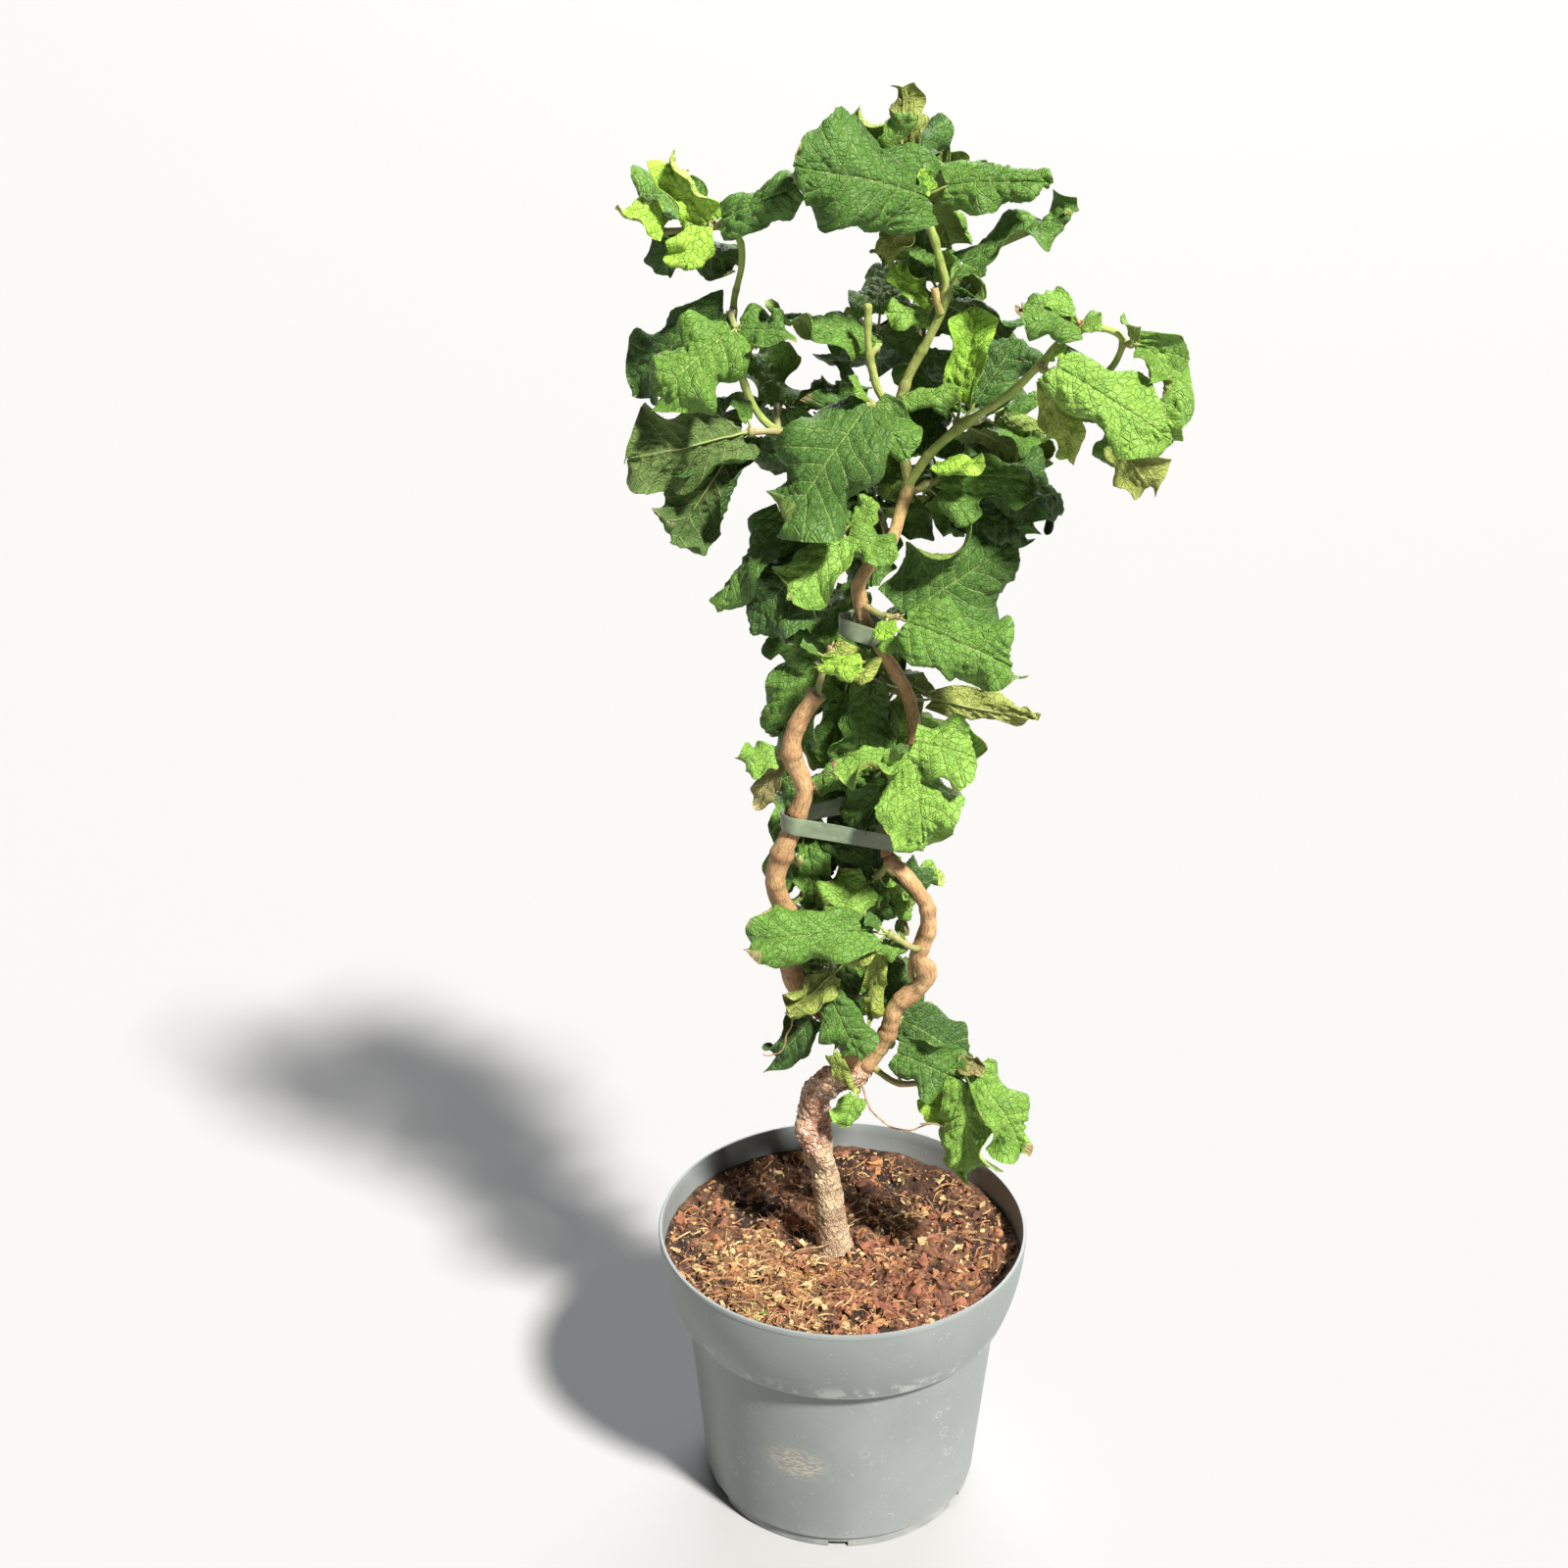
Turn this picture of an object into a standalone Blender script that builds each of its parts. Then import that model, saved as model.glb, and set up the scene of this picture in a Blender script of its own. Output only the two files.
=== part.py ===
# A potted corkscrew hazel: a banded nursery pot of bark compost, a gnarled trunk that forks
# into twisted stems, two straps that tie them, arching shoots, and sprays of crumpled leaves.
# Metres, +Z up. The origin is the middle of the pot's flat underside, and -Y is the front.

import math
import random
from collections import Counter
from dataclasses import dataclass

import bmesh
import bpy
import numpy as np
from mathutils import Vector

# Lengths in the data below are in millimetres, and angles in degrees.
MM = 0.001
# Gap that solids keep where they meet
GAP = 0.3

# Pot
POT_HEIGHT = 208.0
POT_RIM_RADIUS = 130.0
POT_BAND_HEIGHT = 61.4
POT_BAND_FOOT_RADIUS = 117.5
POT_NECK_RADIUS = 111.5
POT_BASE_RADIUS = 98.0
POT_FOOT_HEIGHT = 9.0
POT_FOOT_INSET = 1.2
POT_WALL = 2.2
POT_FLOOR = 7.0
POT_SEGMENTS = 32
POT_STEP = 0.5
RIM_ROUND = 0.9
# Depths down the band, as shares of its height, where its outside turns
BAND_STATIONS = (1.0, 0.8, 0.45)
# Over this rise the inside goes from the body's line to the band's.
SHOULDER_RISE = 6.0
NOTCHES = 6
# Length, depth and height of a drainage notch
NOTCH_SIZE = (14.0, 6.0, 4.5)
BOX_FACES = ((0, 1, 2, 3), (7, 6, 5, 4), (4, 5, 1, 0), (5, 6, 2, 1), (6, 7, 3, 2), (7, 4, 0, 3))

# Compost
SOIL_LEVEL = 190.0
SOIL_RINGS = 5
SOIL_SEGMENTS = 22
# Each mound is its middle x and y, its height and its reach.
SOIL_MOUNDS = (
    (-62, -48, 7, 34),
    (8, -98, 7, 44),
    (62, -62, 4, 36),
    (10, 60, -4, 60),
    (88, 30, -5, 36),
    (-30, 40, 3, 30),
)
# Heights at which the pot's inside and the compost's side turn together
INSIDE_HEIGHTS = (186.0, 166.0, 152.0, 146.6, POT_FLOOR)
# The compost's side has fewer faces than the pot's, so its corners stay this much inside.
SOIL_ROUNDING = 0.6
# The trunk stands on a level patch of this radius, and the mounds rise past it.
TRUNK_SEAT_RADIUS = 16.0
MOUND_START = 18.0

# Leaves
LEAF_THICKNESS = 1.2
STALK_WIDTH = 1.9
STALK_SHIFT = 0.12
FUSE_TRIES = 12
STALK_TAPER = 0.55
TWIG_TAPER = 0.8
# Lateral lines of a leaf run back at its heart-shaped base and forward past it.
HEART_NOTCH = 0.07
VEIN_SLANT = 0.42
# The outline is widest at this share of its length. The rest shape its base and its tip.
WIDEST = 0.48
BASE_SHARE = 0.58
BASE_ROUND = 2.2
TIP_NARROWS = 0.985
TIP_ROUND = 1.8
TIP_POINT = 0.9
CURL_GRIP = 1.4
CURL_STEPS = 12
RUFFLE = 0.045
RUFFLE_WAVES = 1.6
CRUMPLE = 0.04
FOLD_WAVES = 1.4
LOBE = 0.13
LOBE_WAVES = 2.3

# Widths from which a leaf takes one more row of faces, and two more columns
SMALL_LEAF = 48.0
LARGE_LEAF = 68.0

# Clear space that a leaf keeps, to limbs, to other sprays and to its own spray
LIMB_ROOM = 2.8
SPRAY_ROOM = 3.8
LEAF_ROOM = 1.8
# A leaf that would touch something is eased along its face, and along its reach, by one of these.
EASES = (
    (0, 0),
    (3, 0),
    (-3, 0),
    (0, 4),
    (6, 0),
    (-6, 0),
    (4, 5),
    (-4, 5),
    (9, 0),
    (-9, 0),
    (0, 9),
    (12, 0),
    (-12, 0),
    (8, 8),
    (-8, 8),
    (16, 0),
    (-16, 0),
    (16, 8),
    (-16, 8),
)
SAMPLES = 17
OWN_ROOT = 0.26
# A leaf's place on its stem is counted in this many stations between bends.
STEM_STATIONS = 8
# Faces that a union split are joined again where they are this close to flat.
FLAT_ENOUGH = 2.5
# Points of a union this close together are made one.
CLOSEST = 0.002
# A limb or a stem is cut back from the limbs that it comes this near.
MEETING = 1.0
# The flare at the trunk's foot dies away over this length.
FLARE_REACH = 12.0
POT_SMOOTH = 30.0
BARK_SMOOTH = 40.0

BARK_OLD = (0.27, 0.17, 0.11)
BARK_TAN = (0.47, 0.31, 0.18)
BARK_ORANGE = (0.45, 0.25, 0.12)
BARK_GREEN = (0.30, 0.38, 0.12)
POT_GREY = (0.20, 0.235, 0.235)
SOIL_BROWN = (0.20, 0.085, 0.045)
TIE_GREEN = (0.19, 0.25, 0.20)
LEAF_GREEN = (0.10, 0.24, 0.05)


@dataclass(frozen=True)
class Limb:
    """A tapering limb through its bends, from its parent limb's axis to its tip."""

    name: str
    parent: str
    bends: tuple
    foot: float
    tip: float
    bark: tuple
    sides: int = 6
    parts: int = 3
    flare: float = 0.0
    level_foot: bool = False
    burls: tuple = ()


@dataclass(frozen=True)
class Leaf:
    """One leaf: where its stalk leaves the stem, how its blade lies, and how it curls.

    stalk runs from the stem to the blade's base, and reach from there to its tip. face is the
    way its upper side looks. right and left are how far each half's edge turns to that side.
    """

    at: float
    stalk: tuple
    reach: tuple
    face: tuple
    width: float
    tint: str
    arch: float = 0.0
    right: float = -15.0
    left: float = -15.0
    twist: float = 0.0
    sway: float = 0.0


@dataclass(frozen=True)
class Spray:
    """A twig with its leaves. fill is how many more the rule adds, towards its far side."""

    name: str
    bough: str
    bends: tuple
    leaves: tuple = ()
    fill: int = 0
    outward: tuple = (0, 1, 0)
    reach: float = 60.0
    twig: float = 2.3


LIMBS = (
    Limb(
        "trunk",
        "",
        (
            (-5, -5, 190.3),
            (-8, -4, 214),
            (-14, -2, 254),
            (-21, -1, 284),
            (-21, -1, 309),
            (-10, -4, 326),
            (5, -8, 333),
            (14, -10, 342),
        ),
        10.5,
        8.0,
        BARK_OLD,
        sides=9,
        flare=3.0,
        level_foot=True,
        burls=((0.55, 2.2, 0.12), (0.80, 1.2, 0.08)),
    ),
    Limb(
        "stem_left",
        "trunk",
        (
            (9, -9, 338),
            (6, -7, 356),
            (-4, -4, 371),
            (-17, -1, 382),
            (-32, 0, 397),
            (-37, -1, 414),
            (-36, -9, 447),
            (-46, -18, 481),
            (-42, -20, 505),
            (-34, -20, 527),
            (-28, -20, 552),
            (-36, -20, 575),
            (-32, -20, 596),
            (-20, -20, 617),
        ),
        7.6,
        5.6,
        BARK_ORANGE,
        parts=2,
        burls=((0.10, 1.6, 0.05), (0.62, 0.8, 0.03), (0.86, 0.7, 0.03)),
    ),
    Limb(
        "stem_right",
        "trunk",
        (
            (14, -10, 341),
            (21, -11, 353),
            (29, -13, 370),
            (34, -15, 391),
            (49, -18, 408),
            (54, -20, 420),
            (48, -20, 434),
            (54, -20, 451),
            (51, -20, 472),
            (39, -20, 490),
            (26, -15, 502),
        ),
        6.6,
        4.3,
        BARK_TAN,
        parts=2,
        burls=((0.36, 1.2, 0.04), (0.50, 1.2, 0.04)),
    ),
    Limb(
        "stem_mid",
        "stem_right",
        (
            (26, -15, 502),
            (26, -6, 516),
            (35, 1, 547),
            (42, 2, 578),
            (37, 0, 610),
            (20, -1, 640),
            (8, -2, 662),
        ),
        4.2,
        4.0,
        BARK_TAN,
        parts=2,
    ),
    Limb(
        "leader",
        "stem_mid",
        (
            (8, -2, 662),
            (5, -5, 683),
            (12, -9, 699),
            (24, -9, 713),
            (31, 0, 731),
            (35, 0, 750),
        ),
        4.6,
        3.7,
        BARK_TAN,
        parts=2,
    ),
    Limb(
        "leader_top",
        "leader",
        (
            (35, 0, 750),
            (31, 0, 766),
            (27, 4, 786),
            (33, 4, 812),
            (45, 0, 837),
            (54, -5, 863),
            (48, -10, 889),
            (40, -10, 913),
        ),
        3.5,
        2.0,
        BARK_GREEN,
        parts=2,
        burls=((0.70, 0.5, 0.02), (0.98, 0.5, 0.02)),
    ),
    Limb(
        "cut_stub",
        "leader_top",
        ((51, -4, 852), (48, -5, 862), (47, -5, 867)),
        2.6,
        2.6,
        BARK_TAN,
        parts=2,
    ),
    Limb(
        "arch_left",
        "leader_top",
        (
            (28, 4, 783),
            (8, 15, 777),
            (-18, 20, 772),
            (-42, 20, 773),
            (-57, 20, 784),
            (-68, 20, 808),
            (-72, 18, 832),
            (-72, 15, 854),
            (-67, 10, 876),
            (-68, 4, 893),
            (-79, 0, 901),
        ),
        2.7,
        1.8,
        BARK_GREEN,
        sides=5,
        parts=2,
        burls=((0.66, 0.5, 0.02),),
    ),
    Limb(
        "arch_right",
        "leader",
        (
            (35, -1, 748),
            (47, -10, 769),
            (67, -20, 790),
            (89, -30, 808),
            (107, -40, 829),
            (117, -45, 843),
            (129, -50, 852),
        ),
        3.2,
        2.0,
        BARK_GREEN,
        sides=5,
        parts=2,
        burls=((0.40, 0.4, 0.03),),
    ),
    Limb(
        "arch_tip",
        "arch_right",
        (
            (129, -50, 852),
            (143, -50, 853),
            (153, -50, 847),
            (151, -45, 834),
            (143, -40, 818),
            (144, -35, 802),
            (151, -30, 790),
        ),
        1.9,
        1.5,
        BARK_GREEN,
        sides=5,
        parts=2,
    ),
    Limb(
        "spur",
        "leader_top",
        ((28, 4, 790), (21, 0, 797), (14, -4, 808), (9, -6, 832), (8, -7, 858)),
        2.5,
        2.1,
        BARK_GREEN,
        sides=5,
        parts=2,
        burls=((0.97, 0.6, 0.03),),
    ),
    Limb(
        "side_twig",
        "stem_right",
        ((49, -18, 408), (44, -16, 415), (44, -16, 430), (49, -17, 449), (52, -19, 458)),
        1.8,
        1.6,
        BARK_TAN,
        sides=5,
        parts=2,
    ),
)

SPRAYS = (
    Spray(
        "crown_top",
        "leader_top",
        ((40, -10, 912), (35, -10, 925), (28, -10, 930), (22, -8, 947)),
        (
            Leaf(0.12, (3, -3, 2), (-77, -29, 21), (0, -9, 3), 63, "deep",
                 arch=45, right=-70, left=-35),
            Leaf(0.83, (2, 6, -1), (1, 11, 41), (5, 8, 1), 30, "olive", arch=-20, right=25, left=25),
            Leaf(0.92, (-6, -3, 0), (-27, -2, 23), (-2, -8, 5), 30, "light",
                 arch=35, right=45, left=45),
            Leaf(0.96, (-6, -11, -1), (13, -7, 24), (3, -9, 2), 19, "light", right=-50, left=-50),
            Leaf(0.21, (6, -4, 3), (-7, -4, 11), (0, -6, 6), 13, "fresh", right=50, left=50),
            Leaf(0.21, (15, -5, 6), (58, -9, 4), (0, -8, 5), 38, "mid", arch=20, right=-70, left=-65),
            Leaf(0.0, (-7, 12, -3), (-19, 6, -30), (1, 9, -1), 24, "olive", arch=-25),
        ),
        fill=3,
    ),
    Spray(
        "crown_side",
        "leader_top",
        ((54, -5, 864), (52, 4, 865), (48, 9, 858)),
        (
            Leaf(0.0, (4, -2, 12), (62, -11, 36), (2, -4, 9), 35, "mid", arch=-15, right=60, left=60),
            Leaf(0.62, (-5, 3, -8), (-25, 5, 20), (2, -8, 5), 16, "fresh", right=-40, left=-40),
            Leaf(1.0, (-4, -5, -7), (-24, -2, 1), (0, -8, 5), 21, "light", right=-30, left=-30),
            Leaf(1.0, (-10, 7, -21), (-17, 6, -12), (0, -9, 3), 25, "deep", right=-40, left=-40),
        ),
        fill=2,
    ),
    Spray(
        "left_tip",
        "arch_left",
        ((-79, 0, 900), (-85, -1, 901), (-99, -3, 899), (-117, -3, 898)),
        (
            Leaf(0.0, (2, -6, 5), (46, -16, 19), (1, -8, 5), 36, "deep", arch=25, right=-85, left=-85),
            Leaf(0.38, (1, -8, 4), (-24, -5, 34), (-2, -9, 1), 30, "fresh", arch=20, right=30, left=30),
            Leaf(0.5, (0, -12, 3), (-7, -6, -25), (2, -9, 3), 29, "fresh",
                 arch=20, right=-30, left=-30),
            Leaf(0.92, (1, -4, 3), (-24, -4, 12), (-1, -6, 7), 27, "light", arch=35, right=30, left=30),
            Leaf(0.92, (0, 6, -3), (3, 5, -23), (0, -9, 2), 25, "deep", arch=10),
        ),
        fill=2,
    ),
    Spray(
        "left_mid",
        "arch_left",
        ((-72, 15, 848), (-73, 4, 848), (-70, -7, 842)),
        (
            Leaf(0.31, (-2, 0, 2), (-55, 14, -46), (-3, -7, 6), 46, "deep",
                 arch=45, right=-30, left=-30),
            Leaf(1.0, (-2, -5, 0), (-43, -20, -36), (-1, -8, 5), 53, "light",
                 arch=45, right=-40, left=-30),
            Leaf(1.0, (3, -2, 0), (28, -13, 3), (1, -8, 6), 38, "mid", arch=15, right=-55, left=-50),
        ),
        fill=2,
    ),
    Spray(
        "left_low",
        "arch_left",
        ((-42, 20, 774), (-51, 8, 777), (-64, 2, 778)),
        (
            Leaf(1.0, (-3, -2, 0), (-69, -18, -12), (-1, 9, -1), 56, "deep",
                 arch=-30, right=20, left=20),
            Leaf(1.0, (-4, 2, -4), (-42, -10, -64), (2, 9, 1), 42, "deep", arch=-35, right=30, left=30),
        ),
        fill=2,
    ),
    Spray(
        "ribbon",
        "spur",
        ((10, -5, 826), (12, 6, 827), (15, 10, 829)),
        (
            Leaf(1.0, (0, 0, 1), (-54, -10, 19), (-1, -7, 6), 32, "mid",
                 arch=20, right=-45, left=-35, twist=30),
            Leaf(1.0, (4, 14, -14), (22, 12, 24), (2, -9, 3), 31, "deep", right=-25, left=-25),
        ),
        fill=2,
    ),
    Spray(
        "centre_front",
        "leader_top",
        ((27, 5, 786), (17, -15, 798), (10, -24, 802)),
        (
            Leaf(1.0, (-1, -4, 0), (-49, -26, -68), (-1, -9, 3), 65, "deep",
                 arch=40, right=-35, left=-28),
            Leaf(0.94, (2, -1, 0), (20, -8, -31), (2, -9, 3), 34, "mid", arch=25, right=-50, left=-40),
            Leaf(0.38, (-11, 9, 6), (-28, 8, -11), (-1, -7, 7), 29, "deep", right=-30, left=-30),
            Leaf(0.44, (11, -4, 6), (33, -4, 8), (0, -6, 8), 20, "light", right=-60, left=-60),
        ),
    ),
    Spray(
        "inner_right",
        "arch_right",
        ((61, -18, 787), (62, -12, 789), (66, 4, 785)),
        (
            Leaf(0.5, (0, 0, 4), (8, 4, 56), (-2, -9, 2), 28, "fresh", arch=10, right=35, left=35),
            Leaf(1.0, (3, 11, -1), (26, 15, 36), (0, -9, 4), 43, "deep", arch=20, right=-25, left=-25),
            Leaf(1.0, (6, 8, -4), (31, 3, 3), (0, -8, 5), 23, "deep", right=-40, left=-40),
        ),
        fill=2,
    ),
    Spray(
        "arch_mid",
        "arch_right",
        ((108, -40, 830), (109, -45, 829), (110, -48, 828)),
        (
            Leaf(1.0, (0, -1, 2), (68, -9, -42), (-1, -8, 5), 43, "mid", arch=25, right=-25, left=-70),
            Leaf(0.44, (3, 2, -8), (15, -2, -43), (0, 9, 1), 23, "fresh", arch=-20, right=20, left=20),
        ),
    ),
    Spray(
        "arch_top",
        "arch_right",
        ((128, -50, 852), (128, -55, 856), (127, -57, 857)),
        (
            Leaf(1.0, (-1, 0, -1), (-33, -9, 12), (0, -6, 8), 35, "mid", arch=35, right=-55, left=-60),
            Leaf(0.94, (2, -1, 0), (10, -4, 6), (1, -6, 8), 17, "light", arch=20, right=-50, left=-50),
        ),
    ),
    Spray(
        "arch_curl",
        "arch_tip",
        ((156, -50, 844), (158, -53, 845), (159, -54, 845)),
        (
            Leaf(1.0, (1, 0, -1), (17, 2, -49), (5, -7, 4), 32, "light",
                 arch=10, right=65, left=65, sway=130),
        ),
    ),
    Spray(
        "arch_inner",
        "arch_tip",
        ((143, -39, 815), (141, -34, 814), (140, -31, 813)),
        (
            Leaf(1.0, (-1, 1, -1), (-14, 6, -3), (-1, -7, 7), 21, "light", right=-40, left=-40),
            Leaf(1.0, (2, 9, -5), (-6, 10, -19), (0, -9, 3), 20, "mid", right=-30, left=-30),
        ),
    ),
    Spray(
        "arch_end",
        "arch_tip",
        ((151, -30, 789), (154, -29, 786), (157, -29, 784)),
        (
            Leaf(1.0, (1, 0, -2), (19, -3, -28), (1, 9, 1), 34, "olive", arch=-20, right=20, left=20),
            Leaf(1.0, (-2, 7, -3), (-2, 14, -21), (0, -6, 7), 21, "mid", arch=30),
        ),
    ),
    Spray(
        "right_mid",
        "leader",
        ((33, 0, 740), (46, 5, 745), (56, 4, 750), (70, 6, 752)),
        (
            Leaf(0.67, (0, -11, 5), (57, -17, 0), (0, -7, 7), 33, "mid",
                 arch=25, right=-70, left=-50, twist=20),
            Leaf(0.67, (1, -16, -1), (12, -13, -16), (0, -9, 2), 27, "mid",
                 arch=60, right=-75, left=-75),
            Leaf(1.0, (3, 8, 1), (61, 10, -29), (1, -6, 7), 45, "deep", arch=60, right=-30, left=-30),
            Leaf(0.33, (4, 15, -11), (61, 4, -26), (0, -8, 5), 35, "deep",
                 arch=30, right=-30, left=-20),
            Leaf(0.29, (0, 19, -15), (-7, 6, -26), (0, -9, 3), 27, "deep"),
            Leaf(0.62, (-8, -20, 14), (29, -14, 4), (0, -5, 8), 16, "fresh", right=-50, left=-50),
        ),
        fill=2,
    ),
    Spray(
        "left_shoulder",
        "leader",
        ((24, -9, 711), (7, -18, 721), (-11, -16, 723), (-37, -11, 727)),
        (
            Leaf(1.0, (-4, -2, 0), (-39, -11, -46), (-3, -8, 5), 48, "mid",
                 arch=35, right=-30, left=-30, twist=100),
            Leaf(0.75, (-1, -7, -9), (-45, -16, -53), (-2, -9, 3), 50, "deep",
                 arch=45, right=-40, left=-22),
            Leaf(0.5, (-2, -10, -2), (-34, -22, -32), (-1, -8, 5), 36, "light",
                 arch=30, right=-30, left=-30),
            Leaf(0.46, (-2, -9, 0), (29, -11, -9), (1, -8, 6), 28, "light",
                 arch=25, right=-45, left=-35),
            Leaf(0.5, (0, 5, 0), (-19, -5, 19), (0, -9, 3), 25, "mid", twist=80),
            Leaf(0.42, (0, 5, 0), (10, -1, 20), (0, -9, 3), 20, "light", right=-40, left=-40),
        ),
    ),
    Spray(
        "right_low",
        "leader",
        ((6, -3, 671), (20, -17, 668), (31, -21, 669)),
        (
            Leaf(1.0, (2, -2, 2), (65, 13, 42), (1, -9, 3), 72, "deep", arch=22, right=-14, left=-18),
            Leaf(1.0, (4, -7, -1), (68, -10, -26), (1, -9, 4), 53, "mid", arch=30, right=-20, left=-20),
            Leaf(0.75, (1, 0, -12), (-7, -3, -11), (0, -9, 4), 12, "light"),
        ),
    ),
    Spray(
        "column_upper",
        "stem_mid",
        ((40, 0, 604), (31, 14, 606), (14, 19, 610), (-5, 21, 615), (-20, 20, 620)),
        (
            Leaf(0.47, (-2, -9, 2), (-2, -6, -47), (0, -9, 2), 36, "deep",
                 arch=20, right=-20, left=-20),
            Leaf(0.69, (-2, 1, -12), (-12, -2, -49), (0, -9, 2), 28, "deep"),
            Leaf(1.0, (-3, -6, 2), (-25, -4, -53), (-2, -9, 2), 49, "mid",
                 arch=25, right=-25, left=-20),
            Leaf(0.06, (7, 4, 1), (67, -8, -11), (1, 7, -4), 26, "dry",
                 arch=20, twist=60, right=40, left=40),
        ),
        fill=1,
    ),
    Spray(
        "shoot",
        "stem_left",
        ((-19, -19, 620), (-16, -20, 634), (-11, -18, 648)),
        (
            Leaf(1.0, (1, -3, -1), (22, -13, -16), (0, -8, 6), 26, "olive", right=-45, left=40),
            Leaf(0.44, (0, -4, -1), (25, -18, 5), (0, -6, 8), 18, "fresh", right=-40, left=-40),
            Leaf(1.0, (2, 6, -3), (20, 3, -6), (0, -8, 5), 22, "deep"),
        ),
    ),
    Spray(
        "left_knot",
        "stem_left",
        ((-36, -20, 576), (-42, -16, 574), (-44, -13, 570)),
        (
            Leaf(0.5, (-1, -1, 1), (-20, -2, -6), (-2, -8, 6), 24, "light",
                 arch=20, right=-30, left=-30),
            Leaf(1.0, (-1, -1, -1), (-13, 0, -35), (-2, -9, 2), 18, "dry", arch=25, right=40, left=40),
            Leaf(1.0, (3, 5, -8), (4, 4, -32), (-1, -9, 2), 21, "mid"),
        ),
        fill=1,
    ),
    Spray(
        "column_mid",
        "stem_mid",
        ((42, 0, 572), (39, -14, 577), (35, -22, 580)),
        (
            Leaf(1.0, (0, -5, 1), (4, -9, -65), (1, -9, 3), 65, "light", arch=30, right=-25, left=-25),
            Leaf(0.75, (3, 0, 4), (41, -6, -8), (2, -8, 5), 42, "light", arch=25, right=-20, left=-30),
            Leaf(1.0, (-4, -2, -2), (-43, -10, -7), (-1, -5, 8), 32, "light",
                 arch=20, right=-35, left=-40),
            Leaf(0.19, (-16, -4, -23), (-27, -5, -29), (0, -9, 2), 30, "deep", right=55, left=55),
        ),
    ),
    Spray(
        "low_left",
        "stem_left",
        ((-41, -20, 505), (-37, -5, 495), (-31, 4, 488)),
        (
            Leaf(0.56, (-7, 8, 4), (-7, -2, -51), (-5, -8, 1), 23, "mid", arch=40),
            Leaf(0.94, (6, 5, 10), (6, -3, -48), (0, -9, 1), 32, "deep", arch=15),
            Leaf(1.0, (3, 10, 17), (10, 0, 36), (0, -9, 1), 29, "deep"),
        ),
        fill=1,
    ),
    Spray(
        "low_right",
        "stem_right",
        ((27, -15, 498), (23, -2, 485), (14, 4, 474)),
        (
            Leaf(0.88, (-3, -8, 1), (-29, -10, -21), (-1, -9, 4), 43, "light",
                 arch=30, right=-35, left=-20),
            Leaf(0.56, (1, -3, -4), (8, -4, -32), (1, -9, 3), 30, "mid", arch=20),
            Leaf(0.19, (13, 5, 0), (14, -3, -18), (3, -8, 3), 23, "deep", right=-40, left=-40),
        ),
        fill=1,
    ),
    Spray(
        "low_front",
        "stem_right",
        ((52, -20, 438), (43, -30, 444), (27, -33, 456)),
        (
            Leaf(1.0, (-10, -2, 2), (-80, -11, -3), (0, -7, 6), 41, "light",
                 arch=30, right=-30, left=-15),
            Leaf(1.0, (-7, -1, -6), (-23, -6, -14), (0, -8, 5), 19, "olive"),
            Leaf(0.62, (0, 1, 2), (-17, -6, -6), (0, -7, 6), 15, "light", right=-40, left=-40),
            Leaf(0.81, (-11, 10, -13), (-7, 6, -61), (2, -9, 1), 15, "olive", twist=60),
        ),
    ),
    Spray(
        "fork_left",
        "stem_left",
        ((-24, 0, 388), (-16, -9, 404), (-10, -13, 415)),
        (
            Leaf(1.0, (0, -2, 3), (-28, -9, -25), (0, 9, 0), 29, "olive", arch=-20),
            Leaf(0.7, (13, 7, 8), (7, 4, -40), (0, -9, 1), 17, "deep", twist=40),
        ),
        fill=1,
    ),
    Spray(
        "base_left",
        "stem_left",
        ((3, -4, 365), (-4, -17, 386), (-11, -20, 403)),
        (
            Leaf(1.0, (0, -4, 1), (21, -10, -42), (-1, -9, 4), 36, "mid", arch=30, right=-25, left=-25),
            Leaf(0.5, (-17, 3, -6), (-28, -2, -33), (-2, -9, 3), 30, "deep",
                 arch=20, right=-30, left=-30),
            Leaf(0.25, (-7, -19, -14), (13, 0, -30), (0, -9, 2), 14, "olive", twist=60),
        ),
    ),
    Spray(
        "base_right",
        "stem_right",
        ((22, -10, 340), (34, -24, 338), (49, -30, 341), (66, -34, 348), (81, -35, 355)),
        (
            Leaf(0.31, (-2, 2, 23), (39, -14, -11), (0, -9, 4), 42, "mid",
                 arch=20, right=-20, left=-20),
            Leaf(0.53, (5, 4, -11), (16, -1, -16), (0, -9, 4), 28, "fresh", right=30, left=30),
            Leaf(1.0, (6, -2, -2), (36, -9, -55), (3, -8, 4), 44, "light",
                 arch=30, right=-22, left=-22),
            Leaf(0.97, (4, 0, -7), (-2, 3, -81), (-1, -9, 2), 43, "fresh",
                 arch=20, right=-20, left=-20),
            Leaf(0.97, (-3, 0, 5), (17, -5, 0), (0, -8, 5), 16, "dry", right=40, left=40),
        ),
    ),
    Spray(
        "base_back",
        "stem_right",
        ((27, -12, 370), (33, -3, 371), (37, 0, 373)),
        (
            Leaf(1.0, (1, 0, 1), (51, -6, -34), (1, -7, 7), 43, "deep", arch=50, right=-30, left=-20),
        ),
        fill=3,
    ),
    Spray(
        "base_under",
        "trunk",
        ((7, -10, 329), (9, -14, 325), (9, -15, 323)),
        (
            Leaf(1.0, (-1, -1, -2), (-10, -2, -22), (0, -9, 3), 20, "light", arch=20),
        ),
    ),
    Spray("back_crown", "leader_top", ((31, 4, 806), (37, 24, 816), (40, 48, 826), (36, 70, 838)), fill=5,
          outward=(1, 8, 2), reach=66),
    Spray("back_high", "leader_top", ((46, -9, 895), (42, 12, 902), (38, 34, 908), (30, 54, 912)), fill=4,
          outward=(-2, 8, 2), reach=56),
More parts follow.
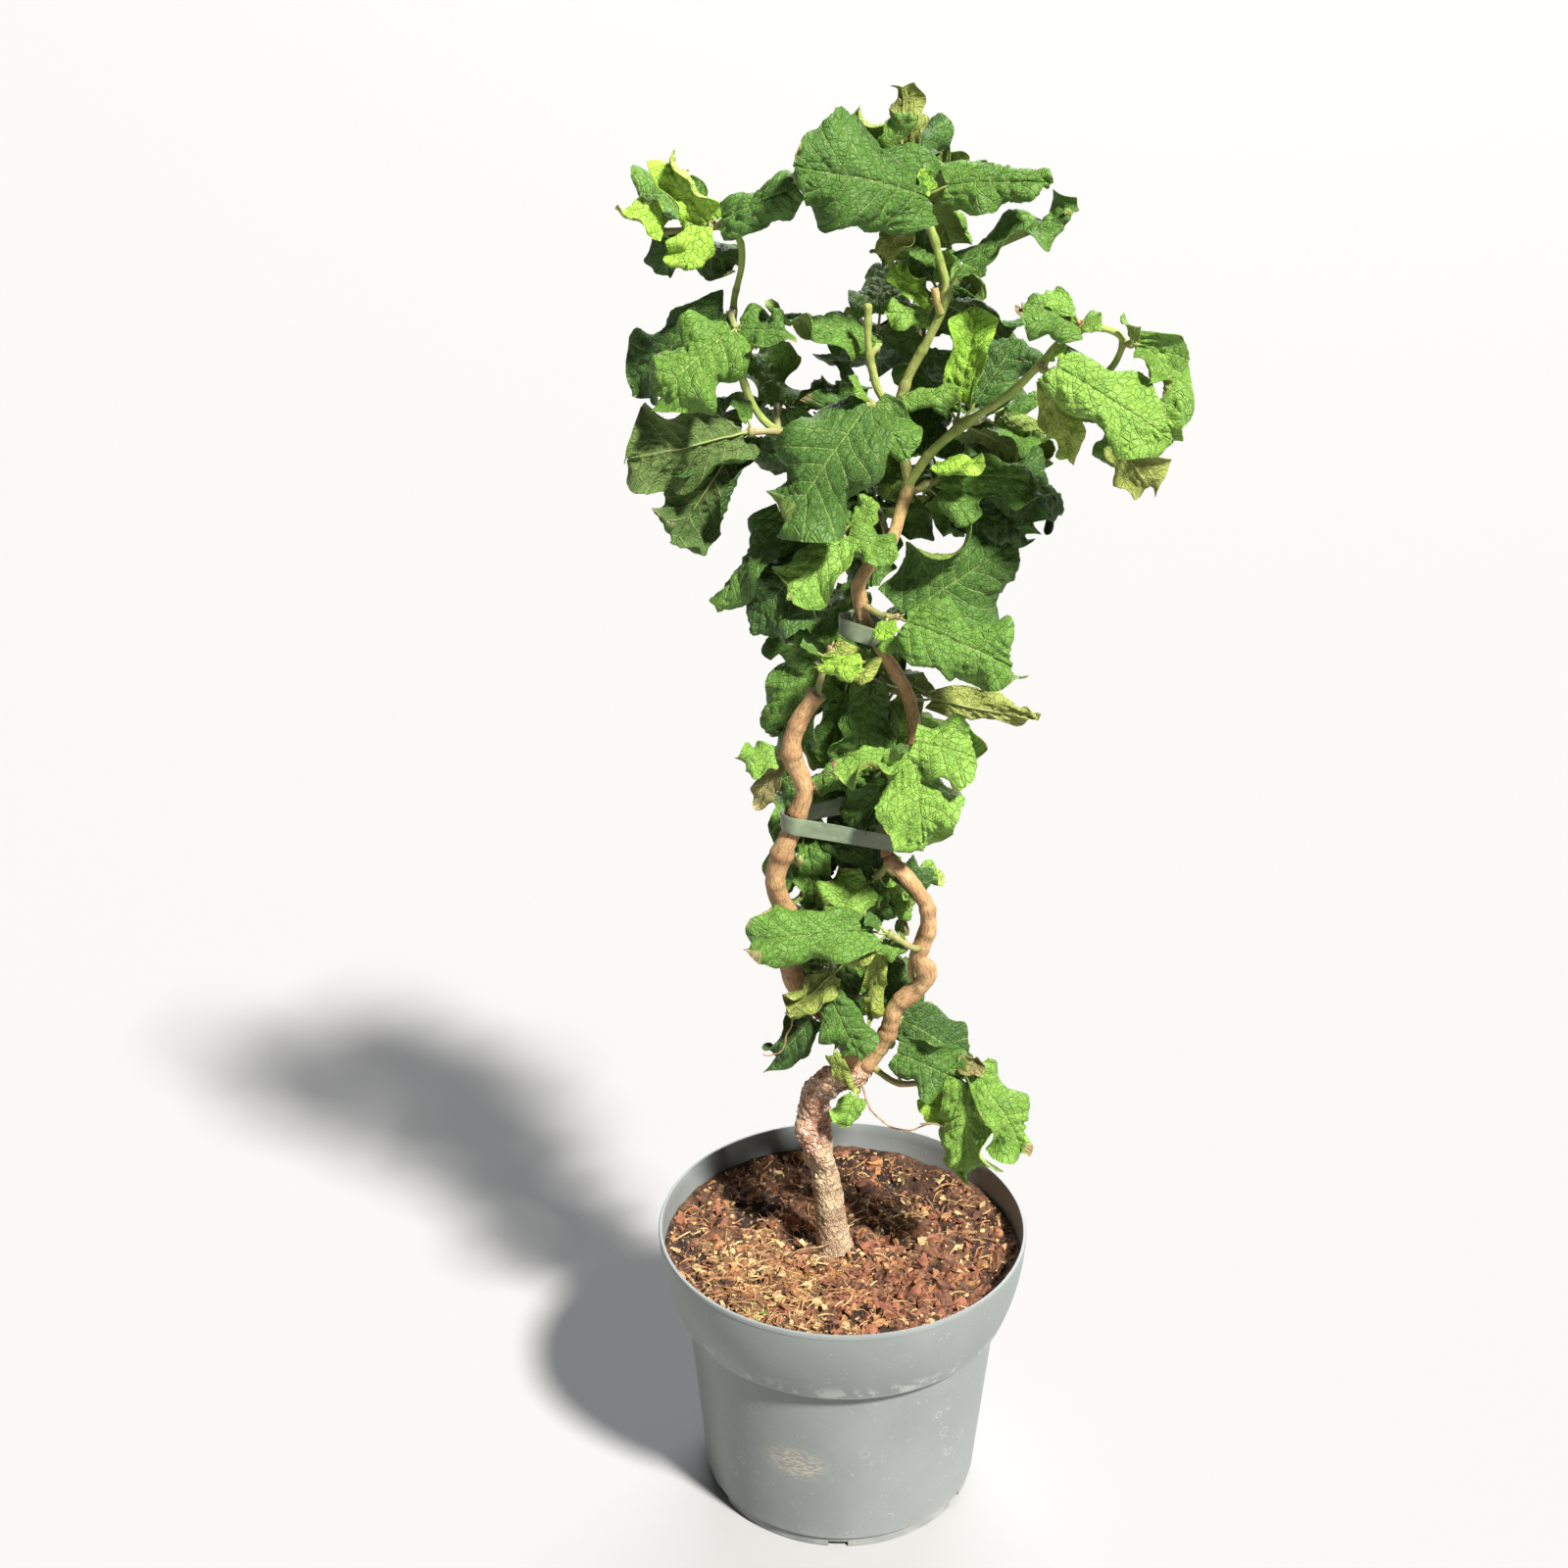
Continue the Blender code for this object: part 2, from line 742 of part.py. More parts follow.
    Spray("back_left", "arch_left", ((-46, 20, 775), (-47, 38, 782), (-45, 58, 786)), fill=4,
          outward=(-2, 8, 1), reach=62),
    Spray("back_right", "arch_right", ((67, -20, 790), (74, 0, 786), (80, 24, 782), (82, 46, 780)), fill=4,
          outward=(2, 8, 1), reach=60),
    Spray("back_mid", "leader", ((22, -9, 712), (20, 14, 718), (14, 38, 724), (8, 60, 730)), fill=5,
          outward=(0, 8, 1), reach=66),
    Spray("back_waist", "stem_mid", ((40, 2, 598), (30, 22, 606), (16, 42, 612), (6, 58, 618)), fill=4,
          outward=(-1, 8, 1), reach=58),
    Spray("back_low", "stem_mid", ((33, 0, 540), (20, 20, 546), (6, 36, 552)), fill=4,
          outward=(0, 8, 1), reach=56),
    Spray("back_lower", "stem_right", ((52, -20, 466), (40, 4, 470), (24, 28, 474), (12, 46, 480)), fill=4,
          outward=(-1, 8, 1), reach=54),
    Spray("back_foot", "stem_left", ((-18, -1, 384), (-12, 14, 390), (-4, 28, 394)), fill=3,
          outward=(-1, 8, 1), reach=50),
)


def clear_scene():
    """Removes the startup objects."""
    for thing in list(bpy.data.objects):
        bpy.data.objects.remove(thing, do_unlink=True)


def paint(name, colour, roughness):
    """A plain material."""
    material = bpy.data.materials.new(name)
    material.use_nodes = True
    shader = material.node_tree.nodes["Principled BSDF"]
    shader.inputs["Base Color"].default_value = (*colour, 1.0)
    shader.inputs["Roughness"].default_value = roughness
    shader.inputs["Metallic"].default_value = 0.0
    return material


def solid(name, points, faces, material=None):
    """A mesh object from points in metres and faces that point outwards."""
    mesh = bpy.data.meshes.new(name)
    mesh.from_pydata([tuple(p) for p in points], [], [tuple(f) for f in faces])
    mesh.update()
    thing = bpy.data.objects.new(name, mesh)
    bpy.context.scene.collection.objects.link(thing)
    if material:
        mesh.materials.append(material)
    return thing


def smooth(thing, angle):
    """Smooth shading, with edges sharper than the angle in degrees left crisp."""
    thing.data.shade_smooth()
    thing.data.set_sharp_from_angle(angle=math.radians(angle))


def unit(vector):
    vector = np.asarray(vector, float)
    return vector / max(np.linalg.norm(vector), 1e-9)


def curve_through(bends, parts):
    """Points in metres on a Catmull-Rom curve through the bends, with that many parts a span."""
    knots = np.array(bends, float) * MM
    ends = np.vstack([2 * knots[0] - knots[1], knots, 2 * knots[-1] - knots[-2]])
    points = []
    for a, b, c, d in zip(ends, ends[1:], ends[2:], ends[3:]):
        for step in range(parts):
            t = step / parts
            points.append(
                b
                + (c - a) * t / 2
                + (2 * a - 5 * b + 4 * c - d) * t**2 / 2
                + (3 * b - a - 3 * c + d) * t**3 / 2
            )
    points.append(knots[-1])
    return np.array(points)


def tube(path, radii, sides, level_foot=False):
    """Rings round a path, with flat caps, as points and faces."""
    tangents = np.gradient(path, axis=0)
    if level_foot:
        tangents[0] = (0, 0, 1)
    side = unit(np.cross(tangents[0], (0.31, 0.95, 0.1)))
    points = []
    for centre, tangent, radius in zip(path, tangents, radii):
        tangent = unit(tangent)
        side = unit(side - tangent * side.dot(tangent))
        other = np.cross(tangent, side)
        for k in range(sides):
            angle = 2 * math.pi * k / sides
            points.append(centre + radius * (math.cos(angle) * side + math.sin(angle) * other))
    faces = [tuple(range(sides))[::-1]]
    for ring in range(len(path) - 1):
        for k in range(sides):
            low, high = ring * sides, (ring + 1) * sides
            after = (k + 1) % sides
            faces.append((low + k, low + after, high + after, high + k))
    last = (len(path) - 1) * sides
    faces.append(tuple(range(last, last + sides)))
    return points, faces


def limb_radii(limb, path):
    """Radius at each point: an even taper, a flared foot and a swelling at each burl."""
    run = np.concatenate([[0], np.cumsum(np.linalg.norm(np.diff(path, axis=0), axis=1))])
    share = run / run[-1]
    radii = limb.foot + (limb.tip - limb.foot) * share
    radii = radii + limb.flare * np.exp(-run / (FLARE_REACH * MM))
    for place, swell, spread in limb.burls:
        radii = radii + swell * np.exp(-(((share - place) / spread) ** 2))
    return radii * MM


def limb_path(limb):
    """The limb's middle line and its radius along it."""
    path = curve_through(limb.bends, limb.parts)
    return path, limb_radii(limb, path)


def clear_of(name, path, radii, sides):
    """A hidden cutter: the limb, wider and longer by the gap."""
    first = path[0] - unit(path[1] - path[0]) * GAP * MM
    last = path[-1] + unit(path[-1] - path[-2]) * GAP * MM
    wide = radii + GAP * MM / math.cos(math.pi / sides)
    cutter = solid(name, *tube(np.vstack([first, path[1:-1], last]), wide, sides))
    cutter.hide_render = True
    cutter.display_type = "WIRE"
    return cutter


def apply_modifiers(thing):
    """Makes the modifiers part of the mesh."""
    bpy.ops.object.select_all(action="DESELECT")
    bpy.context.view_layer.objects.active = thing
    thing.select_set(True)
    for modifier in list(thing.modifiers):
        bpy.ops.object.modifier_apply(modifier=modifier.name)


def boolean(thing, name, operation, solver="EXACT"):
    """A Boolean modifier. Leaves take MANIFOLD: they cross at slight angles, which EXACT leaves open."""
    modifier = thing.modifiers.new(name, "BOOLEAN")
    modifier.operation = operation
    modifier.solver = solver
    return modifier


def keep_largest(thing):
    """Leaves the widest shell: a sealed hollow is filled and a loose scrap is dropped."""
    shape = bmesh.new()
    shape.from_mesh(thing.data)
    shape.verts.ensure_lookup_table()
    unseen = set(shape.verts)
    shells = []
    while unseen:
        edge_of_shell = [unseen.pop()]
        shell = set(edge_of_shell)
        while edge_of_shell:
            vertex = edge_of_shell.pop()
            for edge in vertex.link_edges:
                other = edge.other_vert(vertex)
                if other in unseen:
                    unseen.discard(other)
                    shell.add(other)
                    edge_of_shell.append(other)
        shells.append(shell)
    shells.sort(key=len)
    spare = [vertex for shell in shells[:-1] for vertex in shell]
    bmesh.ops.delete(shape, geom=spare, context="VERTS")
    bmesh.ops.dissolve_degenerate(shape, dist=CLOSEST * MM, edges=shape.edges)
    bmesh.ops.dissolve_limit(
        shape, angle_limit=math.radians(FLAT_ENOUGH), verts=shape.verts, edges=shape.edges
    )
    bmesh.ops.triangulate(shape, faces=shape.faces)
    shape.to_mesh(thing.data)
    shape.free()


def fuse(pieces):
    """One Boolean union of all the pieces, applied to the first of them."""
    group = bpy.data.collections.new("pieces")
    bpy.context.scene.collection.children.link(group)
    for piece in pieces[1:]:
        bpy.context.scene.collection.objects.unlink(piece)
        group.objects.link(piece)
    union = boolean(pieces[0], "Fuse", "UNION", "MANIFOLD")
    union.operand_type = "COLLECTION"
    union.collection = group
    apply_modifiers(pieces[0])
    for piece in pieces[1:]:
        bpy.data.objects.remove(piece, do_unlink=True)
    bpy.data.collections.remove(group)
    return pieces[0]


def seat(thing, cutters, solver):
    """Cuts the piece back from each limb that it meets, so that it stands clear of them."""
    for cutter in cutters:
        cut = boolean(thing, "Seat", "DIFFERENCE", solver)
        cut.object = cutter
    apply_modifiers(thing)
    keep_largest(thing)


def turned(name, profile, material):
    """A closed shape turned from (radius, height) points that run from axis to axis."""
    points = []
    rings = []
    for radius, height in profile:
        count = 1 if radius == 0 else POT_SEGMENTS
        rings.append(range(len(points), len(points) + count))
        for k in range(count):
            angle = 2 * math.pi * k / POT_SEGMENTS
            points.append((radius * math.cos(angle) * MM, radius * math.sin(angle) * MM, height * MM))
    faces = []
    for low, high in zip(rings, rings[1:]):
        for k in range(POT_SEGMENTS):
            a, b = low[k % len(low)], low[(k + 1) % len(low)]
            c, d = high[(k + 1) % len(high)], high[k % len(high)]
            faces.append(tuple(dict.fromkeys((a, b, c, d))))
    return solid(name, points, faces, material)


def band_radius(depth):
    """Outer radius of the pot's band at a depth under the rim: upright at first, then drawn in."""
    drawn_in = POT_RIM_RADIUS - POT_BAND_FOOT_RADIUS
    return POT_RIM_RADIUS - drawn_in * (depth / POT_BAND_HEIGHT) ** 2


def body_radius(height):
    """Outer radius of the pot's body, under the band."""
    neck = POT_HEIGHT - POT_BAND_HEIGHT
    return POT_BASE_RADIUS + (POT_NECK_RADIUS - POT_BASE_RADIUS) * height / neck


def inner_radius(height):
    """Radius of the pot's inside, which follows its outside at the wall's thickness."""
    neck = POT_HEIGHT - POT_BAND_HEIGHT
    if height <= neck:
        return body_radius(height) - POT_WALL
    blend = min(1.0, (height - neck) / SHOULDER_RISE)
    return band_radius(POT_HEIGHT - height) * blend + body_radius(neck) * (1 - blend) - POT_WALL


def notch_cutter():
    """Boxes round the pot's lower edge, which leave its drainage notches."""
    long, deep, tall = (size * MM for size in NOTCH_SIZE)
    points, faces = [], []
    for k in range(NOTCHES):
        angle = 2 * math.pi * (k + 0.5) / NOTCHES
        outward = Vector((math.cos(angle), math.sin(angle), 0))
        along = Vector((-outward.y, outward.x, 0))
        middle = outward * (POT_BASE_RADIUS * MM)
        start = len(points)
        for height in (-tall, tall):
            for side, reach in ((-1, -1), (1, -1), (1, 1), (-1, 1)):
                corner = middle + along * side * long / 2 + outward * reach * deep
                points.append(corner + Vector((0, 0, height)))
        for corners in BOX_FACES:
            faces.append(tuple(start + corner for corner in corners))
    cutter = solid("notch_cutter", points, faces)
    cutter.hide_render = True
    cutter.display_type = "WIRE"
    return cutter


def build_pot():
    """The pot: a foot, a body that widens, a band drawn in at its lower edge, and its inside."""
    neck = POT_HEIGHT - POT_BAND_HEIGHT
    foot = POT_BASE_RADIUS - POT_FOOT_INSET
    outside = [(0, 0), (foot, 0), (foot, POT_FOOT_HEIGHT - POT_STEP)]
    outside += [(body_radius(POT_FOOT_HEIGHT), POT_FOOT_HEIGHT), (body_radius(neck), neck + POT_STEP)]
    for share in BAND_STATIONS:
        depth = POT_BAND_HEIGHT * share
        outside.append((band_radius(depth), POT_HEIGHT - depth))
    outside += [(POT_RIM_RADIUS, POT_HEIGHT - RIM_ROUND), (POT_RIM_RADIUS - RIM_ROUND, POT_HEIGHT)]
    inside = [(POT_RIM_RADIUS - POT_WALL, POT_HEIGHT)]
    for height in INSIDE_HEIGHTS:
        inside.append((inner_radius(height), height))
    material = paint("pot_plastic", POT_GREY, 0.42)
    pot = turned("pot", outside + inside + [(0, POT_FLOOR)], material)
    cut = boolean(pot, "Notches", "DIFFERENCE")
    cut.object = notch_cutter()
    smooth(pot, POT_SMOOTH)
    return pot


def soil_height(x, y):
    """Height of the compost, level under the trunk and mounded past it."""
    rise = 0.0
    for middle_x, middle_y, high, wide in SOIL_MOUNDS:
        rise += high * math.exp(-((x - middle_x) ** 2 + (y - middle_y) ** 2) / wide**2)
    trunk_x, trunk_y = LIMBS[0].bends[0][:2]
    past = math.hypot(x - trunk_x, y - trunk_y) - TRUNK_SEAT_RADIUS
    return SOIL_LEVEL + rise * min(1.0, max(0.0, past / MOUND_START))


def build_soil():
    """The compost: a mounded top, and sides that follow the pot's inside at the gap."""
    trunk_x, trunk_y = LIMBS[0].bends[0][:2]
    points = [(trunk_x, trunk_y, SOIL_LEVEL)]
    edge_top = inner_radius(INSIDE_HEIGHTS[0]) - GAP - SOIL_ROUNDING
    for ring in range(SOIL_RINGS):
        share = ring / (SOIL_RINGS - 1)
        for k in range(SOIL_SEGMENTS):
            angle = 2 * math.pi * k / SOIL_SEGMENTS
            reach = TRUNK_SEAT_RADIUS + (edge_top - TRUNK_SEAT_RADIUS) * share
            x = trunk_x * (1 - share) + reach * math.cos(angle)
            y = trunk_y * (1 - share) + reach * math.sin(angle)
            points.append((x, y, soil_height(x, y)))
    for height in (*INSIDE_HEIGHTS[1:-1], POT_FLOOR + GAP):
        radius = inner_radius(height) - GAP - SOIL_ROUNDING
        for k in range(SOIL_SEGMENTS):
            angle = 2 * math.pi * k / SOIL_SEGMENTS
            points.append((radius * math.cos(angle), radius * math.sin(angle), height))
    points.append((0, 0, POT_FLOOR + GAP))
    faces = []
    rings = SOIL_RINGS + len(INSIDE_HEIGHTS) - 1
    for k in range(SOIL_SEGMENTS):
        after = (k + 1) % SOIL_SEGMENTS
        faces.append((0, 1 + k, 1 + after))
        for ring in range(rings - 1):
            low, high = 1 + ring * SOIL_SEGMENTS, 1 + (ring + 1) * SOIL_SEGMENTS
            faces.append((low + k, high + k, high + after, low + after))
        last = 1 + (rings - 1) * SOIL_SEGMENTS
        faces.append((last + k, len(points) - 1, last + after))
    return solid("soil", np.array(points) * MM, faces, paint("compost", SOIL_BROWN, 0.95))


@dataclass(frozen=True)
class Tie:
    """A flat strap drawn round three posts, each its middle x, y, z and its radius."""

    name: str
    posts: tuple
    wide: float
    thick: float


TIES = (
    Tie("tie_lower", ((-34, -20, 528.5, 8.6), (27, -8.5, 514, 9.0), (2, 17, 520, 7.0)), 12.0, 1.0),
    Tie("tie_upper", ((4, -3, 655, 10.5), (12.5, -3, 653, 11.0), (8, 7, 654, 8.0)), 12.0, 1.0),
)
TIE_ARC_STEPS = 12


def half_hull(points):
    """One side of the convex hull of sorted flat points."""
    chain = []
    for x, y in points:
        while len(chain) > 1:
            (first_x, first_y), (last_x, last_y) = chain[-2:]
            if (last_x - first_x) * (y - last_y) - (last_y - first_y) * (x - last_x) > 0:
                break
            chain.pop()
        chain.append((x, y))
    return chain[:-1]


def strap_path(tie):
    """The strap's middle line: the hull of circles round its posts, at the height of their plane."""
    posts = np.array(tie.posts)
    flat = []
    for x, y, _, radius in posts:
        for k in range(TIE_ARC_STEPS):
            angle = 2 * math.pi * k / TIE_ARC_STEPS
            flat.append((x + radius * math.cos(angle), y + radius * math.sin(angle)))
    flat.sort()
    hull = np.array(half_hull(flat) + half_hull(flat[::-1]))
    plane = np.linalg.solve(np.column_stack([posts[:, :2], np.ones(3)]), posts[:, 2])
    return np.column_stack([hull, hull @ plane[:2] + plane[2]])


def build_tie(tie):
    """A closed strap of one thickness along its middle line."""
    middle = strap_path(tie)
    ahead = np.roll(middle, -1, axis=0) - np.roll(middle, 1, axis=0)
    outward = np.array([unit((y, -x, 0)) for x, y, _ in ahead])
    points = []
    for centre, out in zip(middle, outward):
        for push, lift in ((-1, -1), (1, -1), (1, 1), (-1, 1)):
            shift = out * push * tie.thick / 2 + np.array((0, 0, lift * tie.wide / 2))
            points.append((centre + shift) * MM)
    faces = []
    count = len(middle)
    for k in range(count):
        here, there = 4 * k, 4 * ((k + 1) % count)
        for side in range(4):
            after = (side + 1) % 4
            faces.append((here + side, here + after, there + after, there + side))
    strap = solid(tie.name, points, faces, paint(tie.name + "_strap", TIE_GREEN, 0.5))
    face_outwards(strap)
    return strap


def face_outwards(thing):
    """Turns every face of a closed mesh outwards."""
    shape = bmesh.new()
    shape.from_mesh(thing.data)
    bmesh.ops.recalc_face_normals(shape, faces=shape.faces)
    shape.to_mesh(thing.data)
    shape.free()


def leaf_outline(s):
    """Half width of a hazel leaf as a share of its widest, from its base to its tip."""
    toward_base = np.clip((WIDEST - s) / WIDEST, 0, 1)
    toward_tip = np.clip((s - WIDEST) / (1 - WIDEST), 0, 1)
    share = 1 - (1 - BASE_SHARE) * toward_base**BASE_ROUND
    return share * (1 - TIP_NARROWS * toward_tip**TIP_ROUND) ** TIP_POINT


def curled(across, half, turn):
    """Across and up from the midrib when the edge is turned by that much, in radians."""
    steps = (np.arange(CURL_STEPS) + 0.5) / CURL_STEPS
    turned_by = turn[..., None] * (np.abs(across)[..., None] / half * steps) ** CURL_GRIP
    return across * np.cos(turned_by).mean(-1), np.abs(across) * np.sin(turned_by).mean(-1)


def bent(along, other, turn, length):
    """Bends a length into an arc that rises to the other side by the given whole turn."""
    if abs(turn) < 1e-4:
        return along, other
    radius = length / turn
    angle = along / radius - turn / 2
    return (radius + other) * np.sin(angle), (radius + other) * np.cos(angle) - radius * math.cos(turn / 2)


def blade(leaf, base, s, t, key):
    """Points in metres on the blade's middle sheet, at stations s from its base and t across it."""
    noise = random.Random(key)
    phases = [noise.uniform(0, 2 * math.pi) for _ in range(6)]
    arch, sway = math.radians(leaf.arch), math.radians(leaf.sway)
    chord = np.linalg.norm(leaf.reach) * MM
    bow = [math.sin(turn / 2) / (turn / 2) if abs(turn) > 1e-4 else 1.0 for turn in (arch, sway)]
    length = chord / (bow[0] * bow[1])
    half = leaf.width * MM / 2

    def shaped(s, t):
        slant = -HEART_NOTCH * (1 - s) ** 3 + VEIN_SLANT * s * (1 - s)
        along = length * (s + slant * np.abs(t))
        lobes = np.where(t < 0, phases[1], phases[0])
        across = half * leaf_outline(s) * t * (1 + LOBE * np.sin(2 * math.pi * LOBE_WAVES * s + lobes))
        turn = np.where(t < 0, math.radians(leaf.right), math.radians(leaf.left))
        y, z = curled(across, half, turn)
        ruffle = np.where(t < 0, phases[0], phases[1])
        z = z + RUFFLE * length * t**2 * np.sin(2 * math.pi * RUFFLE_WAVES * s + ruffle)
        folds = np.sin(2 * math.pi * FOLD_WAVES * s + phases[2]) * np.sin(2.4 * t + phases[3])
        folds = folds + np.sin(math.pi * FOLD_WAVES * s + 2 * t + phases[4])
        z = z + CRUMPLE * length * folds * np.sin(math.pi * np.clip(s, 0, 1)) * np.abs(t)
        spin = math.radians(leaf.twist) * s
        y, z = y * np.cos(spin) - z * np.sin(spin), y * np.sin(spin) + z * np.cos(spin)
        x, z = bent(along, z, arch, length)
        x, y = bent(x + length * bow[0] / 2, y, sway, length * bow[0])
        return np.stack([x, y, z], axis=-1)

    ends = shaped(np.array([0.0, 1.0]), np.array([0.0, 0.0]))
    run = unit(ends[1] - ends[0])
    up = unit(np.array((0, 0, 1.0)) - run * run[2])
    local = np.stack([run, np.cross(up, run), up])
    ahead = unit(leaf.reach)
    face = np.asarray(leaf.face, float)
    face = unit(face - ahead * ahead.dot(face))
    world = np.stack([ahead, np.cross(face, ahead), face])
    stretch = np.array([chord / np.linalg.norm(ends[1] - ends[0]), 1.0, 1.0])
    return base + ((shaped(s, t) - ends[0]) @ local.T * stretch) @ world


def sheet_normals(points):
    """Unit normals of a sheet of points, at each of them."""
    along = np.gradient(points, axis=0)
    across = np.gradient(points, axis=1)
    normals = np.cross(along, across)
    return normals / np.maximum(np.linalg.norm(normals, axis=-1, keepdims=True), 1e-12)


def blade_corners(leaf, base, key):
    """The faceted blade's corners: more of them for a leaf that is large or tightly curled."""
    rib = STALK_WIDTH / (BASE_SHARE * leaf.width)
    rows = 2 if leaf.width < SMALL_LEAF else 3
    across = (-1.0, -rib, rib, 1.0)
    if leaf.width >= LARGE_LEAF:
        across = (-1.0, -0.55, -rib, rib, 0.55, 1.0)
    s, t = np.meshgrid(np.linspace(0, 1, rows + 1), across, indexing="ij")
    return blade(leaf, base, s, t, key), rows, across


def faceted_samples(leaf, base, key):
    """Points spread evenly over the faces that the leaf is built from."""
    corners, rows, across = blade_corners(leaf, base, key)
    down = np.linspace(0, rows, SAMPLES)
    over = np.interp(np.linspace(-1, 1, SAMPLES), across, np.arange(len(across)))
    i = np.minimum(down.astype(int), rows - 1)
    j = np.minimum(over.astype(int), len(across) - 2)
    u, v = (down - i)[:, None, None], (over - j)[None, :, None]
    near_edge = corners[i][:, j] * (1 - v) + corners[i][:, j + 1] * v
    far_edge = corners[i + 1][:, j] * (1 - v) + corners[i + 1][:, j + 1] * v
    return near_edge * (1 - u) + far_edge * u


def leaf_solid(leaf, base, stem_point, key):
    """A closed thin leaf of a few faces with its stalk, as points and faces."""
    points, rows, across = blade_corners(leaf, base, key)
    columns = len(across) - 1
    normals = sheet_normals(points)
    push = normals * LEAF_THICKNESS * MM / 2
    count = (rows + 1) * (columns + 1)
    shell = [*(points + push).reshape(-1, 3), *(points - push).reshape(-1, 3)]
    index = np.arange(count).reshape(rows + 1, columns + 1)
    faces = []
    for i in range(rows):
        for j in range(columns):
            a, b, c, d = index[i, j], index[i + 1, j], index[i + 1, j + 1], index[i, j + 1]
            faces += [(a, b, c), (a, c, d)]
            faces += [(count + a, count + c, count + b), (count + a, count + d, count + c)]
    rim = [*index[:, 0], *index[-1, 1:], *index[-2::-1, -1], *index[0, -2:0:-1]]
    rib = columns // 2
    for a, b in zip(rim, rim[1:] + rim[:1]):
        if (a, b) != (index[0, rib + 1], index[0, rib]):
            faces += [(a, count + a, count + b), (a, count + b, b)]
    ahead = unit(stem_point - base)
    side = unit(points[0, rib + 1] - points[0, rib])
    side = unit(side - ahead * ahead.dot(side))
    up = unit(normals[0, rib] - ahead * ahead.dot(normals[0, rib]) - side * side.dot(normals[0, rib]))
    ring = [index[0, rib], index[0, rib + 1], count + index[0, rib + 1], count + index[0, rib]]
    foot = range(len(shell), len(shell) + 4)
    for u, v in ((-1, 1), (1, 1), (1, -1), (-1, -1)):
        shell.append(stem_point + (side * u + up * v * 0.75) * STALK_WIDTH * STALK_TAPER * MM / 2)
    for k in range(4):
        after = (k + 1) % 4
        faces += [(ring[k], ring[after], foot[after]), (ring[k], foot[after], foot[k])]
    faces += [(foot[0], foot[1], foot[2]), (foot[0], foot[2], foot[3])]
    return shell, [tuple(int(v) for v in face) for face in faces]


@dataclass
class Obstacle:
    """Points that a leaf keeps clear of, each with its radius, and whose they are."""

    owner: str
    kind: str
    points: np.ndarray
    radii: np.ndarray

    def __post_init__(self):
        self.middle = self.points.mean(axis=0)
        self.size = np.linalg.norm(self.points - self.middle, axis=1).max() + self.radii.max()


def dense(path, radii, step=2.0 * MM):
    """Points at even steps along a path, with their radii."""
    run = np.concatenate([[0], np.cumsum(np.linalg.norm(np.diff(path, axis=0), axis=1))])
    stations = np.arange(0, run[-1] + step, step)
    points = np.stack([np.interp(stations, run, path[:, axis]) for axis in range(3)], axis=-1)
    return points, np.interp(stations, run, radii)


def over_pot(x, y, z):
    """Whether a point is down in the pot, at its rim or near the compost."""
    out = math.hypot(x, y)
    if out > POT_RIM_RADIUS + SPRAY_ROOM or z > POT_HEIGHT + SPRAY_ROOM:
        return False
    return out > inner_radius(SOIL_LEVEL) - SPRAY_ROOM or z < soil_height(x, y) + SPRAY_ROOM


def crowded(spray, samples, stalk, obstacles):
    """Whether a leaf comes too near a limb or another leaf, or dips to the compost."""
    middle = samples.reshape(-1, 3).mean(axis=0)
    size = np.linalg.norm(samples.reshape(-1, 3) - middle, axis=1).max()
    outer = samples[int(SAMPLES * OWN_ROOT) :].reshape(-1, 3)
    every = np.concatenate([samples.reshape(-1, 3), stalk[1:2]])
    for other in obstacles:
        if np.linalg.norm(other.middle - middle) > size + other.size + 2 * SPRAY_ROOM * MM:
            continue
        mine, room = every, SPRAY_ROOM
        if other.kind == "limb":
            room = LIMB_ROOM
        elif other.owner == spray.name:
            mine, room = outer, LEAF_ROOM
        apart = np.linalg.norm(mine[:, None] - other.points[None], axis=-1) - other.radii[None]
        if apart.min() < room * MM:
            return True
    return any(over_pot(*point) for point in every / MM)


def filling_leaf(spray, index, dice):
    """A leaf that the rule adds: out from the stem, turned by the golden angle, and drooping."""
    turn = 2.4 * index + dice.uniform(-0.4, 0.4)
    outward = Vector(spray.outward).normalized()
    sideways = outward.cross(Vector((0, 0, 1))).normalized()
    spread = 0.95 * math.sin(turn)
    lift = 0.55 * math.cos(turn) - 0.15
    heading = (outward * 0.75 + sideways * spread + Vector((0, 0, lift))).normalized()
    length = spray.reach * dice.uniform(0.8, 1.15)
    face = (outward * 0.5 + Vector((0, 0, 0.8))).normalized()
    if dice.random() < 0.2:
        face = -face
    return Leaf(
        at=min(1.0, 0.35 + 0.65 * (index + 1) / max(spray.fill, 1)),
        stalk=tuple(heading * dice.uniform(9, 15)),
        reach=tuple(heading * length + Vector((0, 0, -0.12 * length))),
        face=tuple(face),
        width=length * dice.uniform(0.72, 0.9),
        tint=dice.choice(("deep", "deep", "mid", "mid", "light")),
        arch=dice.uniform(20, 60),
        right=dice.uniform(-60, 15),
        left=dice.uniform(-60, 15),
        twist=dice.uniform(-40, 40),
        sway=dice.uniform(-40, 40),
    )


def bough_of(spray):
    """Points along the bough that a spray grows from, with the bough's radius at each."""
    return dense(*limb_path(next(limb for limb in LIMBS if limb.name == spray.bough)), 0.5 * MM)


def stem_of(spray):
    """The spray's own stem, which starts on its bough's axis."""
    path = curve_through(spray.bends, 1)
    bough, _ = bough_of(spray)
    nearest = bough[np.linalg.norm(bough - path[0], axis=1).argmin()]
    path = np.vstack([nearest, path[1:]])
    return path, np.linspace(spray.twig, spray.twig * TWIG_TAPER, len(path)) * MM


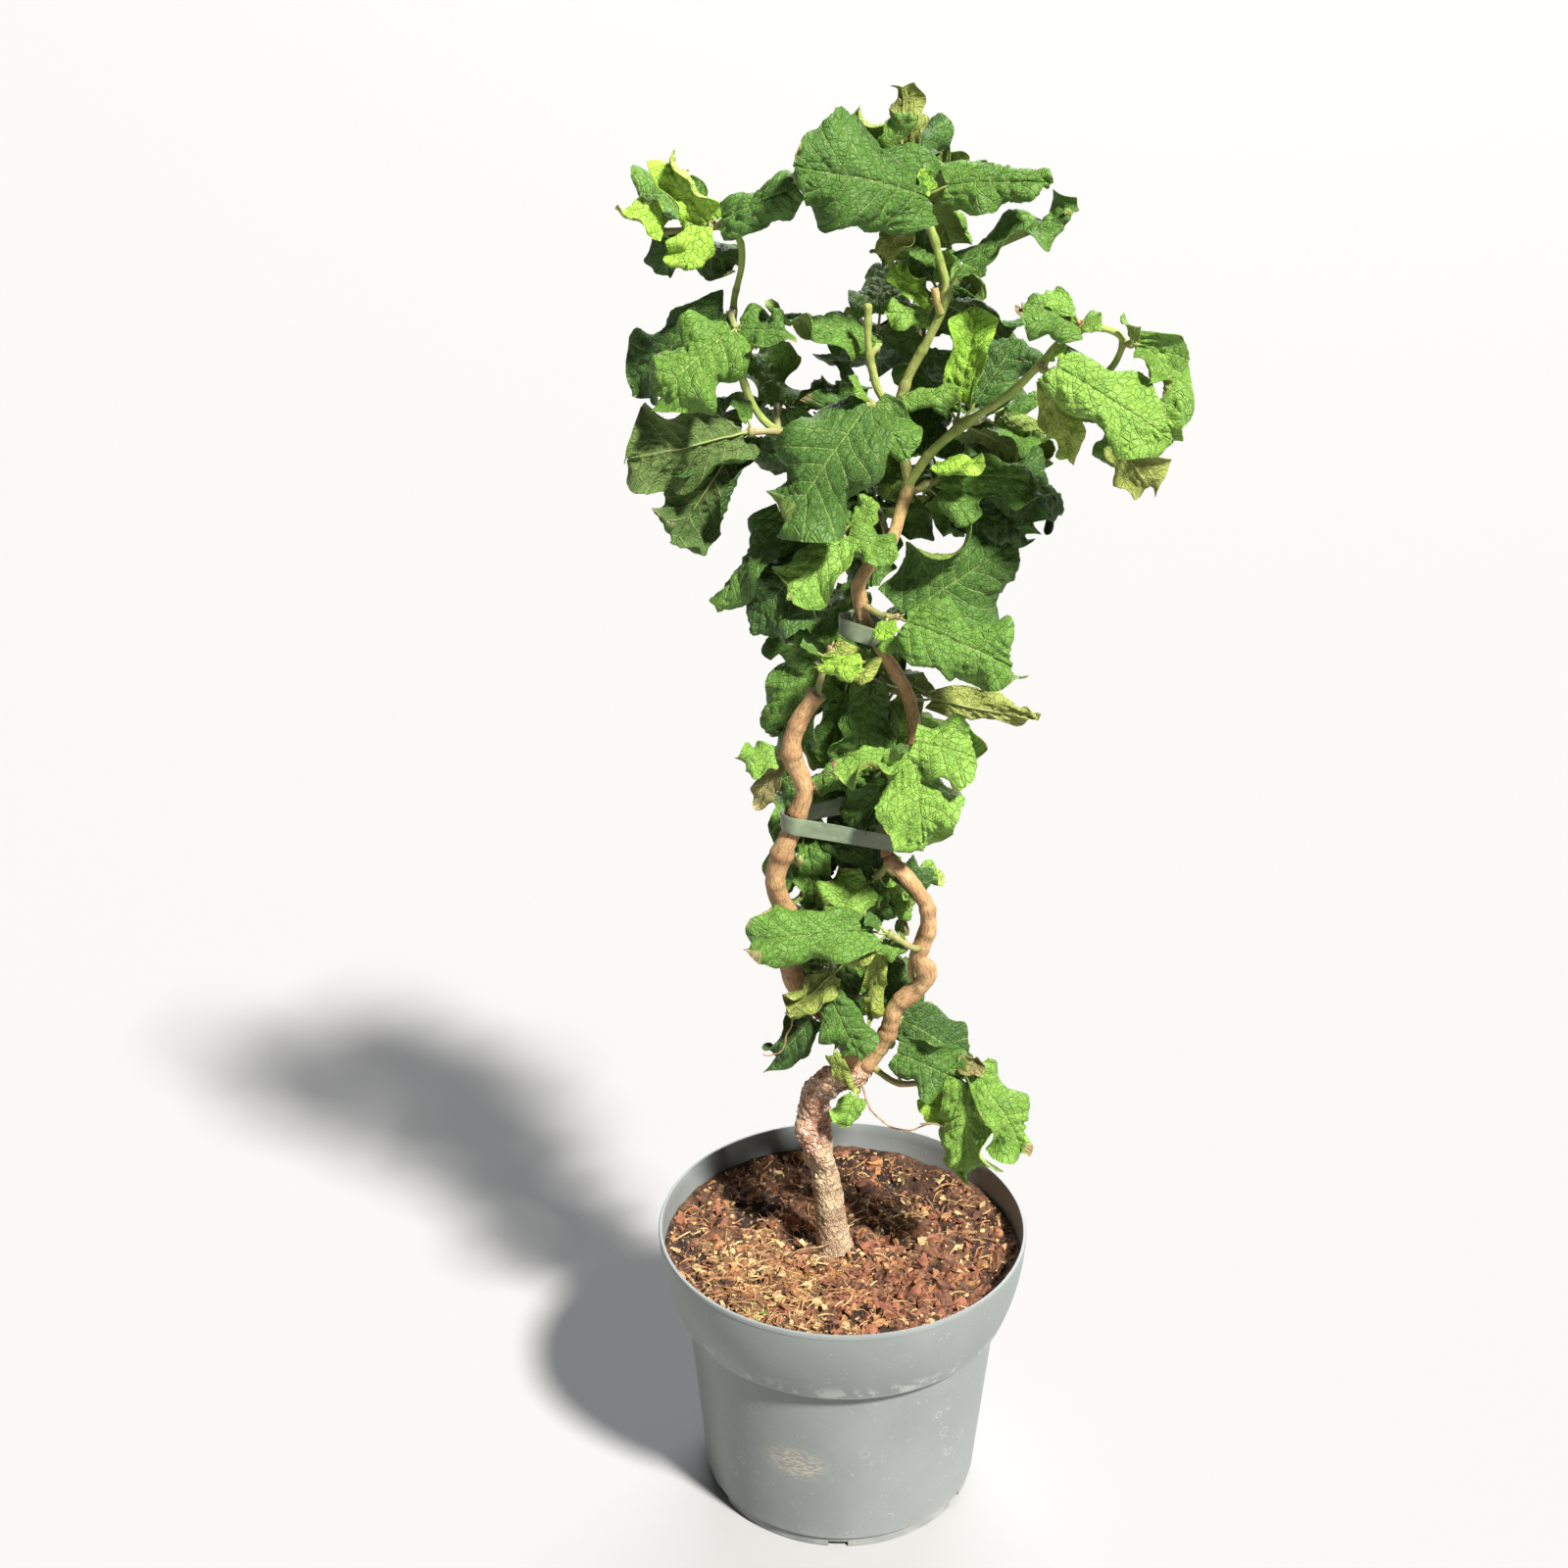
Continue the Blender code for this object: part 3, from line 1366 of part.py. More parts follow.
def stalk_feet(spray, stem):
    """Points in the stem that a stalk can leave from: past the bough's bark, and short of the tip."""
    bough, widths = bough_of(spray)
    feet, _ = dense(*stem, 0.5 * MM)
    apart = np.linalg.norm(feet[:, None] - bough[None], axis=-1) - widths[None]
    free = feet[apart.min(axis=1) > STALK_WIDTH * MM]
    return free[:-3] if len(free) > 3 else feet[-4:-3]


def place_leaves(obstacles):
    """Where every leaf of every spray ends up: the listed ones first, then the filling ones."""
    placed = {spray.name: [] for spray in SPRAYS}
    stems = {spray.name: stem_of(spray) for spray in SPRAYS}
    for spray in SPRAYS:
        path, radii = stems[spray.name]
        obstacles.append(Obstacle(spray.name, "stem", *dense(path, radii)))
    for filling in (False, True):
        for spray in SPRAYS:
            dice = random.Random(spray.name)
            leaves = spray.leaves
            if filling:
                leaves = [filling_leaf(spray, index, dice) for index in range(spray.fill)]
            fine = curve_through(spray.bends, STEM_STATIONS)
            feet = stalk_feet(spray, stems[spray.name])
            for index, leaf in enumerate(leaves):
                key = f"{spray.name} {filling} {index}"
                anchor = fine[round(leaf.at * (len(fine) - 1))]
                start = feet[np.linalg.norm(feet - anchor, axis=1).argmin()]
                for lift, push in EASES:
                    ease = unit(leaf.face) * lift + unit(leaf.reach) * push
                    base = anchor + (np.array(leaf.stalk) + ease) * MM
                    samples = faceted_samples(leaf, base, key)
                    stalk = np.linspace(start, base, 3)
                    if not crowded(spray, samples, stalk, obstacles):
                        placed[spray.name].append((leaf, base, start, key))
                        flat = samples.reshape(-1, 3), np.zeros(SAMPLES**2)
                        thin = dense(stalk, np.full(3, STALK_WIDTH * MM / 2))
                        obstacles.append(Obstacle(spray.name, "leaf", *flat))
                        obstacles.append(Obstacle(spray.name, "leaf", *thin))
                        break
    return placed, stems


def sound(thing, leaves):
    """Whether the mesh closes with no edge on another, and still reaches the tip of every leaf."""
    points = np.array([vertex.co for vertex in thing.data.vertices])
    _, index = np.unique(np.round(points / MM, 3), axis=0, return_inverse=True)
    index = index.reshape(-1)
    uses = Counter()
    for polygon in thing.data.polygons:
        corners = [index[vertex] for vertex in polygon.vertices]
        for pair in zip(corners, corners[1:] + corners[:1]):
            uses[frozenset(pair)] += 1
    if any(count != 2 and len(pair) == 2 for pair, count in uses.items()):
        return False
    for leaf, base, _, key in leaves:
        tip = blade(leaf, base, np.array([1.0]), np.array([0.0]), key)[0]
        if np.linalg.norm(points - tip, axis=1).min() > 2 * LEAF_THICKNESS * MM:
            return False
    return True


def build_spray(spray, stem, leaves, cutters, material):
    """One closed solid: the three-sided stem, with every stalked leaf fused on.

    Thin stalks that lie along each other can fuse into edges that touch, so their feet are moved a
    little inside the stem until the union is sound.
    """
    for attempt in range(FUSE_TRIES):
        noise = random.Random(f"{spray.name} {attempt}")
        pieces = [solid(spray.name, *tube(*stem, 3), material)]
        for leaf, base, start, key in leaves:
            shift = np.array([noise.uniform(-1, 1) for _ in range(3)]) * STALK_SHIFT * MM
            pieces.append(solid("leaf", *leaf_solid(leaf, base, start + shift * (1 + attempt), key)))
        thing = fuse(pieces)
        keep_largest(thing)
        seat(thing, cutters, "MANIFOLD")
        if sound(thing, leaves):
            return
        if attempt < FUSE_TRIES - 1:
            bpy.data.objects.remove(thing, do_unlink=True)
    print(spray.name, "is not sound")


def near(path, radii, other_path, other_radii):
    """Whether two limbs come within the reach at which one is cut back from the other."""
    points, widths = dense(path, radii)
    others, other_widths = dense(other_path, other_radii)
    apart = np.linalg.norm(points[:, None] - others[None], axis=-1) - widths[:, None] - other_widths[None]
    return apart.min() < MEETING * MM


def build_limbs(obstacles):
    """Every limb, each cut back from those before it. Returns their shapes and their cutters."""
    shapes = {}
    cutters = {}
    for limb in LIMBS:
        path, radii = limb_path(limb)
        bark = paint(limb.name + "_bark", limb.bark, 0.75)
        thing = solid(limb.name, *tube(path, radii, limb.sides, limb.level_foot), bark)
        met = [cutters[name] for name, shape in shapes.items() if near(path, radii, *shape)]
        if met:
            seat(thing, met, "EXACT")
        smooth(thing, BARK_SMOOTH)
        shapes[limb.name] = path, radii
        cutters[limb.name] = clear_of(limb.name + "_clear", path, radii, limb.sides)
        obstacles.append(Obstacle(limb.name, "limb", *dense(path, radii)))
    return shapes, cutters


def build_ties(obstacles):
    """Both ties. Leaves keep clear of their whole width."""
    for tie in TIES:
        build_tie(tie)
        middle = strap_path(tie) * MM
        loop, _ = dense(np.vstack([middle, middle[:1]]), np.zeros(len(middle) + 1))
        for lift in (-0.4, 0.0, 0.4):
            strip = loop + np.array((0, 0, lift * tie.wide * MM))
            obstacles.append(Obstacle(tie.name, "limb", strip, np.full(len(strip), 2 * tie.thick * MM)))


def main():
    clear_scene()
    build_pot()
    build_soil()
    obstacles = []
    shapes, cutters = build_limbs(obstacles)
    build_ties(obstacles)
    placed, stems = place_leaves(obstacles)
    green = paint("leaves", LEAF_GREEN, 0.5)
    for spray in SPRAYS:
        stem = stems[spray.name]
        met = [cutters[name] for name, shape in shapes.items() if near(*stem, *shape)]
        build_spray(spray, stem, placed[spray.name], met, green)
    for cutter in cutters.values():
        bpy.data.objects.remove(cutter, do_unlink=True)


if __name__ == "__main__":
    main()
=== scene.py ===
"""A potted corkscrew hazel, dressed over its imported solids.

Metres, +Z up. The origin is the middle of the pot's flat underside, and -Y is the front. The rule
that places every leaf is the one that the solids were built from, so each fine leaf lies where its
plain one does, and grows from the same limb.
"""

import logging
import math
import random
from collections.abc import Callable
from dataclasses import dataclass, field
from enum import Enum

import bpy
import numpy as np
from mathutils import Matrix, Vector

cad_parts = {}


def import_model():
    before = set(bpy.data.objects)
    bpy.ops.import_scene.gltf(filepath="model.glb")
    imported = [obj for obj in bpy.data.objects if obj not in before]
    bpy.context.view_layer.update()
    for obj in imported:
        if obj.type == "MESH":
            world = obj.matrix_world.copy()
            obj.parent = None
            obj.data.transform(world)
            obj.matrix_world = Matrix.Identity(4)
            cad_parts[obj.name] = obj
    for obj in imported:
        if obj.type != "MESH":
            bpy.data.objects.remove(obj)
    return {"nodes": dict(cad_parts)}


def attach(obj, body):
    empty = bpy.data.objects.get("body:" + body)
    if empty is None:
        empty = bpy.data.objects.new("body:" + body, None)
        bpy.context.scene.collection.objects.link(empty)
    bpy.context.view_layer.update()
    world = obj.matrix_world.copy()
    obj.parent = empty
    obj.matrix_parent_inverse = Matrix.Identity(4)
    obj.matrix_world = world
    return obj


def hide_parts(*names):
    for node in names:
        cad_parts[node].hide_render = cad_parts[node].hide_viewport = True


# Lengths in the data are in millimetres, and angles in degrees.
MM = 0.001
TURN = 2 * math.pi
BODY = "root"
LOG = logging.getLogger("hazel")

# A leaf's outline is widest at this share of its length. The rest shape its base and its tip.
WIDEST = 0.48
BASE_SHARE, BASE_NARROWS, BASE_ROUND = 0.58, 0.42, 2.2
TIP_NARROWS, TIP_ROUND, TIP_POINT = 0.985, 1.8, 0.9
# Lateral lines of a leaf run back at its heart-shaped base and forward past it.
HEART_NOTCH, VEIN_SLANT = 0.07, 0.42
CURL_STEPS, CURL_GRIP = 12, 1.4
LOBE, LOBE_WAVES = 0.13, 2.3
RUFFLE, RUFFLE_WAVES = 0.045, 1.6
CRUMPLE, FOLD_WAVES = 0.04, 1.4
STALK_WIDTH = 1.9
# Widths from which a leaf's solid has one more row of faces, and two more columns
SMALL_LEAF, LARGE_LEAF = 48.0, 68.0
SAMPLES = 17
# A leaf may come near its own spray over this share of its length.
OWN_ROOT = 0.26
# A leaf's place on its stem is counted in this many stations between bends.
STEM_STATIONS = 8

Triple = tuple[float, float, float]
Colour = tuple[float, float, float]
Array = np.ndarray
Pair = tuple[Array, Array]
Piece = bpy.types.Object
Material = bpy.types.Material


class Tint(Enum):
    """The green that a leaf takes, partly its own and partly painted light: the bright tints stand in for
    the glow of leaves lit through, and DEEP for leaves in shade.
    """

    FRESH = "fresh"
    LIGHT = "light"
    MID = "mid"
    DEEP = "deep"
    OLIVE = "olive"
    DRY = "dry"


class Side(Enum):
    """The two faces of a leaf."""

    UPPER = "upper"
    UNDER = "under"


class Bark(Enum):
    """The age of a limb's bark."""

    OLD = "old_bark"
    TAN = "tan_bark"
    GREEN = "green_bark"


class Region(Enum):
    """A part of the plant whose leaves make one piece."""

    CROWN = "crown"
    LEFT_ARCH = "left_arch"
    RIGHT_ARCH = "right_arch"
    SHOULDER = "shoulder"
    COLUMN = "column"
    WAIST = "waist"
    BASE = "base"


FRESH, LIGHT, MID, DEEP, OLIVE, DRY = Tint


class Extra(Enum):
    """A leaf that only the scene has."""

    YOUNG = "young"
    INNER = "inner"


@dataclass(frozen=True)
class Limb:
    """A tapering limb through its bends, from its parent limb's axis to its tip.

    Each burl is its place as a share of the length, its height and its spread. green is how far the
    bark has the green of young wood, at the foot and at the tip.
    """

    name: str
    bends: tuple[Triple, ...]
    foot: float
    tip: float
    bark: Bark
    parts: int = 2
    flare: float = 0.0
    burls: tuple[Triple, ...] = ()
    green: tuple[float, float] = (0.0, 0.0)
    cut: bool = False


@dataclass(frozen=True)
class Leaf:
    """One leaf: where its stalk leaves the stem, how its blade lies, and how it curls.

    stalk runs from the stem to the blade's base, and reach from there to its tip. face is the way
    its upper side looks. curl is how far the blade arches to that side, and how far its right and
    its left edge turn to it.
    """

    at: float
    stalk: Triple
    reach: Triple
    face: Triple
    width: float
    tint: Tint
    curl: Triple = (0, -15, -15)
    twist: float = 0.0
    sway: float = 0.0


@dataclass(frozen=True)
class Spray:
    """A twig with its leaves. fill is how many more the rule adds, towards its far side."""

    name: str
    bough: str
    bends: tuple[Triple, ...]
    leaves: tuple[Leaf, ...] = ()
    fill: int = 0
    outward: Triple = (0, 1, 0)
    reach: float = 60.0
    twig: float = 2.3


LIMBS: tuple[Limb, ...] = (
    Limb("trunk", ((-5, -5, 190.3), (-8, -4, 214), (-14, -2, 254), (-21, -1, 284), (-21, -1, 309),
                   (-10, -4, 326), (5, -8, 333), (14, -10, 342)),
         10.5, 8.0, Bark.OLD, parts=3, flare=3.0, burls=((0.55, 2.2, 0.12), (0.80, 1.2, 0.08))),
    Limb("stem_left", ((9, -9, 338), (6, -7, 356), (-4, -4, 371), (-17, -1, 382), (-32, 0, 397),
                       (-37, -1, 414), (-36, -9, 447), (-46, -18, 481), (-42, -20, 505),
                       (-34, -20, 527), (-28, -20, 552), (-36, -20, 575), (-32, -20, 596),
                       (-20, -20, 617)),
         7.6, 5.6, Bark.TAN, burls=((0.10, 1.6, 0.05), (0.62, 0.8, 0.03), (0.86, 0.7, 0.03)), cut=True),
    Limb("stem_right", ((14, -10, 341), (21, -11, 353), (29, -13, 370), (34, -15, 391),
                        (49, -18, 408), (54, -20, 420), (48, -20, 434), (54, -20, 451),
                        (51, -20, 472), (39, -20, 490), (26, -15, 502)),
         6.6, 4.3, Bark.TAN, burls=((0.36, 1.2, 0.04), (0.50, 1.2, 0.04))),
    Limb("stem_mid", ((26, -15, 502), (26, -6, 516), (35, 1, 547), (42, 2, 578), (37, 0, 610),
                      (20, -1, 640), (8, -2, 662)), 4.2, 4.0, Bark.TAN),
    Limb("leader", ((8, -2, 662), (5, -5, 683), (12, -9, 699), (24, -9, 713), (31, 0, 731),
                    (35, 0, 750)), 4.6, 3.7, Bark.TAN, green=(0.0, 0.25)),
    Limb("leader_top", ((35, 0, 750), (31, 0, 766), (27, 4, 786), (33, 4, 812), (45, 0, 837),
                        (54, -5, 863), (48, -10, 889), (40, -10, 913)),
         3.5, 2.0, Bark.GREEN, burls=((0.70, 0.5, 0.02), (0.98, 0.5, 0.02)), green=(0.35, 1.0)),
    Limb("cut_stub", ((51, -4, 852), (48, -5, 862), (47, -5, 867)), 2.6, 2.6, Bark.TAN,
         green=(0.6, 0.2), cut=True),
    Limb("arch_left", ((28, 4, 783), (8, 15, 777), (-18, 20, 772), (-42, 20, 773), (-57, 20, 784),
                       (-68, 20, 808), (-72, 18, 832), (-72, 15, 854), (-67, 10, 876), (-68, 4, 893),
                       (-79, 0, 901)),
         2.7, 1.8, Bark.GREEN, burls=((0.66, 0.5, 0.02),), green=(0.7, 0.9)),
    Limb("arch_right", ((35, -1, 748), (47, -10, 769), (67, -20, 790), (89, -30, 808),
                        (107, -40, 829), (117, -45, 843), (129, -50, 852)),
         3.2, 2.0, Bark.GREEN, burls=((0.40, 0.4, 0.03),), green=(0.8, 1.0)),
    Limb("arch_tip", ((129, -50, 852), (143, -50, 853), (153, -50, 847), (151, -45, 834),
                      (143, -40, 818), (144, -35, 802), (151, -30, 790)),
         1.9, 1.5, Bark.GREEN, green=(1.0, 0.7)),
    Limb("spur", ((28, 4, 790), (21, 0, 797), (14, -4, 808), (9, -6, 832), (8, -7, 858)),
         2.5, 2.1, Bark.GREEN, burls=((0.97, 0.6, 0.03),), green=(0.9, 0.6)),
    Limb("side_twig", ((49, -18, 408), (44, -16, 415), (44, -16, 430), (49, -17, 449),
                       (52, -19, 458)), 1.8, 1.6, Bark.TAN),
)

# Tints in these rows are partly painted light: a leaf in shade takes DEEP, and a leaf lit through takes
# FRESH or LIGHT
SPRAYS: tuple[Spray, ...] = (
    Spray("crown_top", "leader_top", ((40, -10, 912), (35, -10, 925), (28, -10, 930), (22, -8, 947)), (
        Leaf(0.12, (3, -3, 2), (-77, -29, 21), (0, -9, 3), 63, DEEP, (45, -70, -35)),
        Leaf(0.83, (2, 6, -1), (1, 11, 41), (5, 8, 1), 30, OLIVE, (-20, 25, 25)),
        Leaf(0.92, (-6, -3, 0), (-27, -2, 23), (-2, -8, 5), 30, LIGHT, (35, 45, 45)),
        Leaf(0.96, (-6, -11, -1), (13, -7, 24), (3, -9, 2), 19, LIGHT, (0, -50, -50)),
        Leaf(0.21, (6, -4, 3), (-7, -4, 11), (0, -6, 6), 13, FRESH, (0, 50, 50)),
        Leaf(0.21, (15, -5, 6), (58, -9, 4), (0, -8, 5), 38, MID, (20, -70, -65)),
        Leaf(0.0, (-7, 12, -3), (-19, 6, -30), (1, 9, -1), 24, OLIVE, (-25, -15, -15)),
    ), fill=3),
    Spray("crown_side", "leader_top", ((54, -5, 864), (52, 4, 865), (48, 9, 858)), (
        Leaf(0.0, (4, -2, 12), (62, -11, 36), (2, -4, 9), 35, MID, (-15, 60, 60)),
        Leaf(0.62, (-5, 3, -8), (-25, 5, 20), (2, -8, 5), 16, FRESH, (0, -40, -40)),
        Leaf(1.0, (-4, -5, -7), (-24, -2, 1), (0, -8, 5), 21, LIGHT, (0, -30, -30)),
        Leaf(1.0, (-10, 7, -21), (-17, 6, -12), (0, -9, 3), 25, DEEP, (0, -40, -40)),
    ), fill=2),
    Spray("left_tip", "arch_left", ((-79, 0, 900), (-85, -1, 901), (-99, -3, 899), (-117, -3, 898)), (
        Leaf(0.0, (2, -6, 5), (46, -16, 19), (1, -8, 5), 36, DEEP, (25, -85, -85)),
        Leaf(0.38, (1, -8, 4), (-24, -5, 34), (-2, -9, 1), 30, FRESH, (20, 30, 30)),
        Leaf(0.5, (0, -12, 3), (-7, -6, -25), (2, -9, 3), 29, FRESH, (20, -30, -30)),
        Leaf(0.92, (1, -4, 3), (-24, -4, 12), (-1, -6, 7), 27, FRESH, (35, 30, 30)),
        Leaf(0.92, (0, 6, -3), (3, 5, -23), (0, -9, 2), 25, DEEP, (10, -15, -15)),
    ), fill=2),
    Spray("left_mid", "arch_left", ((-72, 15, 848), (-73, 4, 848), (-70, -7, 842)), (
        Leaf(0.31, (-2, 0, 2), (-55, 14, -46), (-3, -7, 6), 46, DEEP, (45, -30, -30)),
        Leaf(1.0, (-2, -5, 0), (-43, -20, -36), (-1, -8, 5), 53, LIGHT, (45, -40, -30)),
        Leaf(1.0, (3, -2, 0), (28, -13, 3), (1, -8, 6), 38, MID, (15, -55, -50)),
    ), fill=2),
    Spray("left_low", "arch_left", ((-42, 20, 774), (-51, 8, 777), (-64, 2, 778)), (
        Leaf(1.0, (-3, -2, 0), (-69, -18, -12), (-1, 9, -1), 56, DEEP, (-30, 20, 20)),
        Leaf(1.0, (-4, 2, -4), (-42, -10, -64), (2, 9, 1), 42, DEEP, (-35, 30, 30)),
    ), fill=2),
    Spray("ribbon", "spur", ((10, -5, 826), (12, 6, 827), (15, 10, 829)), (
        Leaf(1.0, (0, 0, 1), (-54, -10, 19), (-1, -7, 6), 32, MID, (20, -45, -35), twist=30),
        Leaf(1.0, (4, 14, -14), (22, 12, 24), (2, -9, 3), 31, DEEP, (0, -25, -25)),
    ), fill=2),
    Spray("centre_front", "leader_top", ((27, 5, 786), (17, -15, 798), (10, -24, 802)), (
        Leaf(1.0, (-1, -4, 0), (-49, -26, -68), (-1, -9, 3), 65, MID, (40, -35, -28)),
        Leaf(0.94, (2, -1, 0), (20, -8, -31), (2, -9, 3), 34, MID, (25, -50, -40)),
        Leaf(0.38, (-11, 9, 6), (-28, 8, -11), (-1, -7, 7), 29, DEEP, (0, -30, -30)),
        Leaf(0.44, (11, -4, 6), (33, -4, 8), (0, -6, 8), 20, LIGHT, (0, -60, -60)),
    )),
    Spray("inner_right", "arch_right", ((61, -18, 787), (62, -12, 789), (66, 4, 785)), (
        Leaf(0.5, (0, 0, 4), (8, 4, 56), (-2, -9, 2), 28, FRESH, (10, 35, 35)),
        Leaf(1.0, (3, 11, -1), (26, 15, 36), (0, -9, 4), 43, DEEP, (20, -25, -25)),
        Leaf(1.0, (6, 8, -4), (31, 3, 3), (0, -8, 5), 23, DEEP, (0, -40, -40)),
    ), fill=2),
    Spray("arch_mid", "arch_right", ((108, -40, 830), (109, -45, 829), (110, -48, 828)), (
        Leaf(1.0, (0, -1, 2), (68, -9, -42), (-1, -8, 5), 43, LIGHT, (25, -25, -70)),
        Leaf(0.44, (3, 2, -8), (15, -2, -43), (0, 9, 1), 23, FRESH, (-20, 20, 20)),
    )),
    Spray("arch_top", "arch_right", ((128, -50, 852), (128, -55, 856), (127, -57, 857)), (
        Leaf(1.0, (-1, 0, -1), (-33, -9, 12), (0, -6, 8), 35, MID, (35, -55, -60)),
        Leaf(0.94, (2, -1, 0), (10, -4, 6), (1, -6, 8), 17, LIGHT, (20, -50, -50)),
    )),
    Spray("arch_curl", "arch_tip", ((156, -50, 844), (158, -53, 845), (159, -54, 845)), (
        Leaf(1.0, (1, 0, -1), (17, 2, -49), (5, -7, 4), 32, LIGHT, (10, 65, 65), sway=130),
    )),
    Spray("arch_inner", "arch_tip", ((143, -39, 815), (141, -34, 814), (140, -31, 813)), (
        Leaf(1.0, (-1, 1, -1), (-14, 6, -3), (-1, -7, 7), 21, LIGHT, (0, -40, -40)),
        Leaf(1.0, (2, 9, -5), (-6, 10, -19), (0, -9, 3), 20, MID, (0, -30, -30)),
    )),
    Spray("arch_end", "arch_tip", ((151, -30, 789), (154, -29, 786), (157, -29, 784)), (
        Leaf(1.0, (1, 0, -2), (19, -3, -28), (1, 9, 1), 34, OLIVE, (-20, 20, 20)),
        Leaf(1.0, (-2, 7, -3), (-2, 14, -21), (0, -6, 7), 21, MID, (30, -15, -15)),
    )),
    Spray("right_mid", "leader", ((33, 0, 740), (46, 5, 745), (56, 4, 750), (70, 6, 752)), (
        Leaf(0.67, (0, -11, 5), (57, -17, 0), (0, -7, 7), 33, MID, (25, -70, -50), twist=20),
        Leaf(0.67, (1, -16, -1), (12, -13, -16), (0, -9, 2), 27, MID, (60, -75, -75)),
        Leaf(1.0, (3, 8, 1), (61, 10, -29), (1, -6, 7), 45, DEEP, (60, -30, -30)),
        Leaf(0.33, (4, 15, -11), (61, 4, -26), (0, -8, 5), 35, DEEP, (30, -30, -20)),
        Leaf(0.29, (0, 19, -15), (-7, 6, -26), (0, -9, 3), 27, DEEP),
        Leaf(0.62, (-8, -20, 14), (29, -14, 4), (0, -5, 8), 16, FRESH, (0, -50, -50)),
    ), fill=2),
    Spray("left_shoulder", "leader", ((24, -9, 711), (7, -18, 721), (-11, -16, 723), (-37, -11, 727)), (
        Leaf(1.0, (-4, -2, 0), (-39, -11, -46), (-3, -8, 5), 48, MID, (35, -30, -30), twist=100),
        Leaf(0.75, (-1, -7, -9), (-45, -16, -53), (-2, -9, 3), 50, DEEP, (45, -40, -22)),
        Leaf(0.5, (-2, -10, -2), (-34, -22, -32), (-1, -8, 5), 36, LIGHT, (30, -30, -30)),
        Leaf(0.46, (-2, -9, 0), (29, -11, -9), (1, -8, 6), 28, LIGHT, (25, -45, -35)),
        Leaf(0.5, (0, 5, 0), (-19, -5, 19), (0, -9, 3), 25, MID, twist=80),
        Leaf(0.42, (0, 5, 0), (10, -1, 20), (0, -9, 3), 20, LIGHT, (0, -40, -40)),
    )),
    Spray("right_low", "leader", ((6, -3, 671), (20, -17, 668), (31, -21, 669)), (
        Leaf(1.0, (2, -2, 2), (65, 13, 42), (1, -9, 3), 72, MID, (22, -14, -18)),
        Leaf(1.0, (4, -7, -1), (68, -10, -26), (1, -9, 4), 53, MID, (30, -20, -20)),
        Leaf(0.75, (1, 0, -12), (-7, -3, -11), (0, -9, 4), 12, LIGHT),
    )),
    Spray("column_upper", "stem_mid", (
        (40, 0, 604), (31, 14, 606), (14, 19, 610), (-5, 21, 615), (-20, 20, 620)), (
        Leaf(0.47, (-2, -9, 2), (-2, -6, -47), (0, -9, 2), 36, MID, (20, -20, -20)),
        Leaf(0.69, (-2, 1, -12), (-12, -2, -49), (0, -9, 2), 28, MID),
        Leaf(1.0, (-3, -6, 2), (-25, -4, -53), (-2, -9, 2), 49, MID, (25, -25, -20)),
        Leaf(0.06, (7, 4, 1), (67, -8, -11), (1, 7, -4), 26, OLIVE, (20, 40, 40), twist=60),
    ), fill=1),
    Spray("shoot", "stem_left", ((-19, -19, 620), (-16, -20, 634), (-11, -18, 648)), (
        Leaf(1.0, (1, -3, -1), (22, -13, -16), (0, -8, 6), 26, OLIVE, (0, -45, 40)),
        Leaf(0.44, (0, -4, -1), (25, -18, 5), (0, -6, 8), 18, FRESH, (0, -40, -40)),
        Leaf(1.0, (2, 6, -3), (20, 3, -6), (0, -8, 5), 22, DEEP),
    )),
    Spray("left_knot", "stem_left", ((-36, -20, 576), (-42, -16, 574), (-44, -13, 570)), (
        Leaf(0.5, (-1, -1, 1), (-20, -2, -6), (-2, -8, 6), 24, LIGHT, (20, -30, -30)),
        Leaf(1.0, (-1, -1, -1), (-13, 0, -35), (-2, -9, 2), 18, DRY, (25, 40, 40)),
        Leaf(1.0, (3, 5, -8), (4, 4, -32), (-1, -9, 2), 21, MID),
    ), fill=1),
    Spray("column_mid", "stem_mid", ((42, 0, 572), (39, -14, 577), (35, -22, 580)), (
        Leaf(1.0, (5, -5, 1), (9, -9, -65), (1, -9, 3), 50, LIGHT, (30, -25, -25)),
        Leaf(0.75, (3, 0, 4), (41, -6, -8), (2, -8, 5), 42, LIGHT, (25, -20, -30)),
        Leaf(1.0, (-4, -2, -2), (-43, -10, -7), (-1, -5, 8), 32, LIGHT, (20, -35, -40)),
        Leaf(0.19, (-16, -4, -23), (-27, -5, -29), (0, -9, 2), 30, DEEP, (0, 55, 55)),
    )),
    Spray("low_left", "stem_left", ((-41, -20, 505), (-37, -5, 495), (-31, 4, 488)), (
        Leaf(0.56, (-7, 8, 4), (-7, -2, -51), (-5, -8, 1), 23, MID, (40, -15, -15)),
        Leaf(0.94, (6, 5, 10), (6, -3, -48), (0, -9, 1), 32, MID, (15, -15, -15)),
        Leaf(1.0, (3, 10, 17), (10, 0, 36), (0, -9, 1), 29, DEEP),
    ), fill=1),
    Spray("low_right", "stem_right", ((27, -15, 498), (23, -2, 485), (14, 4, 474)), (
        Leaf(0.88, (-3, -8, 1), (-29, -10, -21), (-1, -9, 4), 43, LIGHT, (30, -35, -20)),
        Leaf(0.56, (1, -3, -4), (8, -4, -32), (1, -9, 3), 30, MID, (20, -15, -15)),
        Leaf(0.19, (13, 5, 0), (14, -3, -18), (3, -8, 3), 23, DEEP, (0, -40, -40)),
    ), fill=1),
    Spray("low_front", "stem_right", ((52, -20, 438), (43, -30, 444), (27, -33, 456)), (
        Leaf(1.0, (-10, -2, 2), (-80, -11, -3), (0, -7, 6), 41, MID, (30, -30, -15)),
        Leaf(1.0, (-7, -1, -6), (-23, -6, -14), (0, -8, 5), 19, OLIVE),
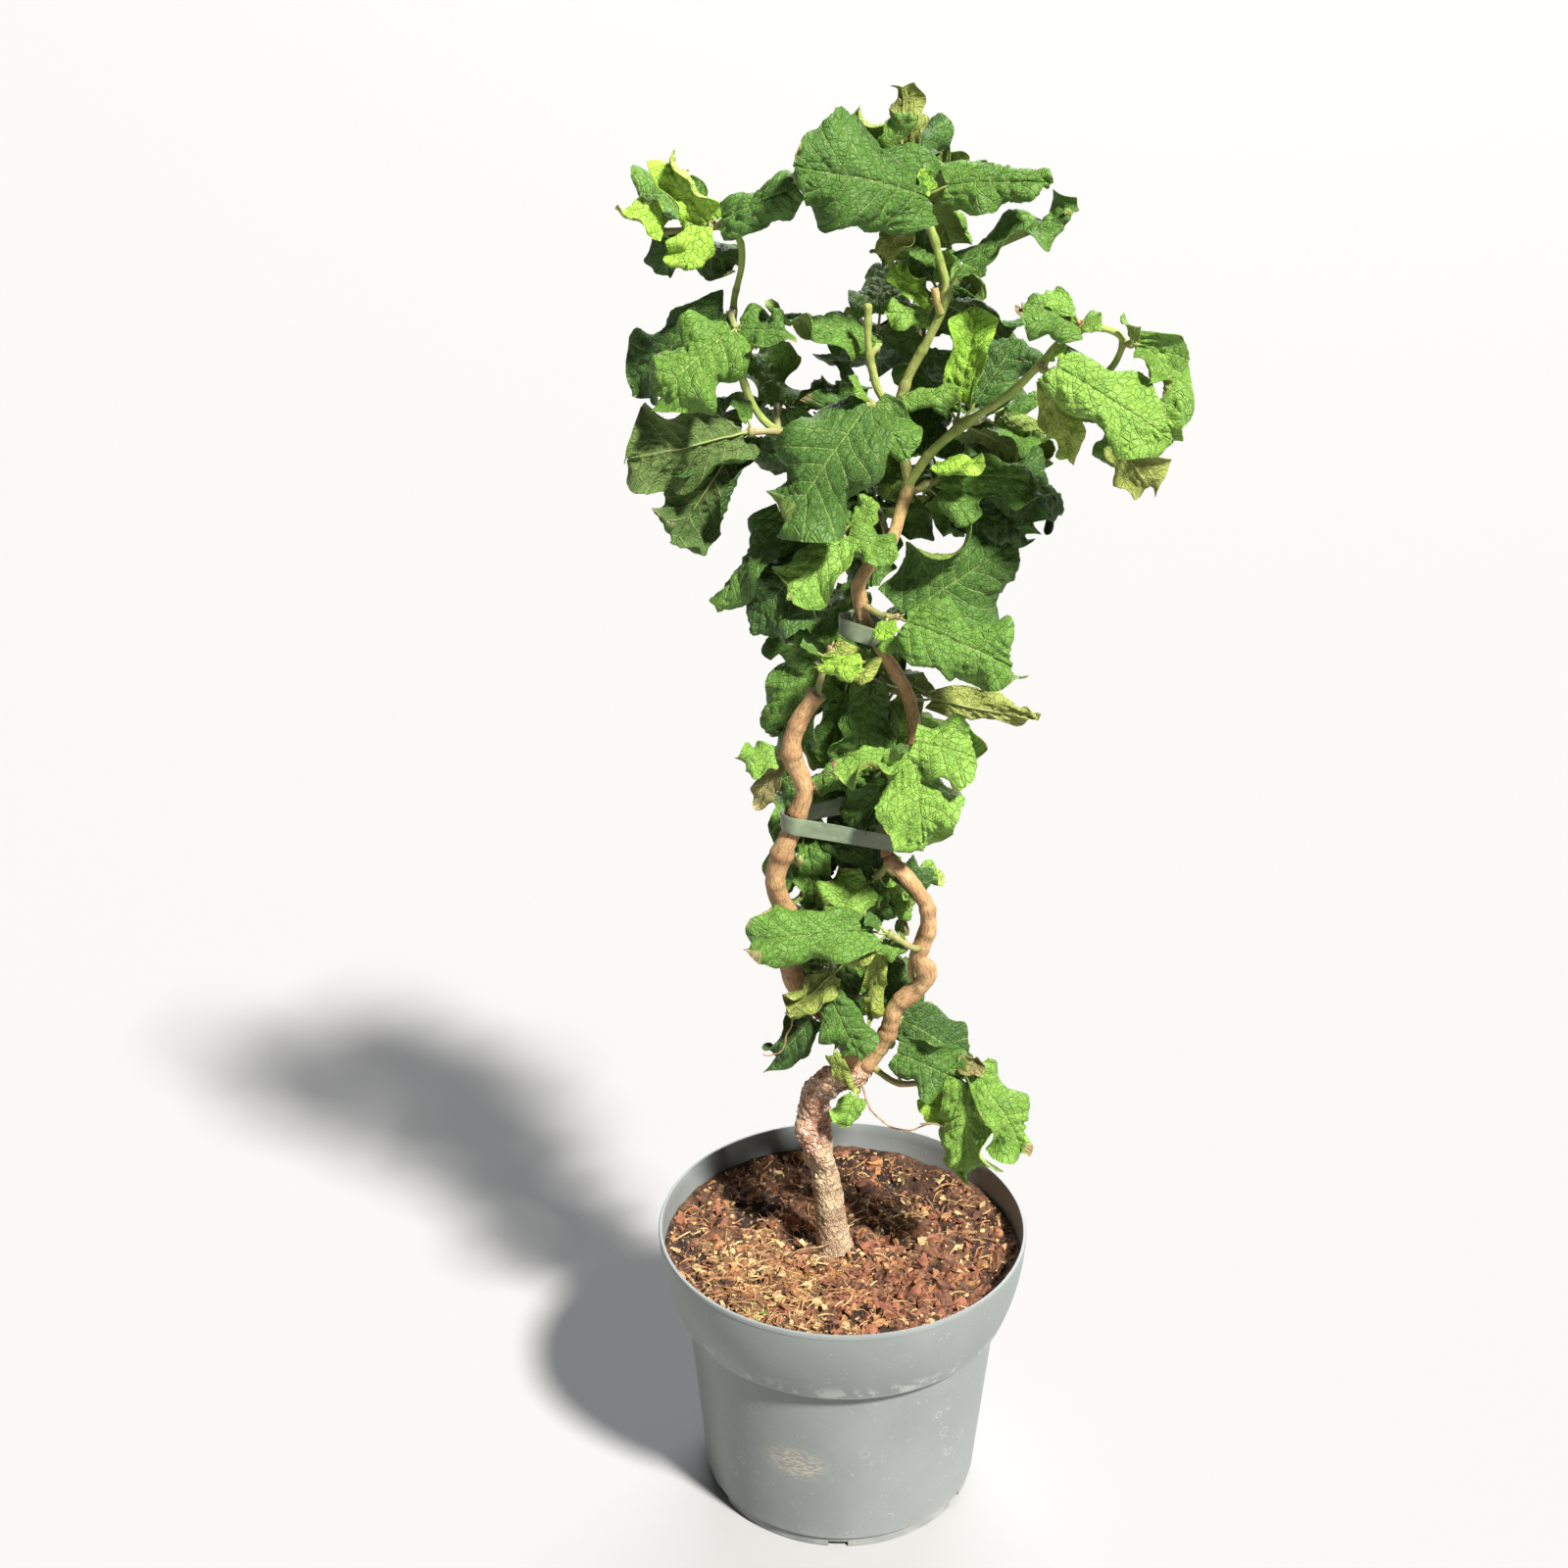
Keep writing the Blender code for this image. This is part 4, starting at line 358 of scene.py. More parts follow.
        Leaf(0.62, (0, 1, 2), (-17, -6, -6), (0, -7, 6), 15, LIGHT, (0, -40, -40)),
        Leaf(0.81, (-11, 10, -13), (-7, 6, -61), (2, -9, 1), 15, OLIVE, twist=60),
    )),
    Spray("fork_left", "stem_left", ((-24, 0, 388), (-16, -9, 404), (-10, -13, 415)), (
        Leaf(1.0, (0, -2, 3), (-28, -9, -25), (0, 9, 0), 29, OLIVE, (-20, -15, -15)),
        Leaf(0.7, (13, 7, 8), (7, 4, -40), (0, -9, 1), 17, DEEP, twist=40),
    ), fill=1),
    Spray("base_left", "stem_left", ((3, -4, 365), (-4, -17, 386), (-11, -20, 403)), (
        Leaf(1.0, (0, -4, 1), (21, -10, -42), (-1, -9, 4), 36, MID, (30, -25, -25)),
        Leaf(0.5, (-17, 3, -6), (-28, -2, -33), (-2, -9, 3), 30, DEEP, (20, -30, -30)),
        Leaf(0.25, (-7, -19, -14), (13, 0, -30), (0, -9, 2), 14, OLIVE, twist=60),
    )),
    Spray("base_right", "stem_right", (
        (22, -10, 340), (34, -24, 338), (49, -30, 341), (66, -34, 348), (81, -35, 355)), (
        Leaf(0.31, (-2, 2, 23), (39, -14, -11), (0, -9, 4), 42, MID, (20, -20, -20)),
        Leaf(0.53, (5, 4, -11), (16, -1, -16), (0, -9, 4), 28, FRESH, (0, 30, 30)),
        Leaf(1.0, (6, -2, -2), (36, -9, -55), (3, -8, 4), 44, LIGHT, (30, -22, -22)),
        Leaf(0.97, (4, 0, -7), (-2, 3, -81), (-1, -9, 2), 43, LIGHT, (20, -20, -20)),
        Leaf(0.97, (-3, 0, 5), (17, -5, 0), (0, -8, 5), 16, DRY, (0, 40, 40)),
    )),
    Spray("base_back", "stem_right", ((27, -12, 370), (33, -3, 371), (37, 0, 373)), (
        Leaf(1.0, (1, 0, 1), (51, -6, -34), (1, -7, 7), 43, DEEP, (50, -30, -20)),
    ), fill=3),
    Spray("base_under", "trunk", ((7, -10, 329), (9, -14, 325), (9, -15, 323)), (
        Leaf(1.0, (-1, -1, -2), (-10, -2, -22), (0, -9, 3), 20, LIGHT, (20, -15, -15)),
    )),
    Spray("back_crown", "leader_top", ((31, 4, 806), (37, 24, 816), (40, 48, 826), (36, 70, 838)),
          fill=5, outward=(1, 8, 2), reach=66),
    Spray("back_high", "leader_top", ((46, -9, 895), (42, 12, 902), (38, 34, 908), (30, 54, 912)),
          fill=4, outward=(-2, 8, 2), reach=56),
    Spray("back_left", "arch_left", ((-46, 20, 775), (-47, 38, 782), (-45, 58, 786)),
          fill=4, outward=(-2, 8, 1), reach=62),
    Spray("back_right", "arch_right", ((67, -20, 790), (74, 0, 786), (80, 24, 782), (82, 46, 780)),
          fill=4, outward=(2, 8, 1), reach=60),
    Spray("back_mid", "leader", ((22, -9, 712), (20, 14, 718), (14, 38, 724), (8, 60, 730)),
          fill=5, outward=(0, 8, 1), reach=66),
    Spray("back_waist", "stem_mid", ((40, 2, 598), (30, 22, 606), (16, 42, 612), (6, 58, 618)),
          fill=4, outward=(-1, 8, 1), reach=58),
    Spray("back_low", "stem_mid", ((33, 0, 540), (20, 20, 546), (6, 36, 552)),
          fill=4, outward=(0, 8, 1), reach=56),
    Spray("back_lower", "stem_right", ((52, -20, 466), (40, 4, 470), (24, 28, 474), (12, 46, 480)),
          fill=4, outward=(-1, 8, 1), reach=54),
    Spray("back_foot", "stem_left", ((-18, -1, 384), (-12, 14, 390), (-4, 28, 394)),
          fill=3, outward=(-1, 8, 1), reach=50),
)

SPRAY = {spray.name: spray for spray in SPRAYS}
REGIONS: dict[Region, tuple[str, ...]] = {
    Region.CROWN: ("crown_top", "crown_side", "back_crown", "back_high"),
    Region.LEFT_ARCH: ("left_tip", "left_mid", "left_low", "ribbon", "back_left"),
    Region.RIGHT_ARCH: ("inner_right", "arch_mid", "arch_top", "arch_curl", "arch_inner", "arch_end",
                        "back_right"),
    Region.SHOULDER: ("centre_front", "right_mid", "left_shoulder", "right_low", "back_mid"),
    Region.COLUMN: ("column_upper", "shoot", "left_knot", "column_mid", "back_waist", "back_low"),
    Region.WAIST: ("low_left", "low_right", "low_front", "fork_left", "back_lower"),
    Region.BASE: ("base_left", "base_right", "base_back", "base_under", "back_foot"),
}


def unit(vector: Array) -> Array:
    """The vector at a length of one."""
    vector = np.asarray(vector, float)
    return vector / max(np.linalg.norm(vector), 1e-9)


def curve_through(bends: tuple[Triple, ...], parts: int) -> Array:
    """Points on a smooth curve through the bends.

    Args:
        bends: Bends in millimetres.
        parts: Steps between one bend and the next.

    Returns:
        Points in metres.
    """
    knots = np.array(bends, float) * MM
    ends = np.vstack([2 * knots[0] - knots[1], knots, 2 * knots[-1] - knots[-2]])
    points = []
    for a, b, c, d in zip(ends, ends[1:], ends[2:], ends[3:]):
        for step in range(parts):
            t = step / parts
            points.append(b + (c - a) * t / 2 + (2 * a - 5 * b + 4 * c - d) * t**2 / 2
                          + (3 * b - a - 3 * c + d) * t**3 / 2)
    points.append(knots[-1])
    return np.array(points)


def run_along(path: Array) -> Array:
    """Distance along a path at each of its points."""
    return np.concatenate([[0], np.cumsum(np.linalg.norm(np.diff(path, axis=0), axis=1))])


def dense(path: Array, radii: Array, step: float = 2.0 * MM) -> Pair:
    """Points at even steps along a path, with their radii.

    Args:
        path: The path.
        radii: Radius at each of its points.
        step: Distance between the new points.

    Returns:
        The new points and their radii.
    """
    run = run_along(path)
    stations = np.arange(0, run[-1] + step, step)
    points = np.stack([np.interp(stations, run, path[:, axis]) for axis in range(3)], axis=-1)
    return points, np.interp(stations, run, radii)


@dataclass(frozen=True)
class PotShape:
    """The pot's sizes, and the lines that its outside and inside follow."""

    height: float = 208.0
    rim_radius: float = 130.0
    band_height: float = 61.4
    band_foot_radius: float = 117.5
    neck_radius: float = 111.5
    base_radius: float = 98.0
    foot_height: float = 9.0
    foot_inset: float = 1.2
    wall: float = 2.2
    floor: float = 7.0
    shoulder_rise: float = 6.0

    @property
    def neck(self) -> float:
        """Height of the band's lower edge."""
        return self.height - self.band_height

    def band(self, depth: float) -> float:
        """Outer radius of the band at a depth under the rim."""
        drawn_in = self.rim_radius - self.band_foot_radius
        return self.rim_radius - drawn_in * (depth / self.band_height) ** 2

    def body(self, height: float) -> float:
        """Outer radius of the body at a height."""
        return self.base_radius + (self.neck_radius - self.base_radius) * height / self.neck

    def inner(self, height: float) -> float:
        """Radius of the inside at a height.

        Args:
            height: The height in millimetres.

        Returns:
            The radius in millimetres.
        """
        if height <= self.neck:
            return self.body(height) - self.wall
        blend = min(1.0, (height - self.neck) / self.shoulder_rise)
        return self.band(self.height - height) * blend + self.body(self.neck) * (1 - blend) - self.wall


@dataclass(frozen=True)
class SoilShape:
    """The compost's level and its mounds, each its middle x and y, its height and its reach."""

    level: float = 190.0
    mounds: tuple[tuple[float, float, float, float], ...] = (
        (-62, -48, 7, 34), (8, -98, 7, 44), (62, -62, 4, 36), (10, 60, -4, 60), (88, 30, -5, 36),
        (-30, 40, 3, 30),
    )
    trunk: tuple[float, float] = (-5, -5)
    seat: float = 16.0
    mound_start: float = 18.0

    def top(self, x: Array, y: Array) -> Array:
        """Height of the mounded surface, level under the trunk.

        Args:
            x: Places to the right.
            y: Places to the back.

        Returns:
            The heights in millimetres.
        """
        rise = 0.0
        for middle_x, middle_y, high, wide in self.mounds:
            rise = rise + high * np.exp(-((x - middle_x) ** 2 + (y - middle_y) ** 2) / wide**2)
        past = np.hypot(x - self.trunk[0], y - self.trunk[1]) - self.seat
        return self.level + rise * np.clip(past / self.mound_start, 0.0, 1.0)


@dataclass(frozen=True)
class Tie:
    """A flat strap drawn round three posts, each its middle x, y, z and its radius."""

    name: str
    posts: tuple[tuple[float, float, float, float], ...]
    wide: float = 12.0
    thick: float = 1.0

    def loop(self, steps: int) -> Array:
        """The strap's middle line in millimetres: the hull of circles round its posts.

        Args:
            steps: Points on each circle.

        Returns:
            The line's points, in order.
        """
        flat = []
        for x, y, _, radius in self.posts:
            for k in range(steps):
                angle = TURN * k / steps
                flat.append((x + radius * math.cos(angle), y + radius * math.sin(angle)))
        flat.sort()
        hull = np.array(self.half_hull(flat) + self.half_hull(flat[::-1]))
        posts = np.array(self.posts)
        plane = np.linalg.solve(np.column_stack([posts[:, :2], np.ones(3)]), posts[:, 2])
        return np.column_stack([hull, hull @ plane[:2] + plane[2]])

    @staticmethod
    def half_hull(points: list[tuple[float, float]]) -> list[tuple[float, float]]:
        """One side of the hull of sorted flat points.

        Args:
            points: The points, sorted.

        Returns:
            That side's points, in order.
        """
        chain: list[tuple[float, float]] = []
        for x, y in points:
            while len(chain) > 1:
                (first_x, first_y), (last_x, last_y) = chain[-2:]
                if (last_x - first_x) * (y - last_y) - (last_y - first_y) * (x - last_x) > 0:
                    break
                chain.pop()
            chain.append((x, y))
        return chain[:-1]


TIES = (
    Tie("tie_lower", ((-34, -20, 528.5, 8.6), (27, -8.5, 514, 9.0), (2, 17, 520, 7.0))),
    Tie("tie_upper", ((4, -3, 655, 10.5), (12.5, -3, 653, 11.0), (8, 7, 654, 8.0))),
)


def limb_radii(limb: Limb, path: Array) -> Array:
    """Radius at each point: an even taper, a flared foot and a swelling at each burl.

    Args:
        limb: The limb.
        path: Points along it.

    Returns:
        The radii in metres.
    """
    run = run_along(path)
    share = run / run[-1]
    radii = limb.foot + (limb.tip - limb.foot) * share + limb.flare * np.exp(-run / (12.0 * MM))
    for place, swell, spread in limb.burls:
        radii = radii + swell * np.exp(-(((share - place) / spread) ** 2))
    return radii * MM


def limb_line(limb: Limb) -> Pair:
    """The limb's middle line and its radius along it, as the solids have them."""
    path = curve_through(limb.bends, limb.parts)
    return path, limb_radii(limb, path)


def curled(across: Array, half: float, turn: Array) -> Pair:
    """Across and up from the midrib when the edge is turned by that much, in radians.

    Args:
        across: Distance from the midrib.
        half: Distance of the edge.
        turn: Turn of the edge.

    Returns:
        The two curled distances.
    """
    steps = (np.arange(CURL_STEPS) + 0.5) / CURL_STEPS
    turned = turn[..., None] * (np.abs(across)[..., None] / half * steps) ** CURL_GRIP
    return across * np.cos(turned).mean(-1), np.abs(across) * np.sin(turned).mean(-1)


def bent(along: Array, other: Array, turn: float, length: float) -> Pair:
    """Bends a length into an arc that rises to the other side by the given whole turn.

    Args:
        along: The length.
        other: The side that it rises to.
        turn: The turn in radians.
        length: The whole length.

    Returns:
        The bent length and side.
    """
    if abs(turn) < 1e-4:
        return along, other
    radius = length / turn
    angle = along / radius - turn / 2
    return (radius + other) * np.sin(angle), (radius + other) * np.cos(angle) - radius * math.cos(turn / 2)


@dataclass(frozen=True)
class Placed:
    """A leaf in its place: its blade's base, the point where its stalk starts, and its key."""

    leaf: Leaf
    base: Array
    start: Array
    key: str

    def outline(self, s: Array) -> Array:
        """Half width as a share of the widest, from the blade's base to its tip.

        Args:
            s: Stations along.

        Returns:
            The shares.
        """
        to_base = np.clip((WIDEST - s) / WIDEST, 0, 1)
        to_tip = np.clip((s - WIDEST) / (1 - WIDEST), 0, 1)
        return (1 - BASE_NARROWS * to_base**BASE_ROUND) * (1 - TIP_NARROWS * to_tip**TIP_ROUND) ** TIP_POINT

    def blade(self, s: Array, t: Array) -> Array:
        """Points on the blade's middle sheet.

        Args:
            s: Stations from the base, 0, to the tip, 1.
            t: Stations across, from the right edge, -1, to the left one, 1.

        Returns:
            Points in metres, one for each pair of stations.
        """
        leaf = self.leaf
        noise = random.Random(self.key)
        phases = [noise.uniform(0, TURN) for _ in range(6)]
        arch, right, left = (math.radians(angle) for angle in leaf.curl)
        sway = math.radians(leaf.sway)
        chord = np.linalg.norm(leaf.reach) * MM
        bow = [math.sin(turn / 2) / (turn / 2) if abs(turn) > 1e-4 else 1.0 for turn in (arch, sway)]
        length = chord / (bow[0] * bow[1])
        half = leaf.width * MM / 2

        def shaped(s: Array, t: Array) -> Array:
            """The sheet in the leaf's own axes: along, across and up.

            Args:
                s: Stations along.
                t: Stations across.

            Returns:
                The sheet's points in millimetres.
            """
            along = length * (s + (-HEART_NOTCH * (1 - s) ** 3 + VEIN_SLANT * s * (1 - s)) * np.abs(t))
            lobes = np.where(t < 0, phases[1], phases[0])
            across = half * self.outline(s) * t * (1 + LOBE * np.sin(TURN * LOBE_WAVES * s + lobes))
            y, z = curled(across, half, np.where(t < 0, right, left))
            ruffle = np.where(t < 0, phases[0], phases[1])
            z = z + RUFFLE * length * t**2 * np.sin(TURN * RUFFLE_WAVES * s + ruffle)
            folds = np.sin(TURN * FOLD_WAVES * s + phases[2]) * np.sin(2.4 * t + phases[3])
            folds = folds + np.sin(math.pi * FOLD_WAVES * s + 2 * t + phases[4])
            z = z + CRUMPLE * length * folds * np.sin(math.pi * np.clip(s, 0, 1)) * np.abs(t)
            spin = math.radians(leaf.twist) * s
            y, z = y * np.cos(spin) - z * np.sin(spin), y * np.sin(spin) + z * np.cos(spin)
            x, z = bent(along, z, arch, length)
            x, y = bent(x + length * bow[0] / 2, y, sway, length * bow[0])
            return np.stack([x, y, z], axis=-1)

        ends = shaped(np.array([0.0, 1.0]), np.array([0.0, 0.0]))
        run = unit(ends[1] - ends[0])
        up = unit(np.array((0, 0, 1.0)) - run * run[2])
        local = np.stack([run, np.cross(up, run), up])
        ahead = unit(leaf.reach)
        face = np.asarray(leaf.face, float)
        face = unit(face - ahead * ahead.dot(face))
        world = np.stack([ahead, np.cross(face, ahead), face])
        stretch = np.array([chord / np.linalg.norm(ends[1] - ends[0]), 1.0, 1.0])
        return self.base + ((shaped(s, t) - ends[0]) @ local.T * stretch) @ world

    def samples(self) -> Array:
        """Points spread evenly over the few faces that the leaf has in the solids.

        Returns:
            The points in metres.
        """
        rib = STALK_WIDTH / (BASE_SHARE * self.leaf.width)
        rows = 2 if self.leaf.width < SMALL_LEAF else 3
        across = (-1.0, -rib, rib, 1.0)
        if self.leaf.width >= LARGE_LEAF:
            across = (-1.0, -0.55, -rib, rib, 0.55, 1.0)
        s, t = np.meshgrid(np.linspace(0, 1, rows + 1), across, indexing="ij")
        corners = self.blade(s, t)
        down = np.linspace(0, rows, SAMPLES)
        over = np.interp(np.linspace(-1, 1, SAMPLES), across, np.arange(len(across)))
        i = np.minimum(down.astype(int), rows - 1)
        j = np.minimum(over.astype(int), len(across) - 2)
        u, v = (down - i)[:, None, None], (over - j)[None, :, None]
        near_edge = corners[i][:, j] * (1 - v) + corners[i][:, j + 1] * v
        far_edge = corners[i + 1][:, j] * (1 - v) + corners[i + 1][:, j + 1] * v
        return near_edge * (1 - u) + far_edge * u


@dataclass
class Obstacle:
    """Points that a leaf keeps clear of, each with its radius, and whose they are."""

    owner: str
    kind: str
    points: Array
    radii: Array
    middle: Array = field(init=False)
    size: float = field(init=False)

    def __post_init__(self) -> None:
        """Works out a ball round the points."""
        self.middle = self.points.mean(axis=0)
        self.size = np.linalg.norm(self.points - self.middle, axis=1).max() + self.radii.max()


@dataclass
class Growth:
    """The rule that places each leaf clear of the limbs, the straps and the other leaves."""

    pot: PotShape
    soil: SoilShape
    limb_room: float = 2.8
    spray_room: float = 3.8
    leaf_room: float = 1.8
    eases: tuple[tuple[float, float], ...] = (
        (0, 0), (3, 0), (-3, 0), (0, 4), (6, 0), (-6, 0), (4, 5), (-4, 5), (9, 0), (-9, 0), (0, 9),
        (12, 0), (-12, 0), (8, 8), (-8, 8), (16, 0), (-16, 0), (16, 8), (-16, 8),
    )
    obstacles: list[Obstacle] = field(default_factory=list)
    stems: dict[str, Pair] = field(default_factory=dict)
    placed: dict[str, list[Placed]] = field(default_factory=dict)

    def over_pot(self, x: float, y: float, z: float) -> bool:
        """Whether a point is down in the pot, at its rim or near the compost.

        Args:
            x: Place to the right.
            y: Place to the back.
            z: Height.

        Returns:
            Whether it is.
        """
        out = math.hypot(x, y)
        if out > self.pot.rim_radius + self.spray_room or z > self.pot.height + self.spray_room:
            return False
        near_wall = out > self.pot.inner(self.soil.level) - self.spray_room
        return near_wall or z < self.soil.top(x, y) + self.spray_room

    def crowded(self, spray: Spray, samples: Array, stalk: Array) -> bool:
        """Whether a leaf comes too near a limb or another leaf, or dips to the compost.

        Args:
            spray: The spray that it grows on.
            samples: Points on its blade.
            stalk: Points on its stalk.

        Returns:
            Whether it does.
        """
        middle = samples.reshape(-1, 3).mean(axis=0)
        size = np.linalg.norm(samples.reshape(-1, 3) - middle, axis=1).max()
        outer = samples[int(SAMPLES * OWN_ROOT):].reshape(-1, 3)
        every = np.concatenate([samples.reshape(-1, 3), stalk[1:2]])
        for other in self.obstacles:
            if np.linalg.norm(other.middle - middle) > size + other.size + 2 * self.spray_room * MM:
                continue
            mine, room = every, self.spray_room
            if other.kind == "limb":
                room = self.limb_room
            elif other.owner == spray.name:
                mine, room = outer, self.leaf_room
            squares = (mine**2).sum(axis=1)[:, None] + (other.points**2).sum(axis=1)
            squares = squares - 2 * mine @ other.points.T
            if (np.sqrt(np.maximum(squares, 0)) - other.radii).min() < room * MM:
                return True
        return any(self.over_pot(*point) for point in every / MM)

    def filling(self, spray: Spray, index: int, dice: random.Random) -> Leaf:
        """A leaf that the rule adds: out from the stem, turned by the golden angle, and drooping.

        Args:
            spray: The spray that it grows on.
            index: Its number among the spray's added leaves.
            dice: The spray's seeded numbers.

        Returns:
            The leaf.
        """
        turn = 2.4 * index + dice.uniform(-0.4, 0.4)
        outward = Vector(spray.outward).normalized()
        sideways = outward.cross(Vector((0, 0, 1))).normalized()
        spread = 0.95 * math.sin(turn)
        lift = 0.55 * math.cos(turn) - 0.15
        heading = (outward * 0.75 + sideways * spread + Vector((0, 0, lift))).normalized()
        length = spray.reach * dice.uniform(0.8, 1.15)
        face = (outward * 0.5 + Vector((0, 0, 0.8))).normalized()
        if dice.random() < 0.2:
            face = -face
        return Leaf(
            at=min(1.0, 0.35 + 0.65 * (index + 1) / max(spray.fill, 1)),
            stalk=tuple(heading * dice.uniform(9, 15)),
            reach=tuple(heading * length + Vector((0, 0, -0.12 * length))),
            face=tuple(face),
            width=length * dice.uniform(0.72, 0.9),
            tint=dice.choice((DEEP, DEEP, MID, MID, LIGHT)),
            curl=(dice.uniform(20, 60), dice.uniform(-60, 15), dice.uniform(-60, 15)),
            twist=dice.uniform(-40, 40),
            sway=dice.uniform(-40, 40),
        )

    def bough(self, spray: Spray) -> Pair:
        """Points along the bough that a spray grows from, with the bough's radius at each."""
        return dense(*limb_line(next(limb for limb in LIMBS if limb.name == spray.bough)), 0.5 * MM)

    def stem(self, spray: Spray) -> Pair:
        """The spray's own stem, which starts on its bough's axis.

        Args:
            spray: The spray.

        Returns:
            The stem's points and radii.
        """
        path = curve_through(spray.bends, 1)
        bough, _ = self.bough(spray)
        nearest = bough[np.linalg.norm(bough - path[0], axis=1).argmin()]
        path = np.vstack([nearest, path[1:]])
        return path, np.linspace(spray.twig, spray.twig * 0.8, len(path)) * MM

    def feet(self, spray: Spray) -> Array:
        """Points in the stem that a stalk can leave from: past the bough's bark, short of the tip.

        Args:
            spray: The spray.

        Returns:
            The points in metres.
        """
        bough, widths = self.bough(spray)
        feet, _ = dense(*self.stems[spray.name], 0.5 * MM)
        apart = np.linalg.norm(feet[:, None] - bough[None], axis=-1) - widths[None]
        free = feet[apart.min(axis=1) > STALK_WIDTH * MM]
        return free[:-3] if len(free) > 3 else feet[-4:-3]

    def place(self, spray: Spray, leaf: Leaf, key: str, fine: Array, feet: Array) -> None:
        """Puts one leaf at the first place where it is clear, or leaves it out.

        Args:
            spray: The spray that it grows on.
            leaf: The leaf.
            key: Its seed.
            fine: Stations along the spray's stem.
            feet: Points in that stem that a stalk can leave from.
        """
        anchor = fine[round(leaf.at * (len(fine) - 1))]
        start = feet[np.linalg.norm(feet - anchor, axis=1).argmin()]
        for lift, push in self.eases:
            ease = unit(leaf.face) * lift + unit(leaf.reach) * push
            found = Placed(leaf, anchor + (np.array(leaf.stalk) + ease) * MM, start, key)
            samples = found.samples()
            stalk = np.linspace(start, found.base, 3)
            if not self.crowded(spray, samples, stalk):
                self.placed[spray.name].append(found)
                blade = (samples.reshape(-1, 3), np.zeros(SAMPLES**2))
                for solid in (blade, dense(stalk, np.full(3, STALK_WIDTH * MM / 2))):
                    self.obstacles.append(Obstacle(spray.name, "leaf", *solid))
                return

    def grow(self) -> None:
        """Sets every limb, strap and stem as an obstacle, and then places all the leaves."""
        for limb in LIMBS:
            self.obstacles.append(Obstacle(limb.name, "limb", *dense(*limb_line(limb))))
        for tie in TIES:
            middle = tie.loop(12) * MM
            loop, _ = dense(np.vstack([middle, middle[:1]]), np.zeros(len(middle) + 1))
            for lift in (-0.4, 0.0, 0.4):
                strip = loop + np.array((0, 0, lift * tie.wide * MM))
                room = np.full(len(strip), 2 * tie.thick * MM)
                self.obstacles.append(Obstacle(tie.name, "limb", strip, room))
        for spray in SPRAYS:
            self.placed[spray.name] = []
            self.stems[spray.name] = self.stem(spray)
            self.obstacles.append(Obstacle(spray.name, "stem", *dense(*self.stems[spray.name])))
        for added in (False, True):
            for spray in SPRAYS:
                dice = random.Random(spray.name)
                leaves = spray.leaves
                if added:
                    leaves = [self.filling(spray, index, dice) for index in range(spray.fill)]
                fine, feet = curve_through(spray.bends, STEM_STATIONS), self.feet(spray)
                for index, leaf in enumerate(leaves):
                    self.place(spray, leaf, f"{spray.name} {added} {index}", fine, feet)


@dataclass(frozen=True)
class Waves:
    """A smooth seeded pattern of waves that run in all directions, from about -1 to 1."""

    seed: str
    size: float
    count: int = 9

    def at(self, *axes: Array) -> Array:
        """The pattern's value at points given by their coordinates.

        Args:
            axes: The coordinates, one array for each.

        Returns:
            The values.
        """
        dice = random.Random(self.seed)
        total = 0.0
        for _ in range(self.count):
            heading = unit([dice.gauss(0, 1) for _ in axes])
            pace = TURN / (self.size * dice.uniform(0.65, 1.6))
            phase = dice.uniform(0, TURN)
            total = total + np.sin(pace * sum(h * axis for h, axis in zip(heading, axes)) + phase)
        return total / math.sqrt(self.count) * 0.8


def deselect() -> None:
    """Leaves nothing selected."""
    if bpy.context.object and bpy.context.object.mode != "OBJECT":
        bpy.ops.object.mode_set(mode="OBJECT")
    bpy.ops.object.select_all(action="DESELECT")


def take(thing: Piece) -> None:
    """Makes one object the selected and active one.

    Args:
        thing: The object.
    """
    deselect()
    thing.select_set(True)
    bpy.context.view_layer.objects.active = thing


def named(name: str) -> Piece:
    """Gives the object that was just added its name.

    Args:
        name: The name.

    Returns:
        The object.
    """
    thing = bpy.context.active_object
    thing.name = thing.data.name = name
    return thing


def sheet_of(name: str, places: Array) -> Piece:
    """A grid whose points are then moved to their places.

    Args:
        name: Name of the piece.
        places: Points in metres, rows by columns.

    Returns:
        The shaped grid, whose map runs along the rows and over the columns.
    """
    rows, columns = places.shape[0] - 1, places.shape[1] - 1
    deselect()
    bpy.ops.mesh.primitive_grid_add(x_subdivisions=rows, y_subdivisions=columns, size=1.0)
    thing = named(name)
    thing.data.vertices.foreach_set("co", places.transpose(1, 0, 2).astype(np.float32).ravel())
    thing.data.update()
    return thing


def note(thing: Piece, name: str, values: Array) -> None:
    """Stores three numbers at every point, in the order that sheet_of uses."""
    layer = thing.data.attributes.new(name, "FLOAT_VECTOR", "POINT")
    layer.data.foreach_set("vector", values.transpose(1, 0, 2).astype(np.float32).ravel())


def frames_along(path: Array) -> Pair:
    """Two directions across a path at each point, which turn as little as they can.

    Args:
        path: Points along the path.

    Returns:
        The two directions at each point.
    """
    tangents = np.gradient(path, axis=0)
    tangents /= np.maximum(np.linalg.norm(tangents, axis=1, keepdims=True), 1e-12)
    sides = np.zeros_like(path)
    side = unit(np.cross(tangents[0], (0.31, 0.95, 0.1)))
    for k, tangent in enumerate(tangents):
        side = unit(side - tangent * side.dot(tangent))
        sides[k] = side
    return sides, np.cross(tangents, sides)


